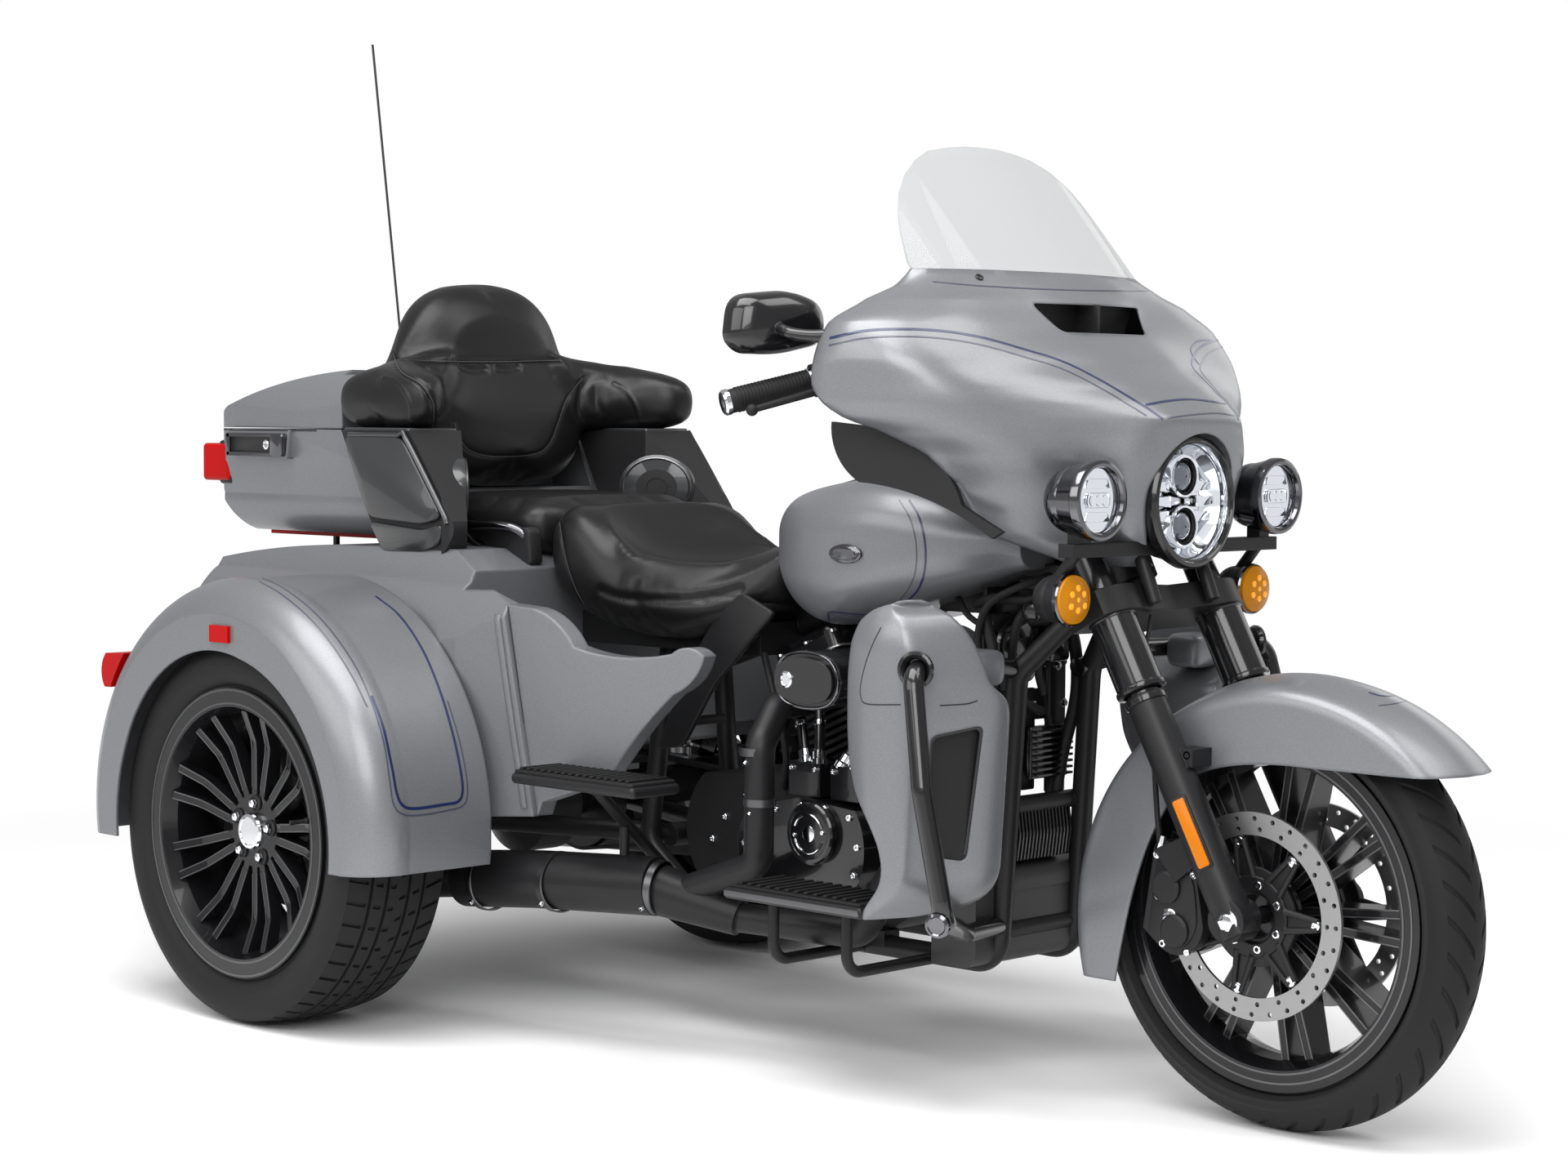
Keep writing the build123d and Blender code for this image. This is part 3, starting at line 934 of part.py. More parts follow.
# ---------------------------------------------------------------- pieces that share a node
GROUPS = {
    "fork_sliders": ("fork_sliders", "front_axle"),
    "lamp_bar": ("lamp_bar", "indicators"),
    "lamp_lenses": ("headlamp_lens", "passing_lamp_lenses"),
    "hand_controls": ("hand_controls", "grips"),
    "cylinders": ("cylinder_front", "cylinder_rear"),
    "rocker_covers": ("rocker_cover_front", "rocker_cover_rear"),
    "silencers": ("silencer_right", "silencer_left"),
    "lower_fairings": ("lower_fairing_right", "lower_fairing_left"),
    "coolers": ("oil_cooler", "radiators"),
    "rear_mudguards": ("rear_mudguard_right", "rear_mudguard_left"),
    "crankcase": ("crankcase", "drive_sprocket"),
    "rear_body": ("rear_body", "boot_hinges"),
    "case_carrier": ("case_carrier", "backrest_mount"),
    "top_case": ("top_case", "case_latch"),
    "tail_lamps": ("tail_lamps", "case_lamps", "side_markers"),
    "rear_wheel_right": ("rear_wheel_right", "rear_brake_disc_right"),
    "rear_wheel_left": ("rear_wheel_left", "rear_brake_disc_left"),
    "frame": ("frame", "seat_pan"),
    "rider_footboards": ("rider_footboards", "foot_pedals"),
}
for group, members in GROUPS.items():
    solids = [solid for member in members for solid in nodes.pop(member).solids()]
    nodes[group] = Compound(children=solids)

os.makedirs("parts", exist_ok=True)
for name, shape in nodes.items():
    export_step(solid_of(shape), "parts/" + name + ".step")
    print(name, len(shape.solids()), round(sum(s.volume for s in shape.solids())))
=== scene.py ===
"""Dressed model of a large touring trike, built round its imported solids.

Frame: metres, +X forward, +Y to the rider's left, +Z up. Sub-assemblies measure from the rear axle or
the front axle.
"""

from __future__ import annotations

import json
import logging
import math
from dataclasses import dataclass
from enum import Enum
from typing import Callable, Sequence

import bmesh
import bpy
from mathutils import Matrix, Vector
from mathutils.bvhtree import BVHTree
from mathutils.kdtree import KDTree

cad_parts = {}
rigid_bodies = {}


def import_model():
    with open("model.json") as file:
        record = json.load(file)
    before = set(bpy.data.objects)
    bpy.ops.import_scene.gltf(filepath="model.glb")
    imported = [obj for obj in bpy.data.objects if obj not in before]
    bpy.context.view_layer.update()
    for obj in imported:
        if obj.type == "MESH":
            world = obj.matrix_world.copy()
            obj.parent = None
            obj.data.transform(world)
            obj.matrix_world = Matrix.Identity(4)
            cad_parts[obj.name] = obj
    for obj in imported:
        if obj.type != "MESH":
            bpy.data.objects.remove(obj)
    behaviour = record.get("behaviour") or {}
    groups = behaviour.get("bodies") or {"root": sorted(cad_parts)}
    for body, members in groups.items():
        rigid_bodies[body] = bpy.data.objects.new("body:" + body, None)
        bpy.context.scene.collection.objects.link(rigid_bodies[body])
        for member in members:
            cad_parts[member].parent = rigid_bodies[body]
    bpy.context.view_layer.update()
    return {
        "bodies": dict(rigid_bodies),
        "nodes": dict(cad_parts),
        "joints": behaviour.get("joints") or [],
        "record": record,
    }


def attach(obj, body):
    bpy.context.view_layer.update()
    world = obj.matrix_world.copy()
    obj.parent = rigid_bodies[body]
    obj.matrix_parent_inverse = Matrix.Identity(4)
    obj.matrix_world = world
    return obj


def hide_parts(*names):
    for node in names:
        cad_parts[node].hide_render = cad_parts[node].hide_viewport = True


log = logging.getLogger("trike")

Point = tuple[float, float, float]
Flat = tuple[float, float]
Table = tuple[tuple[float, ...], ...]
Trace = list[tuple[Vector, Vector]]
Spot = Sequence[float]
Colour = tuple[float, float, float]
Operand = bpy.types.NodeSocket | float

MM = 0.001
VIEW_WIDTH, VIEW_HEIGHT = 1920.0, 1440.0
SENSOR_MM = 36.0

FORWARD = (1, 0, 0)
BACKWARD = (-1, 0, 0)
RIGHTWARD = (0, -1, 0)
LEFTWARD = (0, 1, 0)
UPWARD = (0, 0, 1)
BOTH_SIDES = (-1, 1)


# ------------------------------------------------------------------ stations and names
class Station(Enum):
    """Lengthwise places that sub-assemblies measure from, in millimetres."""

    REAR_AXLE = -628.0
    FRONT_AXLE = 1042.0

    def at(self, x: float, y: float, z: float) -> Vector:
        """A point in metres, measured forward from this station."""
        return Vector(((self.value + x) * MM, y * MM, z * MM))


class Body(Enum):
    """Moving bodies of the trike."""

    CHASSIS = "chassis"
    STEERING = "steering"
    FRONT_WHEEL = "front_wheel_set"
    RIGHT_WHEEL = "right_wheel_set"
    LEFT_WHEEL = "left_wheel_set"
    CASE_LID = "case_lid"
    BOOT_DOOR = "door"


class Side(Enum):
    """Sides of the vehicle, as the sign of y."""

    RIGHT = -1
    LEFT = 1


# ------------------------------------------------------------------ shared shader groups
class ShaderGroups:
    """Node groups that several finishes place with their own values."""

    @staticmethod
    def _new(
        name: str, inputs: dict[str, float | None], outputs: Sequence[str]
    ) -> tuple[bpy.types.NodeTree, bpy.types.Node, bpy.types.Node]:
        """Makes an empty group with named sockets.

        Args:
            name: Name of the group.
            inputs: Default of each input by its name, or None for a colour.
            outputs: Name of each output.

        Returns:
            The group's node tree, its input node and its output node.
        """
        tree = bpy.data.node_groups.new(name, "ShaderNodeTree")
        for label, default in inputs.items():
            kind = "NodeSocketColor" if default is None else "NodeSocketFloat"
            socket = tree.interface.new_socket(label, in_out="INPUT", socket_type=kind)
            if default is not None:
                socket.default_value = default
        for label in outputs:
            kind = "NodeSocketColor" if label == "Colour" else "NodeSocketFloat"
            tree.interface.new_socket(label, in_out="OUTPUT", socket_type=kind)
        return tree, tree.nodes.new("NodeGroupInput"), tree.nodes.new("NodeGroupOutput")

    @classmethod
    def named(cls, name: str) -> bpy.types.NodeTree:
        """Returns a shared group, building it the first time it is asked for.

        Args:
            name: One of speckle, grain or dust.

        Returns:
            The group's node tree.
        """
        builders = {"speckle": cls._speckle, "grain": cls._grain, "dust": cls._dust}
        return bpy.data.node_groups.get(name) or builders[name]()

    @classmethod
    def place(cls, tree: bpy.types.NodeTree, name: str, **values: float | Spot) -> bpy.types.Node:
        """Places a shared group in a material.

        Args:
            tree: The material's tree.
            name: Name of the group.
            values: Value of each input that the material sets.

        Returns:
            The group's node.
        """
        node = tree.nodes.new("ShaderNodeGroup")
        node.node_tree = cls.named(name)
        for socket, value in values.items():
            node.inputs[socket].default_value = value
        return node

    @staticmethod
    def math(tree: bpy.types.NodeTree, operation: str, first: Operand, second: Operand) -> bpy.types.Node:
        """Adds a math node on two sockets or numbers.

        Args:
            tree: Tree that it goes into.
            operation: The node's operation.
            first: First socket or number.
            second: Second socket or number.

        Returns:
            The node.
        """
        node = tree.nodes.new("ShaderNodeMath")
        node.operation = operation
        for socket, value in zip(node.inputs, (first, second)):
            if isinstance(value, float):
                socket.default_value = value
            else:
                tree.links.new(value, socket)
        return node

    @staticmethod
    def texture(tree: bpy.types.NodeTree, kind: str) -> bpy.types.Node:
        """Adds a texture node that is laid in the object's own space."""
        node, place = tree.nodes.new(kind), tree.nodes.new("ShaderNodeTexCoord")
        tree.links.new(place.outputs["Object"], node.inputs["Vector"])
        return node

    @classmethod
    def _speckle(cls) -> bpy.types.NodeTree:
        """Fine metal flakes that vary a base colour from spot to spot."""
        tree, start, end = cls._new("speckle", {"Colour": None, "Scale": 900.0, "Amount": 0.12}, ("Colour", "Mask"))
        new, link = tree.nodes.new, tree.links.new
        cells = cls.texture(tree, "ShaderNodeTexVoronoi")
        link(start.outputs["Scale"], cells.inputs["Scale"])
        split = new("ShaderNodeSeparateColor")
        link(cells.outputs["Color"], split.inputs["Color"])
        centred = cls.math(tree, "SUBTRACT", split.outputs["Red"], 0.5)
        scaled = cls.math(tree, "MULTIPLY", centred.outputs[0], start.outputs["Amount"])
        shift = new("ShaderNodeVectorMath")
        shift.operation = "ADD"
        link(start.outputs["Colour"], shift.inputs[0])
        link(scaled.outputs[0], shift.inputs[1])
        link(shift.outputs[0], end.inputs["Colour"])
        link(split.outputs["Red"], end.inputs["Mask"])
        return tree

    @classmethod
    def _grain(cls) -> bpy.types.NodeTree:
        """Hide grain: small rounded cells over slow wrinkles, as a height."""
        tree, start, end = cls._new("grain", {"Scale": 420.0, "Wrinkle": 0.35}, ("Height", "Mask"))
        link = tree.links.new
        cells, slow = cls.texture(tree, "ShaderNodeTexVoronoi"), cls.texture(tree, "ShaderNodeTexNoise")
        cells.feature = "DISTANCE_TO_EDGE"
        link(start.outputs["Scale"], cells.inputs["Scale"])
        slow.inputs["Scale"].default_value = 22.0
        slow.inputs["Detail"].default_value = 4.0
        low = cls.math(tree, "MULTIPLY", slow.outputs[0], start.outputs["Wrinkle"])
        both = cls.math(tree, "ADD", cells.outputs["Distance"], low.outputs[0])
        link(both.outputs[0], end.inputs["Height"])
        link(slow.outputs[0], end.inputs["Mask"])
        return tree

    @classmethod
    def _dust(cls) -> bpy.types.NodeTree:
        """Slow patches of dust or handling marks, as a mask and a roughness."""
        tree, start, end = cls._new("dust", {"Scale": 14.0, "Roughness": 0.3, "Spread": 0.1}, ("Roughness", "Mask"))
        link = tree.links.new
        clouds = cls.texture(tree, "ShaderNodeTexNoise")
        clouds.inputs["Detail"].default_value = 6.0
        clouds.inputs["Roughness"].default_value = 0.6
        link(start.outputs["Scale"], clouds.inputs["Scale"])
        centred = cls.math(tree, "SUBTRACT", clouds.outputs[0], 0.5)
        spread = cls.math(tree, "MULTIPLY", centred.outputs[0], start.outputs["Spread"])
        total = cls.math(tree, "ADD", spread.outputs[0], start.outputs["Roughness"])
        total.use_clamp = True
        link(total.outputs[0], end.inputs["Roughness"])
        link(clouds.outputs[0], end.inputs["Mask"])
        return tree


@dataclass(frozen=True)
class Finish:
    """One surface finish and the values of the shared groups in it.

    Attributes:
        name: Material name.
        colour: Base colour.
        metallic: Metallic share.
        roughness: Middle roughness.
        spread: How far the roughness wanders.
        coat: Clear coat weight.
        flake: Strength of the metal flakes, or 0.
        grain: Height of the hide grain in millimetres, or 0.
        grain_scale: Cells per metre of the grain.
        transmission: Share of light that passes through.
        alpha: Opacity.
        glow: Strength of the surface's own light.
        ior: Index of refraction.
        specular: Strength of the mirror-like share.
        soften: Radius in millimetres to which hard edges look rounded, or 0.
        coat_roughness: How much the clear coat blurs what it reflects.
    """

    name: str
    colour: Colour
    metallic: float = 0.0
    roughness: float = 0.4
    spread: float = 0.08
    coat: float = 0.0
    flake: float = 0.0
    grain: float = 0.0
    grain_scale: float = 420.0
    transmission: float = 0.0
    alpha: float = 1.0
    glow: float = 0.0
    ior: float = 1.5
    specular: float = 0.5
    soften: float = 0.0
    coat_roughness: float = 0.04

    def material(self) -> bpy.types.Material:
        """Returns the material, building it the first time."""
        found = bpy.data.materials.get(self.name)
        if found is not None:
            return found
        material = bpy.data.materials.new(self.name)
        material.use_nodes = True
        tree = material.node_tree
        new, link = tree.nodes.new, tree.links.new
        shader = tree.nodes["Principled BSDF"]
        values = {
            "Metallic": self.metallic,
            "Coat Weight": self.coat,
            "Coat Roughness": self.coat_roughness,
            "Transmission Weight": self.transmission,
            "Alpha": self.alpha,
            "IOR": self.ior,
            "Roughness": self.roughness,
            "Specular IOR Level": self.specular,
        }
        for socket, value in values.items():
            shader.inputs[socket].default_value = value
        shader.inputs["Base Color"].default_value = (*self.colour, 1.0)
        if not self.transmission:
            dust = ShaderGroups.place(tree, "dust", Roughness=self.roughness, Spread=self.spread)
            link(dust.outputs["Roughness"], shader.inputs["Roughness"])
        if self.flake:
            speckle = ShaderGroups.place(tree, "speckle", Colour=(*self.colour, 1.0), Amount=self.flake)
            link(speckle.outputs["Colour"], shader.inputs["Base Color"])
        if self.grain:
            grain = ShaderGroups.place(tree, "grain", Scale=self.grain_scale)
            bump = new("ShaderNodeBump")
            bump.inputs["Strength"].default_value = 0.5
            bump.inputs["Distance"].default_value = self.grain * MM
            link(grain.outputs["Height"], bump.inputs["Height"])
            link(bump.outputs["Normal"], shader.inputs["Normal"])
        elif self.soften:
            edge = new("ShaderNodeBevel")
            edge.samples = 4
            edge.inputs["Radius"].default_value = self.soften * MM
            link(edge.outputs["Normal"], shader.inputs["Normal"])
        if self.glow:
            shader.inputs["Emission Color"].default_value = (*self.colour, 1.0)
            shader.inputs["Emission Strength"].default_value = self.glow
        return material


SILVER = Finish(
    "silver_paint_clearcoat", (0.175, 0.18, 0.192), metallic=0.5, roughness=0.42, coat=0.55, flake=0.035, soften=7.0,
    coat_roughness=0.2
)
STRIPE = Finish("stripe_navy", (0.008, 0.014, 0.06), roughness=0.3, coat=0.4)
GLOSS_BLACK = Finish("black_gloss_paint", (0.006, 0.006, 0.007), roughness=0.22, coat=0.6, specular=0.3, soften=3.0)
SATIN_BLACK = Finish("black_satin_coat", (0.009, 0.009, 0.010), roughness=0.42, specular=0.3, soften=3.0)
CASE_BLACK = Finish(
    "black_crinkle_coat", (0.010, 0.010, 0.011), roughness=0.5, grain=0.12, grain_scale=900.0, specular=0.3
)
WHEEL_BLACK = Finish("wheel_gloss_black", (0.006, 0.006, 0.007), roughness=0.24, coat=0.25, specular=0.25, soften=2.5)
TYRE_RUBBER = Finish(
    "tyre_rubber", (0.010, 0.010, 0.0105), roughness=0.66, grain=0.10, grain_scale=700.0, specular=0.25
)
RUBBER = Finish("ribbed_rubber", (0.009, 0.009, 0.009), roughness=0.6, grain=0.05, specular=0.25)
LEATHER = Finish(
    "seat_hide", (0.006, 0.006, 0.0065), roughness=0.36, spread=0.10, grain=0.16, grain_scale=480.0, specular=0.32
)
PLASTIC = Finish("moulded_plastic", (0.011, 0.011, 0.012), roughness=0.5, grain=0.08, grain_scale=800.0, specular=0.3)
GREY_CAST = Finish(
    "grey_cast_cover", (0.032, 0.032, 0.033), roughness=0.45, grain=0.06, grain_scale=900.0, specular=0.35
)
STEEL = Finish("ground_steel", (0.55, 0.56, 0.57), metallic=1.0, roughness=0.3)
# Bright alloy of the rings round the rocker covers' edges. The rings paint the highlight that those edges catch.
EDGE_HIGHLIGHT_ALLOY = Finish("alloy_edge_highlight", (0.45, 0.46, 0.47), metallic=1.0, roughness=0.42, grain=0.05, grain_scale=900.0)
DARK_CHROME = Finish("smoked_chrome", (0.15, 0.15, 0.16), metallic=1.0, roughness=0.12)
CHROME = Finish("bright_chrome", (0.75, 0.76, 0.78), metallic=1.0, roughness=0.08)
CLEAR_LENS = Finish("clear_lamp_glass", (0.95, 0.96, 0.97), roughness=0.02, transmission=1.0, ior=1.12)
SCREEN = Finish("screen_tint", (0.26, 0.27, 0.28), roughness=0.04, alpha=0.30, specular=0.3)
AMBER = Finish("amber_lamp_glass", (0.46, 0.17, 0.004), roughness=0.25, specular=0.15)
ORANGE = Finish("orange_reflector", (0.50, 0.14, 0.003), roughness=0.25, specular=0.2)
STEEL_DARK = Finish("machined_edge", (0.13, 0.13, 0.135), metallic=1.0, roughness=0.35)
STRIPE_GREY = Finish("stripe_grey", (0.045, 0.05, 0.075), roughness=0.3, coat=0.4)
SEAM = Finish("seam_shadow", (0.02, 0.02, 0.022), roughness=0.8)
PROJECTOR = Finish("projector_glass", (0.10, 0.11, 0.13), metallic=0.6, roughness=0.04, coat=1.0)
COVER = Finish("lamp_cover", (0.97, 0.98, 1.0), roughness=0.0, transmission=1.0, ior=1.02)
AMBER_LIGHT = Finish("amber_inner", (0.9, 0.36, 0.01), roughness=0.15, coat=0.3, glow=0.1)
WHITE_MARK = Finish("white_enamel", (0.75, 0.76, 0.76), roughness=0.35)
MIRROR = Finish("mirror_glass", (0.8, 0.82, 0.84), metallic=1.0, roughness=0.02)
THREAD = Finish("seat_thread", (0.03, 0.03, 0.032), roughness=0.7)
GLOSS_PANEL = Finish("moulded_gloss_panel", (0.020, 0.021, 0.023), roughness=0.28, coat=0.4)
RED = Finish("red_lamp_glass", (0.36, 0.0005, 0.001), roughness=0.3, specular=0.12)
DISC_STEEL = Finish("disc_steel", (0.33, 0.33, 0.33), metallic=1.0, roughness=0.42)
WHITE_FLOOR = (0.93, 0.93, 0.93)

NODE_FINISH: dict[str, Finish] = {
    node: finish
    for finish, nodes in (
        (SATIN_BLACK, "frame exhaust_headers silencers rear_axle case_carrier rider_footboards passenger_footboards "
                      "fork_yokes fork_sliders front_calipers lamp_bar"),
        (CASE_BLACK, "crankcase cylinders coolers"),
        (GLOSS_BLACK, "rocker_covers cam_cover primary_cover air_cleaner engine_guard tank_console fork_tubes "
                      "headlamp handlebar mirrors"),
        (GREY_CAST, "chin_cover"),
        (SILVER, "lower_fairings tank rear_body rear_mudguards side_panels top_case front_mudguard fairing "
                 "top_case_lid boot_door"),
        (LEATHER, "rider_seat pillion_seat backrest"),
        (RED, "tail_lamps"),
        (STEEL, "rear_springs"),
        (RUBBER, "drive_belt hand_controls"),
        (PLASTIC, "speaker_pods aerial dash"),
        (SCREEN, "windscreen"),
        (CLEAR_LENS, "lamp_lenses"),
        (DARK_CHROME, "passing_lamps"),
        (AMBER, "indicator_lenses"),
        (TYRE_RUBBER, "front_tyre rear_tyre_right rear_tyre_left"),
        (WHEEL_BLACK, "front_wheel rear_wheel_right rear_wheel_left"),
        (DISC_STEEL, "front_brake_discs"),
    )
    for node in nodes.split()
}


def shade(piece: bpy.types.Object, crease_deg: float) -> None:
    """Shades a piece smooth, but for edges sharper than an angle."""
    piece.data.shade_smooth()
    piece.data.set_sharp_from_angle(angle=math.radians(crease_deg))


def dress(node: bpy.types.Object, finish: Finish, crease_deg: float = 32.0) -> None:
    """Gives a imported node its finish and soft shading.

    Args:
        node: The node's object.
        finish: The finish it gets.
        crease_deg: Edges sharper than this stay sharp.
    """
    node.data.materials.clear()
    node.data.materials.append(finish.material())
    shade(node, crease_deg)


# ------------------------------------------------------------------ studio
@dataclass
class Studio:
    """Pale floor, soft lamps and the camera.

    Attributes:
        eye: Camera place in millimetres.
        azimuth_deg: Where the camera stands round the object.
        dip_deg: How far it looks down.
        roll_deg: How far it leans.
        focal_mm: Lens length on a 36 mm wide sensor.
    """

    eye: Point = (3592.82, -3629.70, 1028.70)
    azimuth_deg: float = 44.59
    dip_deg: float = 3.2302
    roll_deg: float = 0.3342
    focal_mm: float = 69.91

    @classmethod
    def axes(cls) -> tuple[Vector, Vector, Vector]:
        """The camera's right, up and backward directions."""
        a, e, r = (math.radians(v) for v in (cls.azimuth_deg, cls.dip_deg, cls.roll_deg))
        back = Vector((math.sin(a) * math.cos(e), -math.cos(a) * math.cos(e), math.sin(e)))
        right = (-back).cross(Vector(UPWARD)).normalized()
        up = right.cross(-back)
        return right * math.cos(r) + up * math.sin(r), up * math.cos(r) - right * math.sin(r), back

    @classmethod
    def sight(cls, across: float, down: float) -> Vector:
        """Direction of the sight line through a mark of the camera's view."""
        right, up, back = cls.axes()
        scale = SENSOR_MM / VIEW_WIDTH / cls.focal_mm
        across, down = across - VIEW_WIDTH / 2, down - VIEW_HEIGHT / 2
        return (right * across * scale - up * down * scale - back).normalized()

    def camera(self) -> None:
        """Makes the scene's camera."""
        right, up, back = self.axes()
        turn = Matrix((right, up, back)).transposed()
        data = bpy.data.cameras.new("camera")
        data.lens = self.focal_mm
        data.sensor_width = SENSOR_MM
        data.clip_end = 100.0
        camera = bpy.data.objects.new("camera", data)
        camera.matrix_world = Matrix.Translation(Vector(self.eye) * MM) @ turn.to_4x4()
        bpy.context.scene.collection.objects.link(camera)
        bpy.context.scene.camera = camera

    def lamp(self, name: str, place: Point, aim: Point, size: Flat, power: float) -> None:
        """Adds one soft rectangular lamp.

        Args:
            name: Lamp name.
            place: Where it hangs, in metres.
            aim: What it points at, in metres.
            size: Width and height in metres.
            power: Power in watts.
        """
        data = bpy.data.lights.new(name, "AREA")
        data.shape = "RECTANGLE"
        data.size, data.size_y = size
        data.energy = power
        lamp = bpy.data.objects.new(name, data)
        lamp.location = place
        lamp.rotation_euler = (Vector(aim) - Vector(place)).to_track_quat("-Z", "Y").to_euler()
        bpy.context.scene.collection.objects.link(lamp)

    def lamps(self) -> None:
        """Adds the studio's lamps."""
        self.lamp("key_above", (0.3, -1.5, 4.0), (0.0, 0, 0.4), (3.6, 2.4), 172)
        self.lamp("front_strip", (3.3, -3.5, 2.9), (0.1, 0, 0.6), (2.6, 2.4), 112)
        self.lamp("brow_panel", (2.6, 1.0, 4.4), (0.5, 0, 1.1), (2.4, 2.0), 62)
        self.lamp("right_wall", (-0.5, -4.4, 2.7), (0, 0, 0.7), (4.5, 2.0), 84)
        self.lamp("left_wall", (0.6, 4.4, 2.4), (0, 0, 0.7), (4.0, 2.0), 26)

    def world(self) -> None:
        """Lights from all round; the camera, gloss and glass see plain white."""
        world = bpy.data.worlds.new("studio")
        bpy.context.scene.world = world
        world.use_nodes = True
        tree = world.node_tree
        new, link = tree.nodes.new, tree.links.new
        base = tree.nodes["Background"]
        base.inputs["Color"].default_value = (1, 1, 1, 1)
        base.inputs["Strength"].default_value = 0.42
        seen = new("ShaderNodeBackground")
        seen.inputs["Color"].default_value = (1, 1, 1, 1)
        seen.inputs["Strength"].default_value = 1.0
        path = new("ShaderNodeLightPath")
        through = ShaderGroups.math(tree, "MAXIMUM", path.outputs["Is Camera Ray"], path.outputs["Is Transmission Ray"])
        mix = new("ShaderNodeMixShader")
        link(through.outputs[0], mix.inputs[0])
        link(base.outputs[0], mix.inputs[1])
        link(seen.outputs[0], mix.inputs[2])
        link(mix.outputs[0], tree.nodes["World Output"].inputs["Surface"])

    def floor(self) -> None:
        """Lays the pale floor, which keeps the object's shadow and fades to white."""
        mesh = bpy.data.meshes.new("floor")
        reach = 30.0
        mesh.from_pydata(
            [(-reach, -reach, 0), (reach, -reach, 0), (reach, reach, 0), (-reach, reach, 0)], [], [(0, 1, 2, 3)]
        )
        floor = bpy.data.objects.new("floor", mesh)
        bpy.context.scene.collection.objects.link(floor)
        material = bpy.data.materials.new("floor_white")
        material.use_nodes = True
        tree = material.node_tree
        new, link = tree.nodes.new, tree.links.new
        shader = tree.nodes["Principled BSDF"]
        shader.inputs["Base Color"].default_value = (*WHITE_FLOOR, 1)
        shader.inputs["Roughness"].default_value = 0.7
        shader.inputs["Specular IOR Level"].default_value = 0.15
        glow = new("ShaderNodeEmission")
        place = new("ShaderNodeTexCoord")
        length = new("ShaderNodeVectorMath")
        length.operation = "LENGTH"
        link(place.outputs["Object"], length.inputs[0])
        fade = new("ShaderNodeMapRange")
        fade.inputs["From Min"].default_value = 1.5
        fade.inputs["From Max"].default_value = 3.4
        link(length.outputs["Value"], fade.inputs["Value"])
        mix = new("ShaderNodeMixShader")
        link(fade.outputs[0], mix.inputs[0])
        link(shader.outputs[0], mix.inputs[1])
        link(glow.outputs[0], mix.inputs[2])
        link(mix.outputs[0], tree.nodes["Material Output"].inputs["Surface"])
        mesh.materials.append(material)

    def build(self) -> None:
        """Sets up the whole studio."""
        bpy.context.scene.view_settings.view_transform = "Standard"
        self.camera()
        self.lamps()
        self.world()
        self.floor()


# ------------------------------------------------------------------ shape tools
def smooth_path(points: Sequence[Spot], step: float, closed: bool = False) -> list[Vector]:
    """A smooth line through points (Catmull-Rom), in pieces no longer than a step.

    Args:
        points: Points of two or three numbers.
        step: Longest piece, in the points' own unit.
        closed: Whether the line comes back to its start.

    Returns:
        The line's points.
    """
    knots = [Vector(p) for p in points]
    if closed:
        knots = [knots[-1], *knots, knots[0], knots[1]]
    else:
        knots = [2 * knots[0] - knots[1], *knots, 2 * knots[-1] - knots[-2]]
    found = []
    for a, b, c, d in zip(knots, knots[1:], knots[2:], knots[3:]):
        count = max(1, math.ceil((c - b).length / step))
        for k in range(count):
            t = k / count
            start = 2 * b + (c - a) * t + (2 * a - 5 * b + 4 * c - d) * t * t
            found.append(0.5 * (start + (3 * b - a - 3 * c + d) * t ** 3))
    if not closed:
        found.append(knots[-2])
    return found


def rounded(corners: Sequence[Flat], radius: float, steps: int = 5) -> list[Flat]:
    """A closed outline with each corner rounded.

    Args:
        corners: The sharp corners in order.
        radius: Largest corner radius.
        steps: Pieces of each corner.

    Returns:
        The rounded outline.
    """
    found = []
    count = len(corners)
    for i in range(count):
        before, here, after = (Vector(corners[(i + k) % count]) for k in (-1, 0, 1))
        reach = min(radius, (before - here).length * 0.45, (after - here).length * 0.45)
        a, b = here + (before - here).normalized() * reach, here + (after - here).normalized() * reach
        for k in range(steps + 1):
            t = k / steps
            found.append(tuple(a * (1 - t) ** 2 + here * 2 * t * (1 - t) + b * t * t))
    return found


def arched(start: float, middle: float, end: float, share: float) -> float:
    """A value that goes from a start through a middle to an end, at a share of its way."""
    t = share
    return start * (1 - t) ** 2 + 2 * (1 - t) * t * (middle * 2 - (start + end) / 2) + end * t * t


def rectangle(a: float, b: float, c: float, d: float) -> tuple[Flat, ...]:
    """Corners of a rectangle from (a, b) to (c, d)."""
    return (a, b), (c, b), (c, d), (a, d)


def dome(radius: float, base: float, rise: float, step: int = 10) -> list[Flat]:
    """Profile of a dome from its rim to its top, as (radius, place)."""
    turns = [math.radians(a) for a in range(0, 91, step)]
    return [(radius * math.cos(a), base + rise * math.sin(a)) for a in turns]


def upright(centre: Flat, radius: float, angle: float, y: float) -> Point:
    """A point of a circle that stands lengthwise, round a centre of (x, z)."""
    return centre[0] + radius * math.cos(angle), y, centre[1] + radius * math.sin(angle)


def bow(start: Flat, middle: Flat, end: Flat, count: int = 10) -> list[Flat]:
    """Points of a shallow curve from a start through a middle to just before an end."""
    a, m, b = Vector(start), Vector(middle), Vector(end)
    control = 2 * m - (a + b) / 2
    return [tuple(a * (1 - t) ** 2 + control * 2 * t * (1 - t) + b * t * t) for t in (k / count for k in range(count))]


def carve(piece: bpy.types.Object, cutters: Sequence[bpy.types.Object], operation: str = "DIFFERENCE") -> None:
    """Cuts shapes out of a piece, or keeps only what lies inside them, and removes the cutters."""
    for cutter in cutters:
        cut = piece.modifiers.new("cut", "BOOLEAN")
        cut.object, cut.operation, cut.solver = cutter, operation, "EXACT"
    apply_modifiers(piece)
    for cutter in cutters:
        bpy.data.objects.remove(cutter)


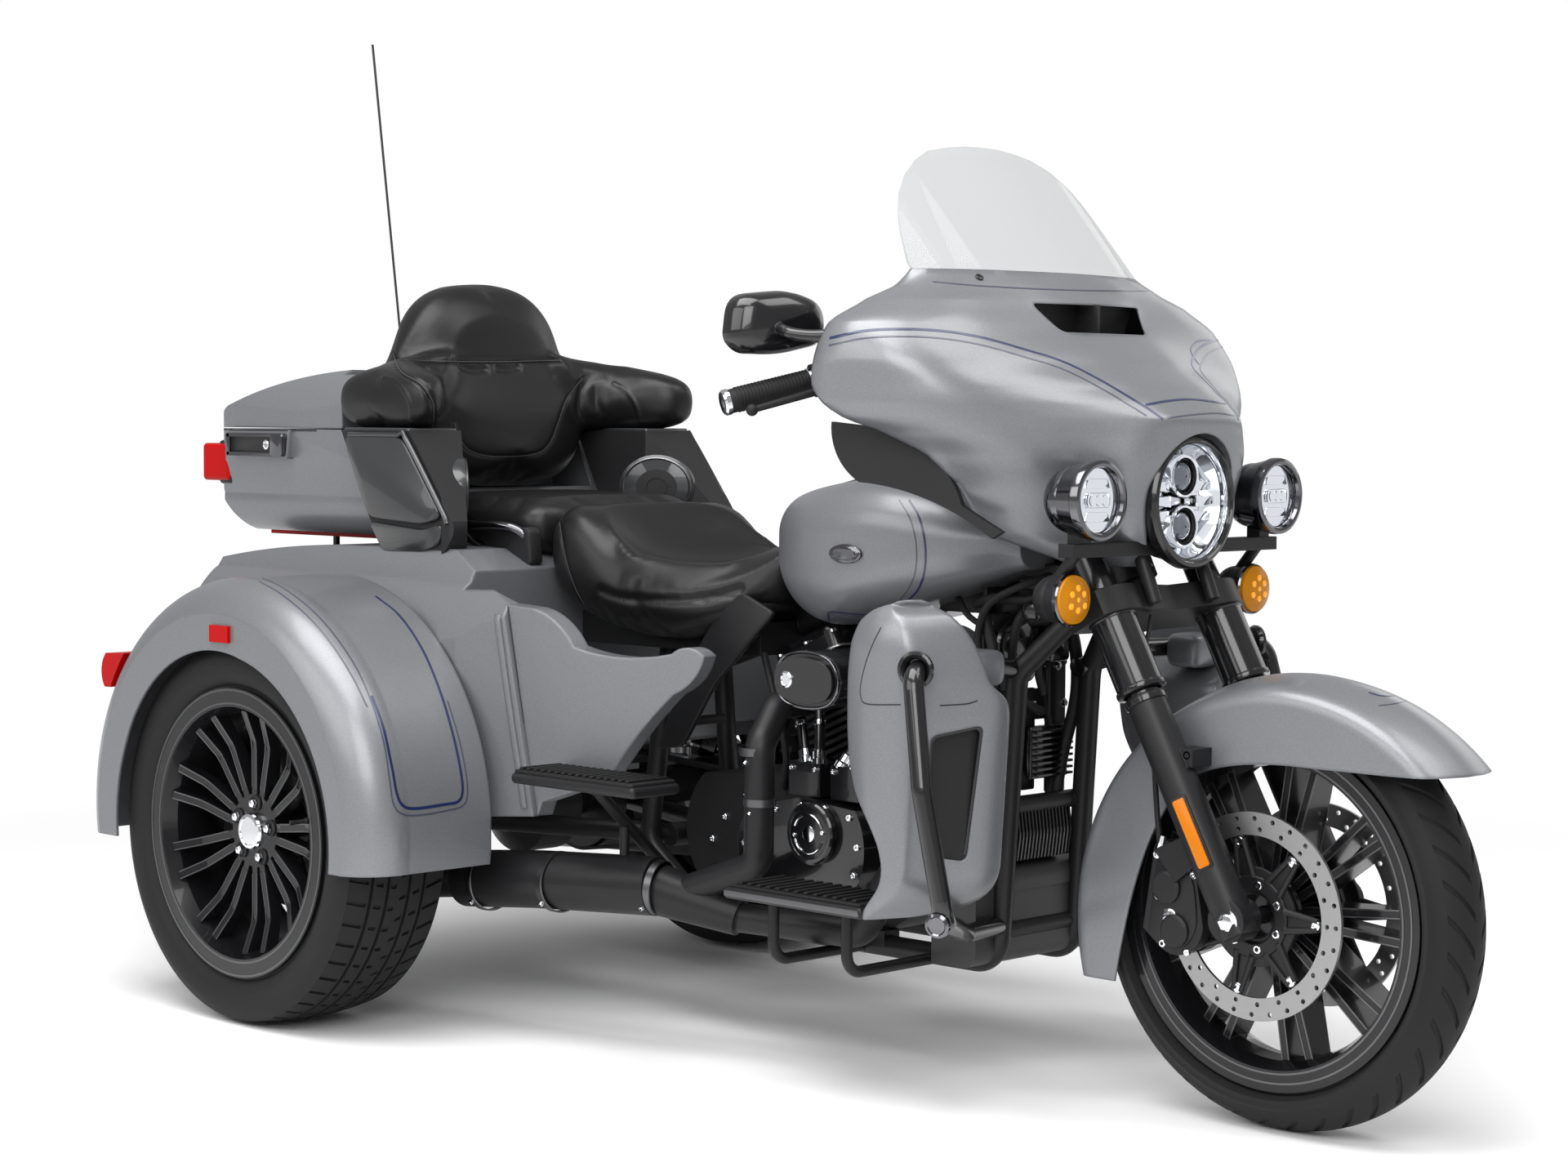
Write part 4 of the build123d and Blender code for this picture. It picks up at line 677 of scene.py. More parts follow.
def level_at(table: Sequence[Flat], place: float) -> float:
    """Reads a table of (place, level) between its rows."""
    for (a, low), (b, high) in zip(table, table[1:]):
        if place <= b:
            return low + (high - low) * (place - a) / (b - a)
    return table[-1][1]


def basis(axis: Spot) -> tuple[Vector, Vector, Vector]:
    """Two directions square to an axis, and the axis itself."""
    along = Vector(axis).normalized()
    side = along.cross(Vector(UPWARD) if abs(along.z) < 0.9 else Vector(FORWARD)).normalized()
    return side, along.cross(side), along


class Shape:
    """Gathers closed shapes of one finish, in millimetres from a station, into one piece."""

    def __init__(
        self, name: str, finish: Finish, body: Body = Body.CHASSIS, station: Station = Station.REAR_AXLE
    ) -> None:
        """Starts an empty piece."""
        self.name, self.finish, self.body, self.station = name, finish, body, station
        self.mesh = bmesh.new()

    @classmethod
    def on_fork(cls, name: str, finish: Finish) -> Shape:
        """Starts a piece that turns with the fork, measured from the front axle."""
        return cls(name, finish, Body.STEERING, Station.FRONT_AXLE)

    @staticmethod
    def finish_all(*shapes: Shape, both: bool = False) -> None:
        """Finishes several pieces in order, with their copies on the other side if both is set."""
        for shape in shapes:
            (shape.mirror() if both else shape).done()

    def point(self, p: Spot) -> bmesh.types.BMVert:
        """Adds one vertex."""
        return self.mesh.verts.new(self.station.at(*p))

    def rings(self, rows: Sequence[Sequence[Spot]]) -> list[list[bmesh.types.BMVert]]:
        """Adds rings of points and the faces between each two, and returns their vertices."""
        made = [[self.point(p) for p in row] for row in rows]
        count = len(made[0])
        for a, b in zip(made, made[1:]):
            for i in range(count):
                k = (i + 1) % count
                self.mesh.faces.new((a[i], a[k], b[k], b[i]))
        return made

    def rows(self, rows: Sequence[Sequence[Spot]], capped: bool = True) -> Shape:
        """Adds a skin through rings of points.

        Args:
            rows: Rings of the same length.
            capped: Whether the first and last ring get a face.

        Returns:
            The shape itself.
        """
        made = self.rings(rows)
        if capped:
            self.mesh.faces.new(list(reversed(made[0])))
            self.mesh.faces.new(made[-1])
        return self

    def lathe(self, profile: Sequence[Flat], centre: Spot, axis: Spot = LEFTWARD, segments: int = 40,
              flatten: float = 1.0) -> Shape:
        """Turns a profile of (radius, place along the axis) about an axis.

        Args:
            profile: The profile's points.
            centre: Where place 0 lies.
            axis: Direction of the axis.
            segments: Faces round the axis.
            flatten: Height of the ring against its width.

        Returns:
            The shape itself.
        """
        side, up, along = basis(axis)
        origin = Vector(centre)
        rings = []
        for radius, place in profile:
            ring = []
            for k in range(segments):
                a = math.tau * k / segments
                ring.append(
                    origin + along * place + (side * math.cos(a) + up * math.sin(a) * flatten) * max(radius, 1e-4)
                )
            rings.append(ring)
        hollow = profile[0][0] > 0 and profile[-1][0] > 0
        return self.rows(rings + rings[:1] if hollow else rings, capped=False)

    def tube(self, points: Sequence[Spot], radius: float, sides: int = 12, end_radius: float | None = None,
             closed: bool = False) -> Shape:
        """Adds a round bar along points.

        Args:
            points: Points of the middle line.
            radius: Radius at the start.
            sides: Faces round the bar.
            end_radius: Radius at the end, if it tapers.
            closed: Whether the bar is a ring.

        Returns:
            The shape itself.
        """
        line = [Vector(p) for p in points]
        count = len(line)
        tangents = []
        for i in range(count):
            ahead = line[(i + 1) % count] if closed or i < count - 1 else line[i]
            behind = line[i - 1] if closed or i else line[i]
            tangents.append((ahead - behind).normalized())
        side = basis(tangents[0])[0]
        rings = []
        for i, (place, along) in enumerate(zip(line, tangents)):
            side = (side - along * side.dot(along)).normalized()
            up = along.cross(side)
            size = radius if end_radius is None else radius + (end_radius - radius) * i / (count - 1)
            turns = [math.tau * k / sides for k in range(sides)]
            rings.append([place + (side * math.cos(a) + up * math.sin(a)) * size for a in turns])
        if closed:
            rings.append(rings[0])
        return self.rows(rings, capped=not closed)

    def hose(self, points: Sequence[Spot], step: float, radius: float, sides: int = 10,
             end_radius: float | None = None) -> Shape:
        """Adds a round bar on a smooth line through points, in pieces no longer than a step."""
        return self.tube(smooth_path(points, step), radius, sides, end_radius)

    def prism(self, outline: Sequence[Flat], low: float, high: float, plane: str = "XZ", bevel: float = 0.0,
              place: Callable[[float, float, float], Spot] | None = None) -> Shape:
        """Adds a flat outline made solid between two levels.

        Args:
            outline: The outline's corners.
            low: First level.
            high: Second level.
            plane: Plane of the outline: XZ, XY or YZ.
            bevel: How far the edges of both faces are turned in.
            place: Own mapping of (a, b, level) to a point, in place of the plane.

        Returns:
            The shape itself.
        """
        turn = place or {
            "XZ": lambda a, b, t: (a, t, b), "XY": lambda a, b, t: (a, b, t), "YZ": lambda a, b, t: (t, a, b)
        }[plane]
        middle = Vector((sum(p[0] for p in outline) / len(outline), sum(p[1] for p in outline) / len(outline)))
        sign = 1.0 if high > low else -1.0

        def ring(level: float, inset: float) -> list[Spot]:
            """One ring of the outline, drawn in towards its middle."""
            found = []
            for p in outline:
                away = Vector(p) - middle
                drawn = middle + away * max(0.0, 1 - inset / max(away.length, 1e-6))
                found.append(turn(drawn.x, drawn.y, level))
            return found

        if bevel:
            levels = ((low, bevel), (low + sign * bevel * 0.35, bevel * 0.3), (low + sign * bevel, 0.0),
                      (high - sign * bevel, 0.0), (high - sign * bevel * 0.35, bevel * 0.3), (high, bevel))
        else:
            levels = ((low, 0.0), (high, 0.0))
        return self.rows([ring(*level) for level in levels])

    def box(self, low: Spot, high: Spot, bevel: float = 1.5) -> Shape:
        """Adds a box with turned-in edges between two corners."""
        corners = rounded(rectangle(low[0], low[1], high[0], high[1]), bevel * 1.6, 3)
        return self.prism(corners, low[2], high[2], "XY", bevel)

    def bolt(self, place: Spot, axis: Spot, radius: float, height: float, socket: bool = True) -> Shape:
        """Adds a screw head with a hexagonal socket, or a hexagon head with its washer.

        Args:
            place: Where the head sits.
            axis: Which way it looks.
            radius: Radius of the head.
            height: Height of the head.
            socket: Whether it is a socket screw.

        Returns:
            The shape itself.
        """
        if socket:
            return self.lathe(
                (
                    (0, -1), (radius, -1), (radius, height * 0.8), (radius * 0.86, height), (radius * 0.55, height),
                    (radius * 0.5, height * 0.4), (0, height * 0.36)
                ),
                place, axis, 18
            )
        self.lathe(
            ((0, -1), (radius * 1.35, -1), (radius * 1.35, height * 0.22), (radius, height * 0.25), (0, height * 0.25)),
            place, axis, 20
        )
        return self.lathe(
            (
                (0, height * 0.2), (radius * 1.05, height * 0.2), (radius * 1.05, height * 0.85),
                (radius * 0.85, height), (0, height)
            ),
            place, axis, 6
        )

    def mirror(self) -> Shape:
        """Adds the same shapes on the other side of the vehicle."""
        copied = bmesh.ops.duplicate(
            self.mesh, geom=self.mesh.verts[:] + self.mesh.edges[:] + self.mesh.faces[:]
        )["geom"]
        for item in copied:
            if isinstance(item, bmesh.types.BMVert):
                item.co.y = -item.co.y
        return self

    def done(self, crease_deg: float = 34.0, replaces: Sequence[str] = (), level: int = 0) -> bpy.types.Object:
        """Finishes the piece.

        Args:
            crease_deg: Edges sharper than this stay sharp.
            replaces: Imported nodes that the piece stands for.
            level: Subdivision steps.

        Returns:
            The piece's object.
        """
        bmesh.ops.remove_doubles(self.mesh, verts=self.mesh.verts[:], dist=1e-6)
        bmesh.ops.dissolve_degenerate(self.mesh, edges=self.mesh.edges[:], dist=1e-7)
        bmesh.ops.recalc_face_normals(self.mesh, faces=self.mesh.faces[:])
        data = bpy.data.meshes.new(self.name)
        self.mesh.to_mesh(data)
        self.mesh.free()
        piece = bpy.data.objects.new(self.name, data)
        bpy.context.scene.collection.objects.link(piece)
        data.materials.append(self.finish.material())
        if level:
            divide = piece.modifiers.new("divide", "SUBSURF")
            divide.levels = divide.render_levels = level
            apply_modifiers(piece)
        shade(piece, crease_deg)
        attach(piece, self.body.value)
        if replaces:
            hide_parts(*replaces)
        log.info("piece %s", self.name)
        return piece


def apply_modifiers(piece: bpy.types.Object) -> None:
    """Makes a piece's modifiers part of its mesh."""
    depsgraph = bpy.context.evaluated_depsgraph_get()
    mesh = bpy.data.meshes.new_from_object(piece.evaluated_get(depsgraph))
    old = piece.data
    piece.modifiers.clear()
    piece.data = mesh
    if old.users == 0:
        bpy.data.meshes.remove(old)


class Skin:
    """The surface of some objects, on which trim is laid."""

    def __init__(self, *objects: bpy.types.Object) -> None:
        """Gathers the surface of the objects as they stand."""
        points, faces = [], []
        depsgraph = bpy.context.evaluated_depsgraph_get()
        for item in objects:
            mesh = item.evaluated_get(depsgraph).to_mesh()
            start = len(points)
            points += [item.matrix_world @ v.co for v in mesh.vertices]
            faces += [tuple(start + k for k in face.vertices) for face in mesh.polygons]
        self.tree = BVHTree.FromPolygons(points, faces)

    def cast(self, start: Vector, direction: Vector) -> tuple[Vector, Vector] | None:
        """Where a ray first meets the surface, and its normal there."""
        place, normal, _, _ = self.tree.ray_cast(start, direction)
        if place is None:
            return None
        return place, normal if normal.dot(direction) < 0 else -normal

    def seen(self, marks: Sequence[Flat], step: float = 5.0, closed: bool = False) -> Trace:
        """Lays a smooth line of view marks on the surface.

        Args:
            marks: Marks across and down the camera's view, which is 1920 by 1440.
            step: Longest piece in the view.
            closed: Whether the line is a ring.

        Returns:
            Place and normal of each point that meets the surface.
        """
        line = smooth_path(marks, step, closed)
        found = [self.cast(Vector(Studio.eye) * MM, Studio.sight(mark.x, mark.y)) for mark in line]
        return [hit for hit in found if hit]

    def side(self, marks: Sequence[Flat], station: Station, step: float = 8.0, sign: int = -1) -> Trace:
        """Lays a smooth side-view line of (x, z) on the surface, from the right or left."""
        start = [station.at(mark.x, sign * 1500.0, mark.y) for mark in smooth_path(marks, step)]
        return [hit for hit in (self.cast(p, Vector((0, -sign, 0))) for p in start) if hit]


def band(shape: Shape, line: Trace, width: float, lift: float = 0.5, skin: Skin | None = None,
         both: bool = True) -> None:
    """Adds a thin painted line or seam on a surface to a shape.

    Args:
        shape: The shape it goes into.
        line: Place and normal of its points, in metres.
        width: Width in millimetres.
        lift: How far it stands off the surface, in millimetres.
        skin: Surface that its edges are drawn to.
        both: Whether the other side gets the same.
    """
    if len(line) < 3:
        return
    rows = []
    section = ((-0.5, -0.8), (-0.5, lift), (0.0, lift * 1.25), (0.5, lift), (0.5, -0.8))
    for i, (place, normal) in enumerate(line):
        along = (line[min(i + 1, len(line) - 1)][0] - line[max(i - 1, 0)][0]).normalized()
        across = along.cross(normal).normalized()
        row = []
        for share, rise in section:
            spot, up = place + across * width * MM * share, normal
            if skin is not None:
                near, near_normal, _, _ = skin.tree.find_nearest(spot)
                if near is not None and (near - spot).length < 0.01:
                    up = near_normal if near_normal.dot(normal) > 0 else -near_normal
                    spot = near
            row.append(spot + up * rise * MM)
        rows.append(row)
    back = shape.station.at(0, 0, 0)
    for sign in ((1, -1) if both else (1,)):
        shape.rows([[((p.x - back.x) / MM, p.y * sign / MM, p.z / MM) for p in row] for row in rows])


@dataclass(frozen=True)
class Line:
    """A painted line, as marks of the camera's view.

    Attributes:
        marks: Marks along the line.
        width: Width in millimetres.
        both: Whether the other side gets the same.
        step: Longest piece in the view.
    """

    marks: tuple[Flat, ...]
    width: float
    both: bool = True
    step: float = 4.0


def paint(name: str, finish: Finish, skin: Skin, lines: Sequence[Line], body: Body = Body.CHASSIS) -> None:
    """Makes one piece of lines that are painted on a surface.

    Args:
        name: Name of the piece.
        finish: Its finish.
        skin: The surface.
        lines: The lines.
        body: Body that it rides on.
    """
    shape = Shape(name, finish, body)
    for line in lines:
        band(shape, skin.seen(line.marks, line.step), line.width, skin=skin, both=line.both)
    shape.done()


# ------------------------------------------------------------------ wheels
@dataclass
class Tyre:
    """A tyre with moulded grooves.

    Attributes:
        name: Name of the piece.
        node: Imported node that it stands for.
        body: Body that it turns with.
        station: Axle that it is on.
        centre: Middle of the wheel, measured from the axle.
        radius: Rolling radius.
        half: Half width of the wall.
        tread_half: Half width of the tread.
        crown: Drop of the tread from its middle to its edge.
        bead: Radius of the bead.
        rim_half: Half width between the beads.
        units: Repeats of the pattern round the wheel.
        columns: Places across one repeat.
        groove: Share of a repeat that a groove takes, from and to.
        cuts: Widths (from, to) that the grooves cross.
        rings: Places of the grooves that run round the wheel.
        slant: Repeats that a groove leans over the half width.
        shift: Repeats between the patterns of both halves.
        depth: Depth of the grooves.
    """

    name: str
    node: str
    body: Body
    station: Station
    centre: Point
    radius: float
    half: float
    tread_half: float
    crown: float
    bead: float
    rim_half: float
    units: int
    groove: Flat
    cuts: tuple[Flat, ...]
    rings: tuple[float, ...] = ()
    slant: float = 0.8
    shift: float = 0.5
    depth: float = 4.0
    columns: tuple[float, ...] = (0.0, 0.15, 0.32, 0.5, 0.66, 0.83)

    def section(self) -> list[tuple[float, float, bool]]:
        """Radius, width and whether it is tread, from bead to bead."""
        shoulder = self.radius - self.crown
        wall_r = (self.bead + shoulder) / 2 + 8
        curve = (self.tread_half ** 2 + self.crown ** 2) / (2 * self.crown)
        stops = {0.0, self.tread_half}
        for low, high in self.cuts:
            stops |= {low, low + 1.2, high - 1.2, high}
        for ring in self.rings:
            stops |= {ring - 3.4, ring - 2.6, ring + 2.6, ring + 3.4}
        stops |= {self.tread_half * k / 8 for k in range(9)}
        ordered = sorted(s for s in stops if 0 <= s <= self.tread_half)
        kept = [s for i, s in enumerate(ordered) if i == 0 or s - ordered[i - 1] > 0.5]
        right = []
        steps = 12
        bead_top = self.bead + 19
        for k in range(steps + 1):
            t = k / steps
            r = arched(bead_top, wall_r, shoulder, t)
            y = arched(self.rim_half, self.half, self.tread_half, t)
            ridge = 0.9 if k in (4, 9) else 0.0
            right.append((r, y + ridge, False))
        right = [(self.bead, self.rim_half, False)] + right[:-1]
        right += [(self.radius - curve + math.sqrt(curve ** 2 - s ** 2), s, True) for s in reversed(kept)]
        return [(r, -y, tread) for r, y, tread in right] + [(r, y, tread) for r, y, tread in reversed(right[:-1])]

    def sink(self, share: float, width: float) -> float:
        """How deep the tread is at a share of the repeat and a width."""
        flat = abs(width)
        for ring in self.rings:
            if abs(flat - ring) < 2.8:
                return self.depth
        if self.groove[0] <= share <= self.groove[1]:
            for low, high in self.cuts:
                if low + 0.6 < flat < high - 0.6:
                    return self.depth * 0.8
        return 0.0

    def build(self) -> bpy.types.Object:
        """Makes the tyre."""
        shape = Shape(self.name, TYRE_RUBBER, self.body, self.station)
        g0, g1 = self.groove
        shares = sorted({*self.columns, g0 - 0.012, g0 + 0.012, g1 - 0.012, g1 + 0.012})
        shares = [s for s in shares if not (g0 + 0.02 < s < g1 - 0.02)]
        section = self.section()
        cx, cy, cz = self.centre
        rows = []
        for unit in range(self.units):
            for share in shares:
                inside = g0 < share < g1
                row = []
                for r, y, tread in section:
                    lean = self.slant * min(abs(y), self.tread_half) / self.tread_half
                    lean += self.shift * 0.5 * (1 + max(-1.0, min(1.0, y / 6.0)))
                    a = math.tau * (unit + share + lean) / self.units
                    r = r - (self.sink(share if inside else -1.0, y) if tread else 0.0)
                    row.append((cx + r * math.cos(a), cy + y, cz + r * math.sin(a)))
                rows.append(row)
        rows.append(rows[0])
        shape.rows(rows, capped=False)
        return shape.done(crease_deg=28, replaces=(self.node,))


@dataclass
class Wheels:
    """Tyres, hub trim, discs, brakes and the front mudguard.

    Attributes:
        front_z: Height of the front axle.
        rear_y: Place of the rear wheels' middle.
        rear_z: Height of the rear axle.
        disc_face: Outer face of the front discs.
        caliper_face: Outer face of the right caliper.
        fork_y: Place of the right fork leg.
        rake_deg: Lean of the fork.
        guard_navy: The mudguard's dark lines.
        guard_grey: The mudguard's thin line.
    """

    front_z: float = 319.0
    rear_y: float = 560.0
    rear_z: float = 325.0
    disc_face: float = 84.2
    caliper_face: float = -109.2
    fork_y: float = -128.0
    rake_deg: float = 28.5
    guard_navy: tuple[Line, ...] = (
        Line(((1500, 806), (1540, 797), (1590, 795), (1640, 808), (1690, 833), (1724, 848)), 3.0),
        Line(((1676, 848), (1692, 852), (1710, 851), (1730, 846), (1737, 842)), 3.6, both=False),
    )
    guard_grey: tuple[Line, ...] = (Line(((1688, 864), (1705, 862), (1725, 858), (1745, 856)), 2.0, both=False),)

    def tyres(self) -> None:
        """Makes the three tyres."""
        Tyre("front_tyre_grooved", "front_tyre", Body.FRONT_WHEEL, Station.FRONT_AXLE, (0.0, 0.0, self.front_z),
             radius=319, half=65, tread_half=55, crown=34, bead=241, rim_half=44,
             units=38, groove=(0.2, 0.42), cuts=((7.0, 46.0),), slant=1.5, depth=5.0).build()
        for side, body in ((Side.RIGHT, Body.RIGHT_WHEEL), (Side.LEFT, Body.LEFT_WHEEL)):
            word = side.name.lower()
            Tyre(
                "rear_tyre_blocks_" + word, "rear_tyre_" + word, body, Station.REAR_AXLE,
                (0, side.value * self.rear_y, self.rear_z), radius=325, half=107.5, tread_half=97.5, crown=9,
                bead=228.5, rim_half=92, units=52, groove=(0.2, 0.36), cuts=((4.0, 17.0), (31.0, 46.0), (60.0, 96.5)),
                rings=(22.0, 54.0), slant=0.55, shift=0.5, depth=5.5
            ).build()

    def hubs(self) -> None:
        """Makes wheel nuts, hub caps, valves and the front hub's bolts."""
        for side, body in ((Side.RIGHT, Body.RIGHT_WHEEL), (Side.LEFT, Body.LEFT_WHEEL)):
            s, word = side.value, side.name.lower()
            face, out = s * (self.rear_y + 58), (0, s, 0)
            nuts = Shape("rear_nuts_" + word, CHROME, body)
            recess = Shape("rear_nut_seats_" + word, SATIN_BLACK, body)
            for k in range(5):
                a = math.tau * (k + 0.15) / 5
                place = upright((0, self.rear_z), 48, a, face)
                recess.lathe(((14, -2), (14, 3), (12, 3.6), (11, 1.4), (0, 1.2)), place, out, 24)
                nuts.lathe(((0, 0), (8.6, 0), (8.6, 9), (7, 12), (5.5, 13), (0, 13.6)), place, out, 6)
            Shape.finish_all(nuts, recess)
            cap = Shape("rear_cap_" + word, CHROME, body)
            cap.lathe(
                ((30.5, -2), (31, 8), (29, 12), (24, 13), (23, 11.6), (10, 12.6), (0, 12.8)), (0, face, self.rear_z),
                out, 48
            )
            cap.done(crease_deg=24)
            lip = Shape("rear_rim_line_" + word, STEEL_DARK, body)
            for radius, place in ((218.0, 100.2), (240.5, 100.4)):
                lip.lathe(
                    ((radius - 1.6, -1), (radius - 1.6, 0.5), (radius + 1.6, 0.5), (radius + 1.6, -1)),
                    (0, s * (self.rear_y + place - 0.3), self.rear_z), out, 96
                )
            lip.done()
            valve = Shape("rear_valve_" + word, RUBBER, body)
            valve.lathe(
                ((5, 0), (5, 12), (3.6, 14), (3.6, 30), (4.2, 31), (4.2, 38), (0, 38.5)),
                (198, s * (self.rear_y + 84), self.rear_z + 40), (-0.4, s * 0.9, -0.1), 14
            )
            valve.done()
        chrome = Shape("front_hub_bolts", CHROME, Body.FRONT_WHEEL, Station.FRONT_AXLE)
        dark = Shape("front_disc_carriers", SATIN_BLACK, Body.FRONT_WHEEL, Station.FRONT_AXLE)
        for s in BOTH_SIDES:
            face, hub = s * self.disc_face, (0, self.front_z)
            for k in range(7):
                a = math.tau * k / 7
                chrome.bolt(upright(hub, 108, a, face), (0, s, 0), 7.5, 3.2)
                chrome.bolt(upright(hub, 47, a + 0.45, face), (0, s, 0), 6.2, 5.0)
                for lean in (-0.16, 0.16):
                    foot = upright(hub, 56, a + lean * 1.6, face + s * 0.4)
                    tip = upright(hub, 112, a + lean * 0.35, face + s * 0.4)
                    dark.tube((foot, tip), 5.5, 8, 4.2)
            dark.lathe(
                ((38, 0), (58, 0), (60, 1.5), (58, 3.4), (40, 3.4), (38, 1.5)), (0, face - s * 0.4, self.front_z),
                (0, s, 0), 56
            )
        Shape.finish_all(chrome, dark)

    def spoke_lines(self) -> None:
        """Lays the bright machined edges along the forked spokes and round the rims."""
        rear = (62.0, 205.0, 9.0, 26.0, 7.0, ((70, 58), (150, 62), (206, 86)))
        front = (42.0, 217.0, 7.0, 21.0, 6.5, ((28, 40), (67, 34), (219, 22)))
        sets = (
            (Body.RIGHT_WHEEL, Station.REAR_AXLE, self.rear_z, ((-1, -self.rear_y),), rear),
            (Body.LEFT_WHEEL, Station.REAR_AXLE, self.rear_z, ((1, self.rear_y),), rear),
            (Body.FRONT_WHEEL, Station.FRONT_AXLE, self.front_z, ((-1, 0.0), (1, 0.0)), front),
        )
        for body, station, height, faces, sizes in sets:
            hub, rim, root, gap, half, dish = sizes
            shape = Shape("spoke_edges_" + body.value, STEEL_DARK, body, station)
            for sign, centre in faces:
                for k in range(18):
                    turn, lean = math.tau * (k // 2) / 9, 1 if k % 2 else -1
                    for edge in (-1, 1):
                        rows = []
                        for step in range(9):
                            share = 0.14 + 0.84 * step / 8
                            reach = hub - 12 + (rim - hub + 12) * share
                            across = lean * (root + (gap - root) * share) + edge * (half - 0.9)
                            face = level_at(dish, math.hypot(reach, across))
                            row = []
                            for shift, rise in ((-1.0, -1.0), (-1.0, 0.5), (1.0, 0.5), (1.0, -1.0)):
                                u, v = reach, across + shift
                                row.append(
                                    (
                                        u * math.cos(turn) - v * math.sin(turn), centre + sign * (face + rise),
                                        height + u * math.sin(turn) + v * math.cos(turn)
                                    )
                                )
                            rows.append(row)
                        shape.rows(rows)
                if body is Body.FRONT_WHEEL:
                    for radius in (230.0, 244.0):
                        shape.lathe(
                            ((radius - 1.4, -1), (radius - 1.4, 0.4), (radius + 1.4, 0.4), (radius + 1.4, -1)),
                            (0, sign * 52.2, height), (0, sign, 0), 96
                        )
            shape.done()

    def discs(self, frame: dict) -> None:
        """Keeps the friction rings bright and darkens the arms within them."""
        ring = frame["nodes"]["front_brake_discs"]
        ring.data.materials.append(SATIN_BLACK.material())
        centre = Station.FRONT_AXLE.at(0, 0, self.front_z)
        for face in ring.data.polygons:
            spot = face.center - centre
            if math.hypot(spot.x, spot.z) < 114 * MM:
                face.material_index = 1

    def on_leg(self, height: float) -> Vector:
        """The middle of the right fork leg at a height."""
        return Vector((-(height - self.front_z) * math.tan(math.radians(self.rake_deg)), self.fork_y, height))

    def brakes(self) -> None:
        """Makes the calipers' bolts and covers, the fork's reflectors and collars, and the axle ends."""
        chrome = Shape.on_fork("caliper_bolts", CHROME)
        for x, z, r in (
            (-152, 395, 6), (-146, 358, 6.5), (-150, 334, 5), (-86, 372, 6), (-140, 266, 5.5), (-96, 258, 5)
        ):
            chrome.bolt((x, self.caliper_face, z), RIGHTWARD, r, 4.2)
        chrome.lathe(((13, -2), (13, 3), (11, 4.2), (0, 4.6)), (-128, self.caliper_face, 306), RIGHTWARD, 32)
        chrome.bolt((4, -150.4, self.front_z), RIGHTWARD, 13, 8, socket=False)
        chrome.bolt((-84, -128, 547), RIGHTWARD, 7, 6)
        chrome.mirror().done()
        pads = Shape.on_fork("caliper_bodies", CASE_BLACK)
        body = rounded(((-168, 282), (-152, 400), (-118, 398), (-86, 366), (-78, 296), (-100, 262), (-148, 262)), 20, 4)
        pads.prism(body, -104, -112, bevel=3)
        for x, z in ((-132, 350), (-116, 288)):
            pads.lathe(((24, 0), (24, 6), (20, 9), (0, 9.5)), (x, -111, z), RIGHTWARD, 30)
        pads.mirror().done()
        rake = math.radians(self.rake_deg)
        along = Vector((math.sin(-rake), 0, math.cos(-rake)))
        lens = Shape.on_fork("fork_reflectors", ORANGE)
        rail = Shape.on_fork("fork_reflector_frames", SATIN_BLACK)
        out = Vector((0.30, -0.954, 0)).normalized()
        across = along.cross(out).normalized()
        base = self.on_leg(440) + out * 27.0
        for shape, half, length, depth in ((lens, 9.0, 52.0, 3.4), (rail, 12.5, 56.0, 0.0)):
            outline = rounded(rectangle(-half, -length, half, length), 3, 3)
            shape.prism(
                outline, -2.0, 3.0 + depth, bevel=1.2,
                place=lambda a, b, t: tuple(base + across * a + along * b + out * t)
            )
            shape.mirror().done()
        collars = Shape.on_fork("fork_collars", GLOSS_BLACK)
        foot = self.on_leg(634)
        collars.lathe(((29.2, -4), (37, -3), (38, 0), (37.5, 5), (35, 7)), foot, along, 48)
        collars.lathe(((29, 0), (31.5, 1), (31.5, 9), (29, 10)), foot - along * 22, along, 48)
        collars.lathe(((35, -6), (37, -4), (37, 4), (35, 6)), foot + along * 116, along, 48)
        collars.mirror().done()

    def front_guard(self) -> None:
        """Makes the front mudguard's crowned shell and its painted lines."""
        guard = Shape.on_fork("front_guard_shell", SILVER)
        half_line = (
            (170, 88), (332, 88), (344, 87.2), (353, 83.5), (360, 75), (365.5, 62), (370, 46), (374.6, 26), (377.2, 12),
            (378, 0)
        )
        outer = [(r, -y) for r, y in half_line] + [(r, y) for r, y in reversed(half_line[:-1])]
        inner = [(r if r < 200 else r - 3, y * 85 / 88) for r, y in reversed(outer)]
        guard.lathe(outer + inner, (32, 0, 287), LEFTWARD, 200)
        keep = Shape.on_fork("guard_keep", SILVER)
        side = [
            *bow((309, 222), (330, 262), (320, 300), 5), (320, 300), (0, 420), (-430, 420), (-430, -126),
            *bow((-246, -126), (-212, 20), (-170, 118)), *bow((-170, 118), (-130, 178), (-104, 194), 5),
            *bow((-104, 194), (-20, 216), (91, 221)), (91, 221), (225, 221)
        ]
        keep.prism([(x, self.front_z + z) for x, z in side], -200, 200)
        shell = guard.done(crease_deg=50, replaces=("front_mudguard",))
        carve(shell, [keep.done()], "INTERSECT")
        shade(shell, 50)
        skin = Skin(shell)
        paint("front_guard_line_grey", STRIPE_GREY, skin, self.guard_grey, Body.STEERING)
        paint("front_guard_line_navy", STRIPE, skin, self.guard_navy, Body.STEERING)

    def build(self, frame: dict) -> None:
        """Builds everything that belongs to the wheels."""
        self.tyres()
        self.hubs()
        self.spoke_lines()
        self.discs(frame)
        self.brakes()
        self.front_guard()


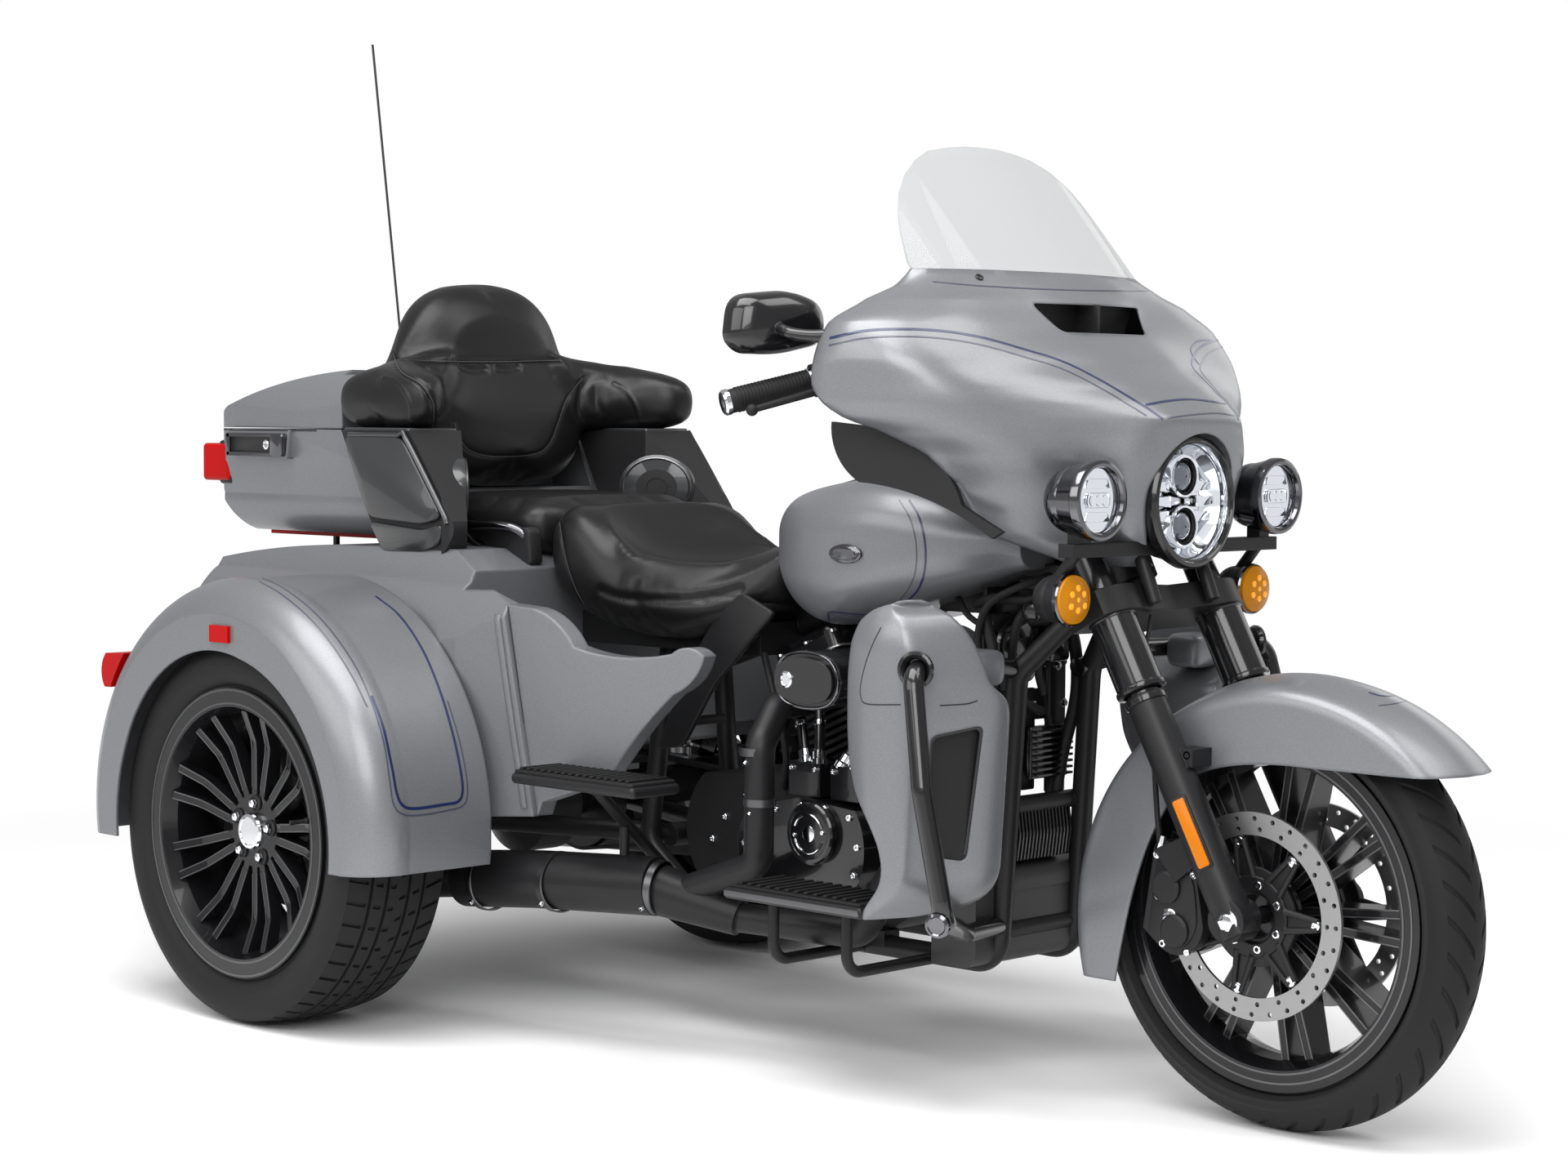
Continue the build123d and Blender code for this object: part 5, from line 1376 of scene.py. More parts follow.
# ------------------------------------------------------------------ fairing and lamps
@dataclass
class Fairing:
    """The fork-mounted fairing with its screen, lamps, controls and mirrors, measured from the front axle.

    Attributes:
        rows: Level lines of the shell: height, then (x, half width) of its back edge, bulge, shoulder and brow,
            and x of its nose.
        pull: How strongly neighbouring rows pull on the slope between two.
        wall: Thickness of the shell.
        head_x: Place of the headlamp.
        head_z: Height of the headlamp.
        head_radius: Radius of the headlamp's hole.
        lamp: Place of the left passing lamp.
        indicator: Place of the left indicator.
        screen_back: How far the screen leans back over its rise.
        screen_rise: Height over which it does.
        navy: Dark painted lines.
        grey: Thin painted lines.
        foot_line: Line at the screen's foot.
        screws: Marks of the screen's screws.
    """

    rows: Table = (
        (1249.0, -501, 266, -462, 215, -440, 160, -426, 80, -419),
        (1225.0, -510, 288, -452, 262, -422, 190, -402, 100, -396),
        (1200.0, -522, 345, -448, 333, -402, 235, -386, 120, -368),
        (1165.0, -530, 412, -438, 392, -378, 270, -356, 104, -350),
        (1113.0, -540, 432, -418, 408, -350, 300, -285, 97, -279),
        (1074.0, -540, 436, -402, 396, -325, 300, -224, 96, -217),
        (1050.0, -525, 430, -396, 390, -310, 290, -188, 95, -182),
        (1028.0, -500, 412, -385, 372, -300, 275, -163, 94, -157),
        (1005.0, -460, 365, -365, 340, -290, 250, -168, 110, -160),
        (971.0, -414, 320, -345, 292, -278, 220, -175, 125, -166),
        (922.0, -393, 275, -340, 245, -285, 190, -189, 129, -178),
        (860.0, -376, 225, -330, 200, -292, 165, -199, 116, -188),
        (810.0, -300, 128, -285, 122, -265, 112, -232, 88, -222),
    )
    pull: float = 0.8
    wall: float = 4.0
    head_x: float = -193.0
    head_z: float = 906.0
    head_radius: float = 97.0
    lamp: Point = (-178.0, 217.0, 911.0)
    indicator: Point = (-228.0, 220.0, 767.0)
    screen_back: float = 190.0
    screen_rise: float = 213.0
    navy: tuple[Line, ...] = (
        Line(((1016, 414), (1060, 405), (1110, 403), (1160, 406), (1205, 414), (1255, 428), (1302, 443), (1350, 467),
              (1405, 500), (1424, 513)), 4.4),
        Line(((1403, 496), (1430, 491), (1460, 489), (1500, 494)), 4.4, both=False),
        Line(((1499, 418), (1480, 416), (1466, 418), (1459, 425), (1460, 434), (1468, 446)), 3.0, both=False, step=3.0),
    )
    grey: tuple[Line, ...] = (
        Line(((1015, 423), (1059, 414), (1109, 412), (1159, 415), (1204, 423), (1254, 437), (1301, 452), (1349, 476),
              (1404, 509)), 2.8),
        Line(((1430, 512), (1460, 508), (1490, 506), (1512, 509)), 2.8, both=False),
    )
    foot_line: Line = Line(((1142, 345), (1200, 350), (1300, 355), (1397, 356), (1474, 353)), 2.6, both=False)
    screws: tuple[Flat, ...] = ((1199, 340), (1397, 347))

    def row_at(self, z: float) -> list[float]:
        """The row of the table at a height, smoothly between its neighbours."""
        rows = self.rows
        for i in range(len(rows) - 1):
            if rows[i + 1][0] <= z <= rows[i][0]:
                b, c = rows[i], rows[i + 1]
                a, d = rows[max(i - 1, 0)], rows[min(i + 2, len(rows) - 1)]
                t = (b[0] - z) / (b[0] - c[0])
                found = [z]
                for k in range(1, 10):
                    before = (c[k] - a[k]) / max(1e-6, a[0] - c[0]) * (b[0] - c[0]) if a is not b else c[k] - b[k]
                    after = (d[k] - b[k]) / max(1e-6, b[0] - d[0]) * (b[0] - c[0]) if d is not c else c[k] - b[k]
                    t2, t3 = t * t, t ** 3
                    start = (2 * t3 - 3 * t2 + 1) * b[k] + (t3 - 2 * t2 + t) * before * self.pull
                    found.append(start + (3 * t2 - 2 * t3) * c[k] + (t3 - t2) * after * self.pull)
                return found
        return list(rows[-1])

    def slice(self, z: float, inset: float = 0.0) -> list[Vector]:
        """One level line round the fairing from its right back edge to its left, drawn in by a wall."""
        _, back, back_half, bulge, bulge_half, shoulder, shoulder_half, brow, brow_half, nose = self.row_at(z)
        right = [(back - 2 * inset, -back_half + inset), (bulge - 0.7 * inset, -bulge_half + 0.7 * inset),
                 (shoulder - 0.8 * inset, -shoulder_half + 0.6 * inset)]
        ridge, tip = (brow - inset, -brow_half + 0.4 * inset), (nose - inset, 0.0)
        middle = ((right[2][0] + ridge[0]) / 2, (right[2][1] + ridge[1]) / 2)
        quarter = (ridge[0] * 0.25 + tip[0] * 0.75, ridge[1] / 2)
        curves = bow(*right, 14) + bow(right[2], middle, ridge, 10) + bow(ridge, quarter, tip, 6)
        line = [Vector(p) for p in curves]
        line.append(Vector(tip))
        for _ in range(2):
            line = [line[0]] + [
                (a + 2 * b + c) / 4 for a, b, c in zip(line, line[1:], line[2:])
            ] + [Vector((line[-1].x, 0))]
        line[-1].x = (line[-2].x + line[-1].x * 2) / 3 + 0.3
        left = [Vector((p.x, -p.y)) for p in reversed(line[:-1])]
        return line + left

    def shell(self) -> bpy.types.Object:
        """Makes the painted shell with its lamp hole and vent."""
        shape = Shape.on_fork("fairing_shell", SILVER)
        heights = sorted({row[0] for row in self.rows} | {810 + 439 * k / 48 for k in range(49)}, reverse=True)
        outer = [[(p.x, p.y, z) for p in self.slice(z)] for z in heights]
        inner = [[(p.x, p.y, z) for p in self.slice(z, self.wall)] for z in heights]
        rows = [a + list(reversed(b)) for a, b in zip(outer, inner)]
        made = shape.rings(rows)
        count = len(rows[0])
        half = count // 2
        for row, flip in ((made[0], False), (made[-1], True)):
            for i in range(half - 1):
                quad = (row[i], row[i + 1], row[count - 2 - i], row[count - 1 - i])
                shape.mesh.faces.new(tuple(reversed(quad)) if flip else quad)
        piece = shape.done(crease_deg=45, replaces=("fairing",))
        cutters = []
        hole = Shape.on_fork("hole_cutter", SILVER)
        hole.lathe(
            ((0, -160), (self.head_radius + 4, -160), (self.head_radius + 4, 90), (0, 90)),
            (self.head_x, 0, self.head_z), FORWARD, 72
        )
        cutters.append(hole.done())
        vent = Shape.on_fork("vent_cutter", SILVER)
        vent.prism(rounded(((-102, 1156), (102, 1156), (129, 1199), (-129, 1199)), 10, 4), -430, -290, "YZ")
        cutters.append(vent.done())
        carve(piece, cutters)
        shade(piece, 45)
        return piece

    def trim(self, shell: bpy.types.Object) -> None:
        """Lays the fairing's painted lines and screen screws, and makes the vent's liner and divider."""
        skin = Skin(shell)
        paint("fairing_line_navy", STRIPE, skin, self.navy, Body.STEERING)
        paint("fairing_line_grey", STRIPE_GREY, skin, self.grey, Body.STEERING)
        paint("screen_lines", STRIPE_GREY, skin, (self.foot_line,), Body.STEERING)
        screws = Shape("screen_screws", GLOSS_BLACK, Body.STEERING)
        origin = Station.REAR_AXLE.at(0, 0, 0)
        for across, down in self.screws:
            for place, normal in skin.seen(((across, down), (across + 0.5, down)), 5)[:1]:
                screws.bolt(tuple((place - origin) / MM), tuple(normal), 6.5, 3.0)
        screws.done()
        liner = Shape.on_fork("vent_liner", PLASTIC)
        liner.prism(((-112, 1148), (112, 1148), (138, 1208), (-138, 1208)), -412, -404, "YZ")
        liner.box((-440, -2.5, 1152), (-360, 2.5, 1200), 1)
        liner.done()

    def screen(self) -> None:
        """Makes the clear screen, swept up and back from the fairing's top line."""
        top = (
            (0, 1450), (40, 1449), (80, 1445), (120, 1438), (160, 1421), (196, 1396), (222, 1366), (242, 1330),
            (255, 1296), (264, 1262), (270, 1249)
        )
        sheet = Shape.on_fork("windscreen_sheet", SCREEN)
        base = self.rows[0][0]
        rows = []
        for outer, inner in zip(self.slice(base), self.slice(base, 4.0)):
            rise = max(5.0, level_at(top, abs(outer.y)) - base)
            ring = []
            for line, steps in ((outer, range(13)), (inner, range(12, -1, -1))):
                for k in steps:
                    up = rise * k / 12
                    ring.append((line.x - self.screen_back * up / self.screen_rise, line.y, base + up))
            rows.append(ring)
        sheet.rows(rows)
        sheet.done(crease_deg=60, replaces=("windscreen",))

    def headlamp(self) -> None:
        """Makes the lamp's bright bowl, two projectors, side wings, rim and clear cover."""
        x, z = self.head_x, self.head_z
        bowl = Shape.on_fork("headlamp_bowl", CHROME)
        bowl.lathe(
            ((84, 1), (80, -6), (66, -24), (40, -30), (0, -31), (0, -34), (44, -33), (68, -28), (82, -9), (86, 0)),
            (x, 0, z), FORWARD, 64
        )
        for s in BOTH_SIDES:
            for level in (-22, 0, 22):
                bowl.prism(
                    rounded(
                        (
                            (s * 30, z + level - 9), (s * 72, z + level - 5), (s * 70, z + level + 6),
                            (s * 30, z + level + 9)
                        ),
                        4, 3
                    ),
                    x - 26, x - 2 - abs(level) * 0.2, "YZ", 2
                )
        bowl.done()
        ring = Shape.on_fork("headlamp_rings", CHROME)
        barrel = Shape.on_fork("headlamp_barrels", SATIN_BLACK)
        eye = Shape.on_fork("headlamp_projectors", PROJECTOR)
        for dz in (37, -37):
            ring.lathe(((27, -24), (32, -22), (33, -4), (31, 0), (28, -1), (27, -6)), (x, 0, z + dz), FORWARD, 40)
            barrel.lathe(((27, -25), (27, -6), (25, -3), (24, -12), (0, -14)), (x, 0, z + dz), FORWARD, 40)
            eye.lathe(dome(24, -13, 14), (x, 0, z + dz), FORWARD, 40)
        ring.lathe(((85, 3), (88, 8), (92, 9), (92, 13), (87, 14), (84.5, 9)), (x, 0, z), FORWARD, 72)
        Shape.finish_all(ring, barrel, eye)
        cover = Shape.on_fork("lamp_covers", COVER)
        cover.lathe(dome(84.2, 6, 13.5, 9) + dome(81.6, 5, 12.4, 9)[::-1], (x, 0, z), FORWARD, 64)
        lx, ly, lz = self.lamp
        for s in BOTH_SIDES:
            cover.lathe(dome(46, -6, 6) + dome(44, -7, 5)[::-1], (lx, s * ly, lz), FORWARD, 48)
        cover.done(replaces=("lamp_lenses",))
        bezel = Shape.on_fork("headlamp_bezel", GLOSS_BLACK)
        bezel.lathe(
            ((97, -6), (100.5, 2), (100, 14), (96, 19), (91, 20), (87.5, 16), (90, 12), (94, 8)), (x, 0, z), FORWARD, 72
        )
        bezel.done()

    def side_lamps(self) -> None:
        """Makes the passing lamps' insides and rims and the indicators' trim."""
        lx, ly, lz = self.lamp
        chrome = Shape.on_fork("passing_lamp_optics", CHROME)
        rim = Shape.on_fork("passing_lamp_rims", DARK_CHROME)
        for s in BOTH_SIDES:
            at = (lx, s * ly, lz)
            chrome.lathe(((46, -8.5), (38, -9), (0, -9.3), (0, -9.8), (46, -9.8)), at, FORWARD, 48)
            chrome.prism(
                rounded(rectangle(s * ly - 26, lz - 11, s * ly + 26, lz + 11), 9, 5), lx - 10, lx - 4.5, "YZ", 1.5
            )
            for dz in (-24, 24):
                chrome.prism(
                    rounded(
                        (
                            (s * ly - 28, lz + dz - 7), (s * ly + 28, lz + dz - 7), (s * ly + 22, lz + dz + 7),
                            (s * ly - 22, lz + dz + 7)
                        ),
                        4, 3
                    ),
                    lx - 10, lx - 6.5, "YZ", 1
                )
            for y in (-14, 0, 14):
                chrome.lathe(((9, -6), (8, -3.4), (4, -2.4), (0, -2.2)), (lx, s * ly + y, lz), FORWARD, 24)
            rim.lathe(
                ((47, -3), (49, 1.5), (53, 2.6), (57.6, 1), (58.6, -4), (58.4, -12), (56.8, -14)), at, FORWARD, 64
            )
        Shape.finish_all(chrome, rim)
        ix, iy, iz = self.indicator
        ring = Shape.on_fork("indicator_rims", DARK_CHROME)
        dots = Shape.on_fork("indicator_lights", AMBER_LIGHT)
        for s in BOTH_SIDES:
            ring.lathe(((37, -7), (39, -5.5), (39.4, 0), (37.4, 2.4)), (ix, s * iy, iz), FORWARD, 40)
            for dy, dz in ((0, 0), (13, 8), (-13, 8), (0, -15), (0, 17), (15, -9), (-15, -9)):
                dots.lathe(((5.5, 8), (5, 12.5), (2.6, 13.6), (0, 13.9)), (ix, s * iy + dy, iz + dz), FORWARD, 14)
        Shape.finish_all(ring, dots)

    def cockpit(self) -> None:
        """Makes dials, grips, caps, mirror heads and mirror glasses."""
        rims, faces = Shape.on_fork("dial_rims", DARK_CHROME), Shape.on_fork("dial_faces", GLOSS_BLACK)
        glass = Shape.on_fork("dial_marks", WHITE_MARK)
        axis = Vector((-0.97, 0, 0.24))
        for y, z, r in ((-72, 1128, 44), (72, 1128, 44), (-168, 1132, 24), (168, 1132, 24)):
            at = Vector((-548 + (70 - abs(y) * 0.42) * 0.9 - 62, y, z))
            rims.lathe(((r - 3, -14), (r + 4, -14), (r + 4, 4), (r + 1, 6), (r - 3, 2)), at, axis, 40)
            faces.lathe(((r - 3, -12), (r - 3, 0), (0, 0.6)), at, axis, 40)
            side, up, along = basis(axis)
            for k in range(11):
                a = math.radians(-130 + 26 * k)
                out = side * math.sin(a) + up * math.cos(a)
                tip, foot = at + out * (r - 6) + along * 0.9, at + out * (r - 12) + along * 0.9
                glass.tube((foot, tip), 0.8, 4)
            glass.tube((at + along * 1.4, at + (side * 0.7 - up * 0.6) * r * 0.72 + along * 1.4), 1.2, 5, 0.5)
        Shape.finish_all(rims, faces, glass)
        ribs = Shape.on_fork("grip_ribs", RUBBER)
        ends = Shape.on_fork("grip_ends", CHROME)
        a, b = Vector((-585, -330, 1092)), Vector((-668, -480, 1050))
        along = (b - a).normalized()
        for k in range(22):
            ribs.lathe(((17.6, -1.8), (19.2, -1.2), (19.2, 1.2), (17.6, 1.8)), a + along * (52 + 5.4 * k), along, 28)
        ends.lathe(((16, -2), (19.5, -1.5), (19.5, 5), (17, 8), (0, 8.5)), b + along * 4, along, 32)
        ends.lathe(((19, -2), (20.5, -1), (20.5, 3), (19, 4)), a + along * 49, along, 32)
        Shape.finish_all(ribs, ends, both=True)
        mirror = Shape.on_fork("mirror_glasses", MIRROR)
        turn = Matrix.Rotation(math.radians(-12), 3, "Z")
        middle = Vector((-640, -408, 1167))
        shell = rounded(((-84, -26), (-76, 40), (20, 50), (80, 30), (84, -30), (0, -48), (-60, -46)), 40, 6)
        heads = Shape.on_fork("mirror_heads", GLOSS_BLACK)
        rings = [
            [middle + turn @ Vector((t, u * size, v * size)) for u, v in shell] for t,
            size in (
                (-22, 0.94), (-26, 0.96), (-25, 1.0), (-10, 1.0), (4, 0.96), (14, 0.85), (21, 0.66), (25, 0.4),
                (26.4, 0.12)
            )
        ]
        heads.rows(rings)
        heads.hose(((-626, -426, 1160), (-590, -430, 1150), (-556, -418, 1146), (-520, -400, 1148)), 8, 8.5, 14, 10)
        heads.mirror().done(crease_deg=50, replaces=("mirrors",))
        outline = rounded(((-76, -24), (-69, 35), (18, 44), (73, 27), (77, -27), (0, -42), (-54, -40)), 36, 6)
        mirror.prism(outline, -26.6, -24, bevel=0.8, place=lambda u, v, t: tuple(middle + turn @ Vector((t, u, v))))
        mirror.mirror().done()

    def build(self) -> None:
        """Builds the fairing and everything on it."""
        shell = self.shell()
        self.trim(shell)
        self.screen()
        self.headlamp()
        self.side_lamps()
        self.cockpit()


# ------------------------------------------------------------------ seats and backrest
@dataclass
class Upholstery:
    """Padded seats in hide, with their seams, measured from the rear axle.

    Attributes:
        voxel: Grid that the pads are remeshed on, in metres.
        swell_cap: How far a pad may swell, in metres.
        rider: Rows of the rider's seat, as seat() takes them.
        pillion: Rows of the pillion's seat.
        pad: Levels of the backrest, as (z, half width, rear, front).
        wing: Sections of its wings, as (y, rear, front, low, high).
    """

    voxel: float = 0.0065
    swell_cap: float = 0.011

    rider: Table = (
        (264, 188, 748, 806, 868, 140, 870), (284, 204, 722, 800, 881, 160, 884), (312, 212, 702, 792, 884, 174, 878),
        (342, 214, 690, 786, 876, 184, 846), (372, 214, 680, 772, 856, 186, 806), (408, 213, 670, 756, 826, 184, 774),
        (450, 212, 665, 738, 800, 178, 760), (510, 208, 664, 726, 784, 166, 758), (570, 203, 665, 722, 778, 154, 762),
        (620, 190, 674, 726, 777, 138, 768), (665, 166, 690, 740, 786, 116, 781), (705, 136, 712, 766, 812, 94, 810),
        (732, 110, 736, 790, 836, 74, 838), (744, 100, 748, 796, 838, 66, 841),
    )
    pillion: Table = (
        (-70, 192, 802, 840, 874, 170, 874), (-50, 198, 800, 842, 882, 174, 884), (20, 206, 797, 842, 880, 178, 886),
        (120, 212, 786, 840, 876, 184, 882), (200, 210, 781, 838, 876, 182, 882), (262, 200, 780, 836, 878, 170, 884),
    )
    pad: Table = (
        (900, 132, -190, -76), (915, 168, -204, -62), (960, 206, -222, -52), (1010, 226, -228, -54),
        (1050, 234, -228, -64), (1092, 228, -228, -84), (1125, 208, -228, -94), (1160, 188, -228, -98),
        (1205, 168, -226, -104), (1242, 134, -220, -114), (1262, 98, -210, -126), (1273, 58, -196, -142),
    )
    wing: Table = (
        (100, -226, -82, 930, 1180), (150, -227, -76, 962, 1156), (182, -227, -62, 988, 1136),
        (210, -226, -30, 1001, 1122), (236, -224, 24, 1003, 1114), (250, -166, 58, 1003, 1111),
        (274, -162, 84, 1003, 1110), (298, -160, 92, 1003, 1107), (316, -158, 91, 1004, 1103),
        (328, -154, 84, 1008, 1096), (334, -140, 66, 1018, 1084),
    )

    def seat(self, name: str, table: Sequence[Spot]) -> bpy.types.Object:
        """Makes a seat's closed form from rows of (x, half width, low, side, rim, rim half, middle)."""
        shape = Shape(name, LEATHER)
        rows = []
        for x, w, low, side, rim, rim_half, middle in table:
            half = [
                (0.0, low), (0.5 * w, low), (0.86 * w, low + 6), (0.97 * w, low + (side - low) * 0.45), (w, side),
                (w * 0.985, side + (rim - side) * 0.62), (rim_half, rim),
                (rim_half * 0.8, (rim * 0.55 + middle * 0.45)), (rim_half * 0.45, middle + (rim - middle) * 0.1)
            ]
            ring = [(x, -y, z) for y, z in half] + [(x, 0.0, middle)] + [(x, y, z) for y, z in reversed(half[1:])]
            rows.append(ring)
        shape.rows(rows)
        return shape.done(level=2)

    def back(self, name: str) -> bpy.types.Object:
        """Makes the backrest's closed form, whose wings run out into two arms."""
        shape = Shape(name, LEATHER)

        def bulge(value: float, power: float) -> float:
            """Signed power, for a squared ring."""
            return math.copysign(abs(value) ** power, value)

        rows = []
        for z, half, rear, front in self.pad:
            cx, d = (rear + front) / 2, (front - rear) / 2
            turns = [math.tau * k / 40 for k in range(40)]
            rows.append([(cx + d * bulge(math.cos(a), 0.62), half * bulge(math.sin(a), 0.7), z) for a in turns])
        shape.rows(rows)
        for s in BOTH_SIDES:
            rows = []
            for y, rear, front, low, high in self.wing:
                cx, d, cz, h = (rear + front) / 2, (front - rear) / 2, (low + high) / 2, (high - low) / 2
                turns = [math.tau * k / 32 for k in range(32)]
                rows.append(
                    [(cx + d * bulge(math.cos(a), 0.6), s * y, cz + h * bulge(math.sin(a), 0.62)) for a in turns]
                )
            shape.rows(rows)
        return shape.done(level=1)

    def puff(self, piece: bpy.types.Object, voxel: float, cap: float, blend: int = 6) -> None:
        """Blows a pad up as stitched cloth, with a cap on how far it may swell, and keeps the result."""
        remesh = piece.modifiers.new("remesh", "REMESH")
        remesh.mode = "VOXEL"
        remesh.voxel_size = voxel
        soften = piece.modifiers.new("soften", "SMOOTH")
        soften.factor = 0.5
        soften.iterations = blend
        apply_modifiers(piece)
        rest = [v.co.copy() for v in piece.data.vertices]
        cloth = piece.modifiers.new("cloth", "CLOTH")
        values = cloth.settings
        values.quality = 4
        values.mass = 0.3
        values.tension_stiffness = values.compression_stiffness = 18
        values.bending_stiffness = 0.8
        values.use_pressure = True
        values.uniform_pressure_force = 4.0
        values.effector_weights.gravity = 0.0
        cloth.point_cache.frame_start, cloth.point_cache.frame_end = 1, 14
        for step in range(1, 15):
            bpy.context.scene.frame_set(step)
        puffed = piece.evaluated_get(bpy.context.evaluated_depsgraph_get())
        moved = [v.co.copy() for v in puffed.data.vertices]
        piece.modifiers.clear()
        bpy.context.scene.frame_set(1)
        for vertex, start, end in zip(piece.data.vertices, rest, moved):
            change = end - start
            vertex.co = start + (change * (cap / change.length) if change.length > cap else change)
        tidy = piece.modifiers.new("soften", "SMOOTH")
        tidy.factor, tidy.iterations = 0.5, 3
        divide = piece.modifiers.new("divide", "SUBSURF")
        divide.levels = divide.render_levels = 1
        apply_modifiers(piece)
        piece.data.materials.clear()
        piece.data.materials.append(LEATHER.material())
        piece.data.shade_smooth()

    def groove(
        self, piece: bpy.types.Object, marks: Sequence[Flat], depth: float, width: float, both: bool = False
    ) -> Trace:
        """Sinks a sewn seam into a pad along view marks.

        Args:
            piece: The pad.
            marks: View marks of the seam.
            depth: Depth in millimetres, below 0 for a raised piping.
            width: Half width in millimetres.
            both: Whether the other side gets the same.

        Returns:
            The seam's places and normals.
        """
        line = Skin(piece).seen(marks, 4)
        tree = KDTree(len(line) * (2 if both else 1))
        spots = [place for place, _ in line] + ([Vector((p.x, -p.y, p.z)) for p, _ in line] if both else [])
        for i, place in enumerate(spots):
            tree.insert(place, i)
        tree.balance()
        reach = width * MM
        if spots:
            for vertex in piece.data.vertices:
                _, _, gap = tree.find(vertex.co)
                if gap < reach * 2.5:
                    vertex.co -= vertex.normal * depth * MM * math.exp(-((gap / reach) ** 2))
        return line

    @staticmethod
    def keep(piece: bpy.types.Object, node: str) -> None:
        """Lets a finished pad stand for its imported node."""
        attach(piece, Body.CHASSIS.value)
        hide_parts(node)

    def stitch(self, name: str, lines: Sequence[Trace], both: bool = True) -> None:
        """Lays a thread bead in the bottom of seams."""
        shape = Shape(name, THREAD)
        for line in lines:
            if len(line) > 3:
                band(shape, line, 1.6, 0.3, None, both)
        shape.done()

    def build(self) -> None:
        """Builds the seats, the backrest and their seams."""
        rider = self.seat("rider_seat_pad", self.rider)
        self.puff(rider, self.voxel, self.swell_cap)
        lines = [
            self.groove(
                rider, ((683, 628), (694, 690), (712, 735), (738, 764), (790, 792), (826, 828), (838, 850)), 3.2, 5.5,
                True
            )
        ]
        self.groove(rider, ((735, 724), (760, 732), (800, 735), (860, 733), (905, 722)), 5.0, 9.0)
        self.groove(rider, ((872, 730), (900, 732), (925, 736)), 1.6, 4.0, True)
        self.keep(rider, "rider_seat")
        pillion = self.seat("pillion_seat_pad", self.pillion)
        self.puff(pillion, self.voxel, self.swell_cap * 0.7)
        self.keep(pillion, "pillion_seat")
        back = self.back("backrest_pad")
        self.puff(back, self.voxel, self.swell_cap, blend=14)
        across = ((496, 440), (530, 442), (600, 443), (650, 442), (686, 441))
        lines.append(self.groove(back, across, 3.4, 6.0))
        self.groove(back, ((566, 449), (580, 452), (594, 451)), 5.5, 8.0)
        self.groove(back, ((610, 451), (622, 452), (634, 449)), 5.5, 8.0)
        lines.append(
            self.groove(back, ((481, 432), (491, 455), (515, 470), (530, 492), (531, 510), (528, 530)), 3.0, 5.0)
        )
        lines.append(
            self.groove(
                back,
                (
                    (556, 518), (562, 534), (574, 551), (603, 559), (651, 557), (672, 545), (684, 517), (694, 489),
                    (713, 463)
                ),
                2.2, 4.0
            )
        )
        self.groove(back, ((470, 462), (484, 466), (497, 482), (503, 500), (503, 520)), -2.4, 3.6)
        self.groove(back, ((752, 470), (766, 478), (777, 493), (785, 516)), -2.4, 3.6)
        self.keep(back, "backrest")
        self.stitch("seat_threads", lines, both=False)


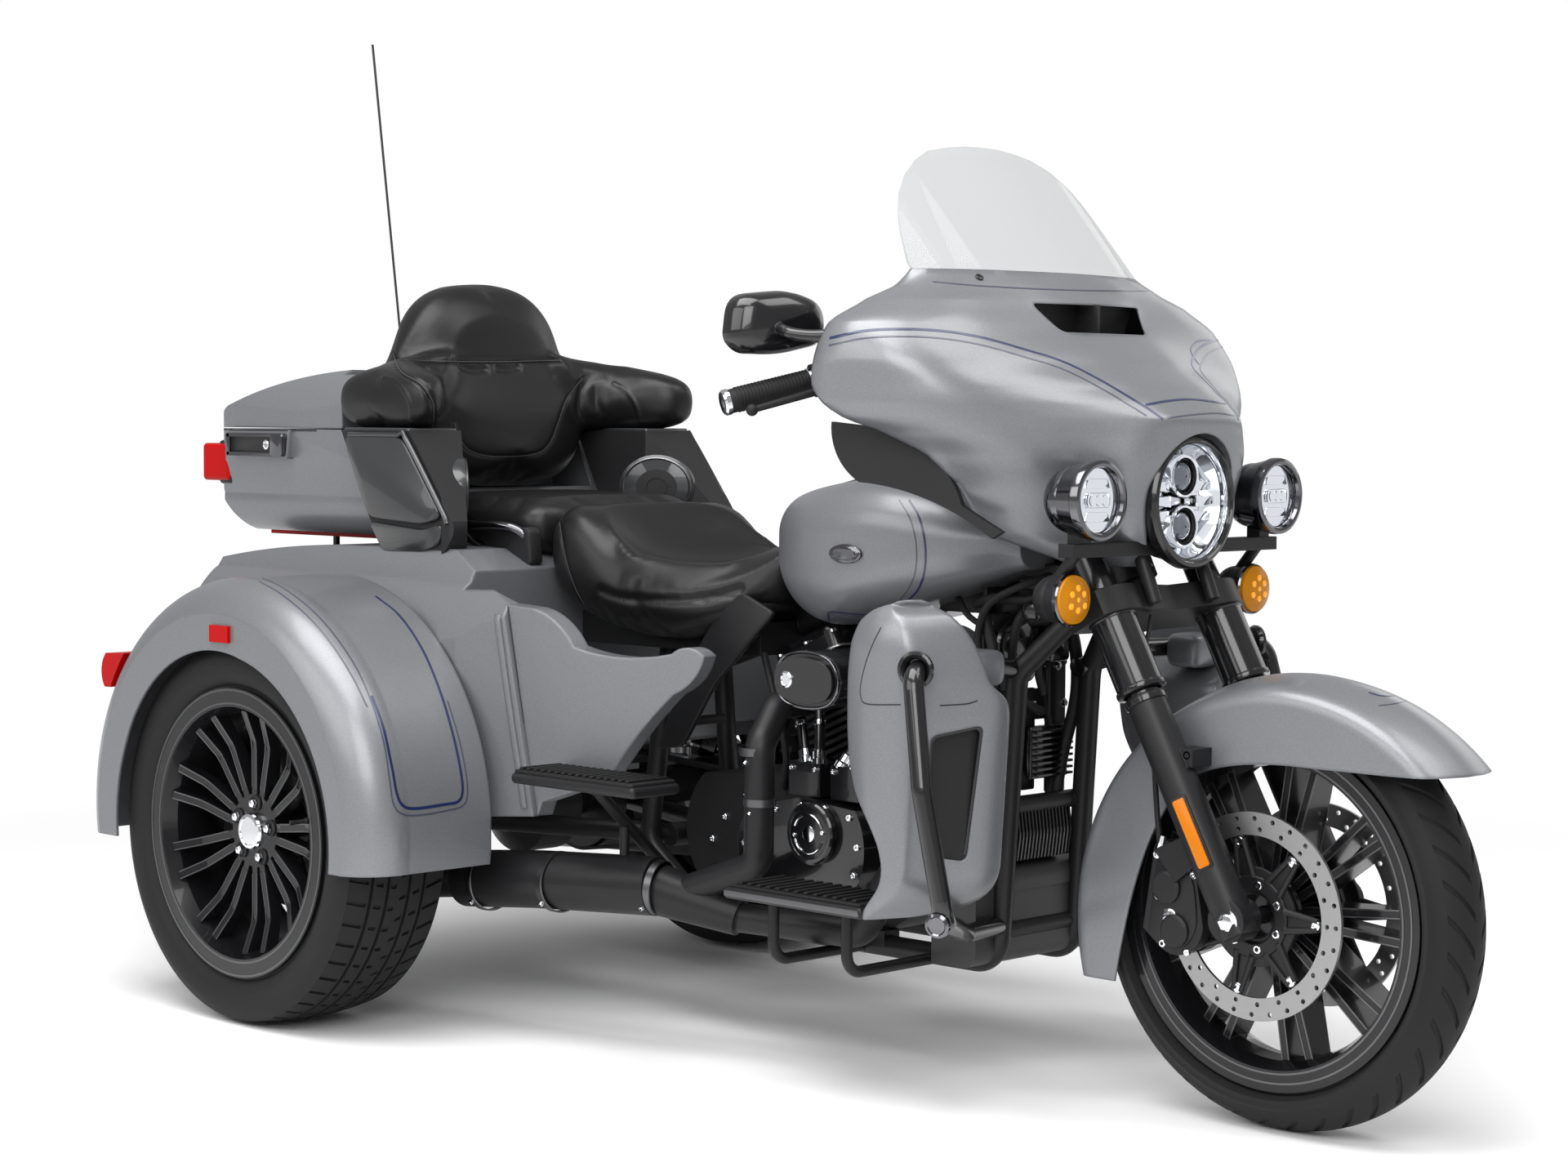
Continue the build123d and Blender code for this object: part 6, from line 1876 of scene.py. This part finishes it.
# ------------------------------------------------------------------ bodywork
@dataclass
class Bodywork:
    """Painted lines, seams, trim and rails of the rear body, the tank and the top case.

    Attributes:
        nodes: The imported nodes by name.
        guard_navy: Dark loop on the rear mudguards.
        guard_grey: Thin lines beside it.
        tank_navy: Dark lines on the tank.
        tank_grey: Thin lines beside them.
    """

    nodes: dict[str, bpy.types.Object]
    guard_navy: tuple[Line, ...] = (
        Line(
            (
                (455, 852), (469, 890), (480, 940), (486, 972), (494, 987), (510, 990), (545, 985), (560, 982),
                (566, 972), (565, 950), (556, 905), (540, 850), (518, 797), (490, 755), (460, 730)
            ),
            4.8
        ),
    )
    guard_grey: tuple[Line, ...] = (
        Line(
            (
                (318, 706), (350, 722), (385, 750), (415, 785), (440, 825), (458, 868), (470, 910), (477, 955),
                (482, 985), (493, 997), (515, 998), (550, 992), (566, 987), (572, 975), (571, 950), (562, 905),
                (548, 858)
            ),
            2.8
        ),
        Line(((318, 712), (345, 728), (378, 756), (408, 792), (432, 830), (450, 866)), 2.8),
    )
    tank_navy: tuple[Line, ...] = (
        Line(((1113, 612), (1126, 635), (1133, 668), (1132, 700), (1124, 722), (1112, 735)), 3.6),
        Line(((1066, 753), (1040, 751), (1018, 749), (1014, 752), (1016, 762)), 2.8, step=3.0),
    )
    tank_grey: tuple[Line, ...] = (
        Line(((1101, 612), (1115, 637), (1122, 668), (1121, 698), (1113, 720), (1101, 735)), 2.0),
        Line(((1066, 758), (1040, 757), (1023, 755), (1021, 762)), 1.8, step=3.0),
    )

    def mudguards(self) -> None:
        """Lays the rear mudguards' painted loops."""
        skin = Skin(self.nodes["rear_mudguards"], self.nodes["rear_body"])
        paint("rear_guard_line_navy", STRIPE, skin, self.guard_navy)
        paint("rear_guard_line_grey", STRIPE_GREY, skin, self.guard_grey)

    def tank(self) -> None:
        """Lays the tank's painted lines and makes its plain medallions, filler cap and console screws."""
        skin = Skin(self.nodes["tank"])
        paint("tank_line_navy", STRIPE, skin, self.tank_navy)
        paint("tank_line_grey", STRIPE_GREY, skin, self.tank_grey)
        badge = Shape("tank_medallions", DARK_CHROME)
        place, normal = skin.seen(((1036, 678), (1037, 678)), 5)[0]
        spot = (place - Station.REAR_AXLE.at(0, 0, 0)) / MM
        side = normal.cross(Vector(UPWARD)).normalized()
        up = side.cross(normal)
        oval = [(34 * math.cos(math.tau * k / 40), 15 * math.sin(math.tau * k / 40)) for k in range(40)]

        def on_tank(a: float, b: float, t: float) -> Spot:
            """A point of the medallion's plane, a level above it."""
            return tuple(spot + side * a + up * b + normal * t)

        badge.prism(oval, -2, 4.0, bevel=2.0, place=on_tank)
        badge.prism([(x * 0.78, z * 0.62) for x, z in oval], 3.6, 5.2, bevel=1.0, place=on_tank)
        badge.mirror().done()
        cap = Shape("filler_cap", CHROME)
        cap.lathe(
            ((37, 8), (39, 10), (39, 18), (36, 22), (28, 24), (27, 22), (12, 22.6), (0, 23)), (1010, 0, 929), UPWARD, 56
        )
        for k in range(28):
            a = math.tau * k / 28
            cap.lathe(((1.5, -3), (1.5, 3)), (1010 + 39 * math.cos(a), 39 * math.sin(a), 943), UPWARD, 6)
        cap.done()
        dial = Shape("console_trim", SATIN_BLACK)
        for x, z in ((828, 916), (900, 928), (1092, 922), (1140, 908)):
            dial.bolt((x, 0, z), UPWARD, 5, 3)
        dial.done()

    def case(self) -> None:
        """Makes the top case's latch, seam line, lamp housings and lower strip."""
        skin = Skin(self.nodes["top_case"], self.nodes["top_case_lid"])
        frame, inset, dark = (Shape("case_latch_frame", DARK_CHROME), Shape("case_latch_key", CHROME),
                              Shape("case_latch_plate", SATIN_BLACK))
        dark.prism(rounded(((-496, 992), (-486, 954), (-320, 950), (-314, 992)), 10, 4), -316, -322, bevel=2)
        for low, high in ((950, 957), (985, 992)):
            frame.prism(rounded(rectangle(-494, low, -320, high), 3, 3), -318, -326, bevel=1.5)
        frame.prism(rounded(rectangle(-496, 950, -484, 992), 3, 3), -318, -326, bevel=1.5)
        frame.prism(rounded(rectangle(-356, 950, -318, 992), 8, 4), -318, -328, bevel=2.5)
        inset.lathe(((9, 0), (9, 3), (6.5, 4.2), (5.8, 2.6), (0, 2.4)), (-374, -320, 971), RIGHTWARD, 28)
        Shape.finish_all(frame, inset, dark)
        line = Shape("case_seam_line", SEAM)
        band(line, skin.side(((-560, 998), (-400, 998), (-240, 998)), Station.REAR_AXLE), 4, 0.3, skin)
        line.done()
        housing = Shape("case_lamp_housings", SATIN_BLACK)
        for y in (-302, 236):
            housing.box((-560, y + 4, 896), (-514, y + 62, 978), 6)
        housing.done()
        strip = Shape("case_lower_strips", SILVER)
        strip.box((-70, -186, 806), (-64, 186, 868), 2)
        strip.done()
        screws = Shape("case_strip_screws", CHROME)
        for y in (-150, 150):
            screws.bolt((-64, y, 848), FORWARD, 4, 2)
        screws.done()

    def pods(self) -> None:
        """Makes the speaker pods' panels, rings and grilles."""
        rings, mesh_ring, panels = (Shape("speaker_rings", STEEL_DARK), Shape("speaker_grilles", CASE_BLACK),
                                    Shape("pod_panels", GLOSS_PANEL))
        out = Vector((0.577, 0.817, 0)).normalized()
        at = Vector((80, -232.8, 896))
        panels.lathe(((0, -50), (66, -48), (73, -8), (71, 2), (65, 5), (0, 1)), at, out, 72, flatten=0.84)
        rings.lathe(((60, -3), (61, 5.5), (63.5, 7.5), (67, 6), (69, 0), (69, -3)), at, out, 72, flatten=0.84)
        mesh_ring.lathe(((61, -3), (58, 2.2), (36, 3.6), (0, 4.2)), at, out, 48, flatten=0.84)
        mesh_ring.lathe(((18, 2), (19, 5.4), (21, 5.4), (22, 2)), at, out, 48, flatten=0.86)
        panels.box((-126, -334, 992), (58, -226, 1004.5), 3)
        face = rounded(((-118, 990), (50, 990), (160, 852), (110, 838), (-48, 848)), 26, 6)
        panels.prism(face, -334, -344, bevel=4)
        lower = rounded(((-46, 840), (112, 830), (158, 842), (150, 806), (104, 792), (-8, 790)), 16, 5)
        panels.prism(lower, -334, -341, bevel=3)
        edge = [Vector((x, -341, z)) for x, z in ((-100, 992), (40, 992), (60, 986), (168, 852), (172, 842))]
        panels.hose(edge, 12, 4.5)
        Shape.finish_all(rings, mesh_ring, panels, both=True)

    def rails(self) -> None:
        """Makes the passenger's hand rails, the stays below them and the pillion's side covers."""
        rail = Shape("hand_rails", DARK_CHROME)
        path = smooth_path(
            (
                (-40, -238, 800), (10, -246, 822), (60, -250, 834), (150, -244, 838), (215, -230, 834),
                (240, -214, 812), (244, -204, 790)
            ),
            10
        )
        rail.tube(path, 7.5, 14)
        rail.mirror().done()
        stay = Shape("seat_side_stays", GLOSS_BLACK)
        stay.hose(((70, -232, 828), (140, -240, 796), (250, -232, 752)), 20, 6)
        stay.mirror().done()
        side = Shape("seat_side_covers", PLASTIC)
        side.prism(rounded(((90, 830), (250, 836), (258, 770), (150, 792)), 12, 4), -198, -226, bevel=4)
        side.mirror().done()

    def seams(self) -> None:
        """Lays the panel joints of the rear body and the side panels."""
        skin = Skin(self.nodes["rear_body"], self.nodes["side_panels"], self.nodes["rear_mudguards"])
        joint = Shape("body_joints", SEAM)
        band(joint, skin.side(((401, 714), (420, 610), (440, 500), (463, 380)), Station.REAR_AXLE), 2.6, 0.3, skin)
        joint.done()
        ridge = Shape("body_ridges", SILVER)
        band(
            ridge, skin.side(((388, 700), (400, 630), (420, 520), (440, 420), (446, 386)), Station.REAR_AXLE), 12, 3.0,
            skin
        )
        ridge.done()

    def rear(self) -> None:
        """Makes the boot door's blank plate with its frame, its handle and its reflectors."""
        plate = Shape("blank_plate", WHITE_MARK, Body.BOOT_DOOR)
        plate.box((-499, -95, 486), (-495, 95, 596), 2)
        plate.done()
        frame = Shape("plate_frame", GLOSS_BLACK, Body.BOOT_DOOR)
        frame.box((-497, -101, 480), (-493, 101, 602), 2)
        frame.box((-505, -60, 604), (-493, 60, 618), 3)
        frame.done()
        handle = Shape("boot_handle", DARK_CHROME, Body.BOOT_DOOR)
        handle.hose(((-493, -70, 676), (-508, -60, 678), (-511, 0, 680), (-508, 60, 678), (-493, 70, 676)), 8, 6, 12)
        handle.lathe(((11, -4), (11, 3), (8, 4.4), (0, 4.6)), (-493, 0, 652), BACKWARD, 28)
        handle.done()
        lamps = Shape("rear_reflectors", RED, Body.BOOT_DOOR)
        for y in (-300, 240):
            lamps.prism(rounded(rectangle(y, 640, y + 60, 660), 8, 4), -492, -498, "YZ", 1.5)
        lamps.done()

    def build(self) -> None:
        """Builds the whole bodywork trim."""
        self.mudguards()
        self.tank()
        self.case()
        self.pods()
        self.rails()
        self.seams()
        self.rear()


# ------------------------------------------------------------------ engine, frame and boards
@dataclass
class Engine:
    """Fasteners, collars, rings, grilles, hoses, boards and lower fairings, measured from the rear axle.

    Attributes:
        crank: Place of the crank, as (x, z).
        cam_y: Outer face of the timing cover.
        cylinder_leans: Lean of each cylinder in degrees.
        intake_at: Middle of the air cleaner, as (x, z).
    """

    crank: Flat = (900.0, 340.0)
    cam_y: float = -186.0
    cylinder_leans: Flat = (22.5, -22.5)
    intake_at: Flat = (952.0, 621.0)

    def timing_side(self) -> None:
        """Makes the timer cover's ring, the pushrod collars and the covers' screws."""
        cx, cz = self.crank
        chrome, dark, screws = (Shape("timer_ring", CHROME), Shape("timer_plate", GLOSS_BLACK),
                                Shape("engine_screws", CHROME))
        at, out = (cx - 2, self.cam_y - 14, cz + 31), RIGHTWARD
        dark.lathe(((49, -12), (50, -2), (47, 1), (41, 2), (40, 0.6), (14, 0.8), (0, 1.6)), at, out, 64)
        eye = (at[0], at[2])
        for start in (20, 200):
            arc = [upright(eye, 31, math.radians(start + 7 * k), at[1] - 1.6) for k in range(21)]
            chrome.tube(arc, 2.0, 8)
        chrome.lathe(((13, -1), (13, 1.5), (10, 2.6), (0, 2.8)), at, out, 36)
        for a in (8, 188):
            screws.bolt(upright(eye, 31, math.radians(a), at[1] - 1), out, 3.6, 2.4)
        for x, z in (
            (86, -30), (94, 18), (76, 66), (20, 76), (-34, 77), (-92, 66), (-142, 54), (-166, 0), (-134, -62),
            (-40, -84), (50, -77)
        ):
            screws.bolt((cx + x * 0.96, self.cam_y, cz + z * 0.94), out, 5.4, 4.0)
        for x, z in ((-250, 60), (-300, 20), (-330, -20), (-262, -62), (-210, 36), (140, 60), (128, -60), (150, 6)):
            screws.bolt((cx + x, -92, cz + z), out, 6.0, 5.0)
        for lean in self.cylinder_leans:
            for dx in (-15, 15):
                low = Vector((cx + math.copysign(40, lean) + dx, self.cam_y + 34, cz + 136))
                rad = math.radians(lean)
                high = Vector((cx + math.sin(rad) * 316 + dx * 2.0, -86, cz + math.cos(rad) * 316))
                along = (high - low).normalized()
                chrome.lathe(((10, -6), (13.5, -5), (13.5, 5), (11, 8), (11, 20), (9, 22)), low, along, 22)
                chrome.lathe(((9, 0), (10.6, 1), (10.6, 8), (9, 9)), low + along * 66, along, 20)
            for dx in (-29, 29):
                screws.bolt((cx + math.copysign(46, lean) + dx * 0.9, self.cam_y + 19, cz + 128), out, 4.6, 4)
        Shape.finish_all(chrome, dark, screws)

    def heads(self) -> None:
        """Makes the rocker covers' screws and edge lines, bright alloy rings that paint the highlight along each
        cover's edge, seen along each cylinder.
        """
        cx, cz = self.crank
        screws, bright = Shape("rocker_screws", CHROME), Shape("head_edge_highlights", EDGE_HIGHLIGHT_ALLOY)
        for lean in self.cylinder_leans:
            turn = Matrix.Rotation(math.radians(lean), 3, "Y")
            for x in (-64, 0, 64):
                for y in (-74, 74):
                    foot = Vector((cx, 0, cz)) + turn @ Vector((x, y, 342))
                    screws.bolt(foot, turn @ Vector(UPWARD), 6, 6)
            # A bright ring round the cover's edge, drawn in as the edge's painted highlight.
            ring = [
                Vector((cx, 0, cz)) + turn @ Vector((x, y, 317)) for x,
                y in rounded(((-76, -85), (76, -85), (76, 85), (-76, 85)), 22, 5)
            ]
            bright.tube(ring, 2.2, 6, closed=True)
        Shape.finish_all(screws, bright)

    def drive_side(self) -> None:
        """Makes the primary cover's ring, plates and screws on the left."""
        cx, cz = self.crank
        ring, screws = Shape("clutch_ring", DARK_CHROME), Shape("primary_screws", CHROME)
        ring.lathe(
            ((61, -3), (64, 1), (64, 8), (60, 11), (56, 9), (20, 10.5), (0, 11)), (cx - 195, 170, cz - 4), LEFTWARD, 64
        )
        for k in range(5):
            a = math.tau * k / 5
            screws.bolt(upright((cx - 195, cz - 4), 50, a, 179), LEFTWARD, 4, 2.6)
        for x, z in (
            (104, 6), (88, 62), (0, 70), (-110, 74), (-222, 76), (-282, 22), (-256, -62), (-150, -86), (-60, -80),
            (40, -76), (96, -50)
        ):
            screws.bolt((cx + x, 146, cz + z), LEFTWARD, 5.4, 4)
        Shape.finish_all(ring, screws)

    def intake(self) -> None:
        """Makes the air cleaner's rim and its centre screw."""
        rim, screw = Shape("air_cleaner_rim", DARK_CHROME), Shape("air_cleaner_screw", CHROME)
        middle = self.intake_at
        face = smooth_path(
            ((-52, -36), (0, -46), (52, -36), (72, 0), (52, 36), (0, 46), (-52, 36), (-72, 0)), 6, closed=True
        )
        rim.tube([(middle[0] + p.x * 0.94, -263, middle[1] + p.y * 0.93) for p in face], 2.2, 8, closed=True)
        screw.lathe(((13, -2), (13, 2), (10, 3.6), (9, 2.2), (0, 2)), (middle[0] - 34, -272, middle[1]), RIGHTWARD, 30)
        Shape.finish_all(rim, screw)

    def exhaust(self) -> None:
        """Makes the exhaust's clamps with their screws, and its hollow tips, each closed just inside its mouth by a
        dark disc that paints the shade of the bore.
        """
        bands, tips, inside = (Shape("exhaust_clamps", STEEL_DARK), Shape("exhaust_tips", DARK_CHROME),
                               Shape("exhaust_tip_bore_shades", SATIN_BLACK))
        screws = Shape("exhaust_clamp_screws", CHROME)
        for place, along, radius in (
            ((838, -250, 420), UPWARD, 24.5), ((830, -252, 500), UPWARD, 24.5),
            ((655, -296, 268), (-0.9, -0.3, 0.08), 43.5), ((470, -344, 262), (-1, 0.0, -0.02), 49.0),
            ((300, -352, 246), (-1, 0, -0.06), 49.0)
        ):
            bands.lathe(((radius - 1, -7), (radius + 1.6, -6), (radius + 1.6, 6), (radius - 1, 7)), place, along, 40)
            screws.bolt((place[0], place[1] - radius * 0.8, place[2] - radius * 0.62), (0, -0.8, -0.6), 4, 7)
        tips.lathe(
            ((31, -70), (34.5, -68), (35.5, 0), (35, 4), (32.4, 4.4), (30.5, 1)), (-330, -352, 206), (-1, 0, -0.05), 44
        )
        # A dark disc just inside each tip's mouth: painted shade standing for the dark bore.
        inside.lathe(((31, 0.6), (22, 0.4), (0, 0.2)), (-330.4, -352, 206), (-1, 0, -0.05), 44)
        Shape.finish_all(bands, tips, inside, screws, both=True)

    def boards(self) -> None:
        """Makes the footboards' ribbed rubbers, edge strips and screws, and the pedal rubbers."""
        rubber, edge, screws = (Shape("board_rubbers", RUBBER), Shape("board_edges", STEEL_DARK),
                                Shape("board_screws", CHROME))
        rubber.box((908, -384, 307), (1182, -272, 312), 2.5)
        for k in range(13):
            x = 918 + 20 * k
            rubber.box((x, -378, 311), (x + 9, -278, 316), 1.5)
        edge.box((904, -393.5, 295), (1186, -390.5, 304), 1.2)
        edge.mirror().done()
        rubber.box((516, -484, 457), (794, -390, 463), 2.5)
        for k in range(16):
            x = 524 + 16.6 * k
            rubber.box((x, -480, 462), (x + 8, -394, 467), 1.5)
        rubber.box((1194, -326, 354), (1210, -244, 360), 2)
        for x in (930, 1160):
            screws.bolt((x, -330, 290.5), (0, 0, -1), 7, 5)
        Shape.finish_all(rubber, screws, both=True)
        hinge = Shape("rear_board_brackets", SATIN_BLACK)
        hinge.hose(((600, -400, 446), (640, -430, 438), (700, -436, 440)), 12, 8)
        hinge.box((560, -404, 426), (660, -392, 442), 3)
        hinge.mirror().done()

    def frame_covers(self) -> None:
        """Makes the side covers behind the engine, hoses, the oil cooler's fins and the spring coils."""
        cover = Shape("frame_side_covers", SATIN_BLACK)
        cover.prism(
            rounded(((500, 470), (560, 478), (640, 590), (776, 712), (700, 742), (640, 700), (570, 610)), 14, 4), -148,
            -158, bevel=3
        )
        for x, z in ((560, 520), (716, 716)):
            cover.tube(((x, -150, z), (x, -60, z)), 8, 10)
        cover.mirror().done()
        hose = Shape("engine_hoses", RUBBER)
        for path, radius in (
            (((1150, -60, 640), (1166, -78, 560), (1150, -92, 470), (1110, -98, 400)), 7),
            (((1140, 52, 700), (1160, 60, 600), (1176, 64, 500), (1180, 50, 430)), 8),
            (((700, -104, 640), (740, -116, 560), (760, -112, 480), (742, -98, 420)), 6),
            (((1090, -70, 752), (1130, -84, 720), (1180, -70, 700), (1210, -40, 720)), 5),
        ):
            hose.hose(path, 12, radius)
        hose.done()
        brake = Shape.on_fork("brake_hoses", RUBBER)
        brake.hose(
            (
                (-232, -84, 738), (-218, -104, 690), (-176, -106, 620), (-166, -104, 540), (-160, -104, 470),
                (-146, -112, 404)
            ),
            10, 4.2
        )
        brake.mirror()
        brake.hose(
            ((-250, -76, 756), (-232, -104, 704), (-206, -108, 650), (-198, -84, 700), (-208, -60, 738)), 8, 3.4, 8
        )
        brake.done()
        fitting = Shape.on_fork("brake_hose_fittings", CHROME)
        fitting.lathe(((7, -8), (7, 8), (5, 9), (5, 20)), (-146, -112, 404), (0.2, 0.05, 0.97), 6)
        fitting.mirror().done()
        fins = Shape("oil_cooler_fins", GLOSS_BLACK)
        for k in range(17):
            y = -66 + 8.2 * k
            fins.prism(
                rounded(((1196, 350), (1208, 344), (1214, 386), (1208, 430), (1196, 424)), 6, 3), y - 1.5, y + 1.5
            )
        fins.done()
        coils = Shape("spring_coils", STEEL)
        path = [(-30 + 36 * math.cos(t * 0.5), -384 + 36 * math.sin(t * 0.5), 376 + t * 1.72) for t in range(92)]
        coils.tube(path, 4.6, 8)
        coils.mirror().done()

    def shells(self) -> bpy.types.Object:
        """Makes the two domed shells of the lower fairings."""
        back = (
            (292, 1225), (304, 1205), (332, 1236), (350, 1250), (376, 1254), (410, 1245), (440, 1225), (480, 1183),
            (520, 1160), (570, 1151), (620, 1150), (660, 1153), (700, 1164), (732, 1186), (750, 1215), (764, 1262)
        )
        front = (
            (292, 1240), (312, 1300), (330, 1326), (345, 1338), (362, 1346), (600, 1362), (660, 1360), (700, 1352),
            (725, 1342), (742, 1328), (755, 1306), (764, 1274)
        )
        inner = ((292, -240), (600, -240), (618, -246), (640, -290), (680, -300), (716, -310), (764, -330))
        outer = ((1120, -384), (1150, -388), (1190, -407), (1228, -420), (1266, -418), (1304, -404), (1400, -380))
        shape = Shape("lower_fairing_shells", SILVER)
        rows = []
        for k in range(81):
            z = 292 + 472 * math.sin(math.pi / 2 * k / 80)
            x0, x1, y1 = level_at(back, z), level_at(front, z), level_at(inner, z)
            xa = max(x1 - 56, x0 + 4)
            ya = level_at(outer, xa)
            yf = min(ya + (x1 - xa) * 2.18, y1 - 6)
            xf = xa + (yf - ya) / 2.18
            corners = [
                (x0, y1), *((x0 + (xa - x0) * t / 5, level_at(outer, x0 + (xa - x0) * t / 5)) for t in range(6)),
                (xf, yf), (xf - 5, y1)
            ]
            swell = 0.22 + 0.78 * math.sqrt(max(0.0, 1 - max(0.0, (z - 684) / 80.5) ** 2))
            rows.append([(x, -358 + (y + 358) * swell, z) for x, y in rounded(corners, 20, 4)])
        piece = shape.rows(rows).mirror().done(crease_deg=50, replaces=("lower_fairings",))
        soften = piece.modifiers.new("soften", "SMOOTH")
        soften.factor, soften.iterations = 0.5, 12
        wall = piece.modifiers.new("wall", "SOLIDIFY")
        wall.thickness, wall.offset = 0.004, -1.0
        apply_modifiers(piece)
        return piece

    def lowers(self) -> None:
        """Makes the lower fairings' cap seams, grilles and frames, and the guard's bright ends."""
        a, b = Vector((1302, -404, 0)), Vector((1358, -282, 0))
        along = (b - a).normalized()
        out = Vector((along.y * -1, along.x, 0)) * -1

        def on_face(s: float, z: float, t: float) -> Spot:
            """A point of the slanted front face."""
            return tuple(a + along * s + out * t + Vector((min(0.0, (z - 600) * 0.067), 0, z)))

        shells = self.shells()
        hole = Shape("grille_cutter", SILVER)
        hole.prism(rounded(((30, 396), (96, 385), (112, 585), (28, 571)), 14, 6), -20, 14, place=on_face).mirror()
        carve(shells, [hole.done()])
        shade(shells, 50)
        skin = Skin(shells)
        seam = Shape("lower_cap_seams", SEAM)
        band(
            seam,
            skin.seen(((1079, 768), (1069, 788), (1060, 812), (1054, 838), (1054, 853), (1062, 862), (1103, 863)), 4),
            2.2, 0.25, skin
        )
        band(seam, skin.seen(((1151, 864), (1183, 862), (1197, 858)), 4), 2.2, 0.25, skin)
        seam.done()
        rim, wires = Shape("grille_frames", GLOSS_BLACK), Shape("grille_meshes", CASE_BLACK)
        outer = rounded(((26, 392), (100, 380), (116, 590), (24, 576)), 16, 6)
        inner = rounded(((34, 400), (92, 390), (107, 580), (32, 567)), 12, 6)
        rim.rings(
            [[on_face(s, z, t) for s, z in ring] for ring, t in ((outer, -3), (outer, 1.6), (inner, 1.6), (inner, -14))]
        )
        for k in range(24):
            z = 394 + 8 * k
            wires.tube((on_face(32, z, -16), on_face(108, z, -16)), 0.9, 5)
        for k in range(10):
            s = 34 + 8 * k
            wires.tube((on_face(s, 388, -17), on_face(s + 4, 582, -17)), 0.9, 5)
        Shape.finish_all(rim, wires, both=True)
        ends = Shape("guard_ends", DARK_CHROME)
        ends.lathe(
            ((0, -4), (16, -4), (19, -1), (18, 5), (14, 8), (12, 6), (0, 5)), (1382, -436, 312), (0.35, -0.93, -0.1), 32
        )
        ends.mirror().done()
        mouths = Shape("guard_mouths", GLOSS_BLACK)
        mouths.lathe(
            ((15.4, -10), (24, -8), (27.5, -2), (27, 3), (23, 5), (18, 2), (15.4, -2)), (1312, -410, 668),
            (0.36, -0.93, 0.0), 40
        )
        mouths.mirror().done()
        pods = Shape("lower_inner_pods", SILVER)
        pods.box((1262, -306, 634), (1334, -226, 690), 14)
        pods.mirror().done(level=1)

    def front_frame(self) -> None:
        """Fills the space behind the forks: plates, a horn, a finned regulator, brackets with their screws, and hoses.
        """
        plate, trim, pipes, bright = (
            Shape("front_frame_plates", SATIN_BLACK), Shape("horn_and_regulator", GLOSS_BLACK),
            Shape("front_hoses", RUBBER), Shape("front_bracket_screws", CHROME)
        )
        for low, high in (
            ((1150, -92, 556), (1162, 96, 604)), ((1160, -104, 640), (1172, 104, 662)),
            ((1166, -100, 700), (1178, 100, 728)), ((1162, -104, 440), (1174, -78, 724)),
            ((1162, 56, 440), (1174, 98, 724)), ((1150, -50, 600), (1160, -10, 720)),
            ((1196, -50, 744), (1284, 50, 806)), ((1210, -64, 766), (1266, 64, 784)), ((1152, 8, 446), (1160, 40, 606)),
            ((1140, -70, 660), (1150, 60, 770)), ((1030, -44, 724), (1196, 44, 757))
        ):
            plate.box(low, high, 3)
        trim.lathe(
            ((0, -12), (34, -10), (44, -2), (46, 4), (42, 8), (30, 4), (12, 6), (0, 7)), (1184, -44, 676), FORWARD, 48
        )
        trim.lathe(((15, 5), (13, 14), (0, 15)), (1184, -44, 676), FORWARD, 24)
        trim.box((1172, 0, 466), (1184, 92, 548), 3)
        for k in range(8):
            trim.box((1183, 2, 470 + 9.6 * k), (1196, 90, 474 + 9.6 * k), 1)
        trim.box((1180, 14, 650), (1206, 70, 706), 6)
        trim.box((1222, -76, 722), (1262, -40, 748), 6)
        for path, radius in (
            (((1170, -96, 724), (1196, -104, 660), (1190, -98, 560), (1176, -84, 470), (1186, -80, 432)), 9),
            (((1160, 74, 740), (1196, 84, 690), (1204, 86, 600), (1190, 70, 500), (1188, 56, 436)), 10),
            (((1240, -30, 760), (1216, -70, 720), (1196, -60, 640), (1190, -20, 590), (1180, 30, 570)), 7),
            (((1236, 34, 760), (1214, 20, 716), (1202, -6, 650), (1190, 20, 600)), 6),
            (((1130, -70, 740), (1180, -88, 752), (1232, -66, 752), (1262, -36, 770)), 8),
            (((1262, -44, 790), (1240, -84, 776), (1190, -110, 744), (1170, -112, 690), (1180, -110, 640)), 6),
            (((1120, 60, 770), (1180, 76, 764), (1240, 60, 760)), 9),
        ):
            pipes.hose(path, 10, radius, 12)
        for y, z in (
            (-92, 460), (-92, 640), (-92, 712), (74, 460), (74, 640), (74, 712), (-30, 580), (30, 580), (90, 580)
        ):
            bright.bolt((1175 if abs(y) > 70 else 1162, y, z), FORWARD, 5.5, 5, socket=False)
        Shape.finish_all(plate, trim, pipes, bright)

    def build(self) -> None:
        """Builds all of the engine's trim."""
        self.timing_side()
        self.heads()
        self.drive_side()
        self.intake()
        self.exhaust()
        self.boards()
        self.frame_covers()
        self.front_frame()
        self.lowers()


def main() -> None:
    """Loads the frame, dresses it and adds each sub-assembly."""
    logging.basicConfig(level=logging.INFO, format="%(message)s")
    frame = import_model()
    for name, node in frame["nodes"].items():
        dress(node, NODE_FINISH[name])
    Studio().build()
    Wheels().build(frame)
    Fairing().build()
    Engine().build()
    Bodywork(frame["nodes"]).build()
    Upholstery().build()


if __name__ == "__main__":
    main()
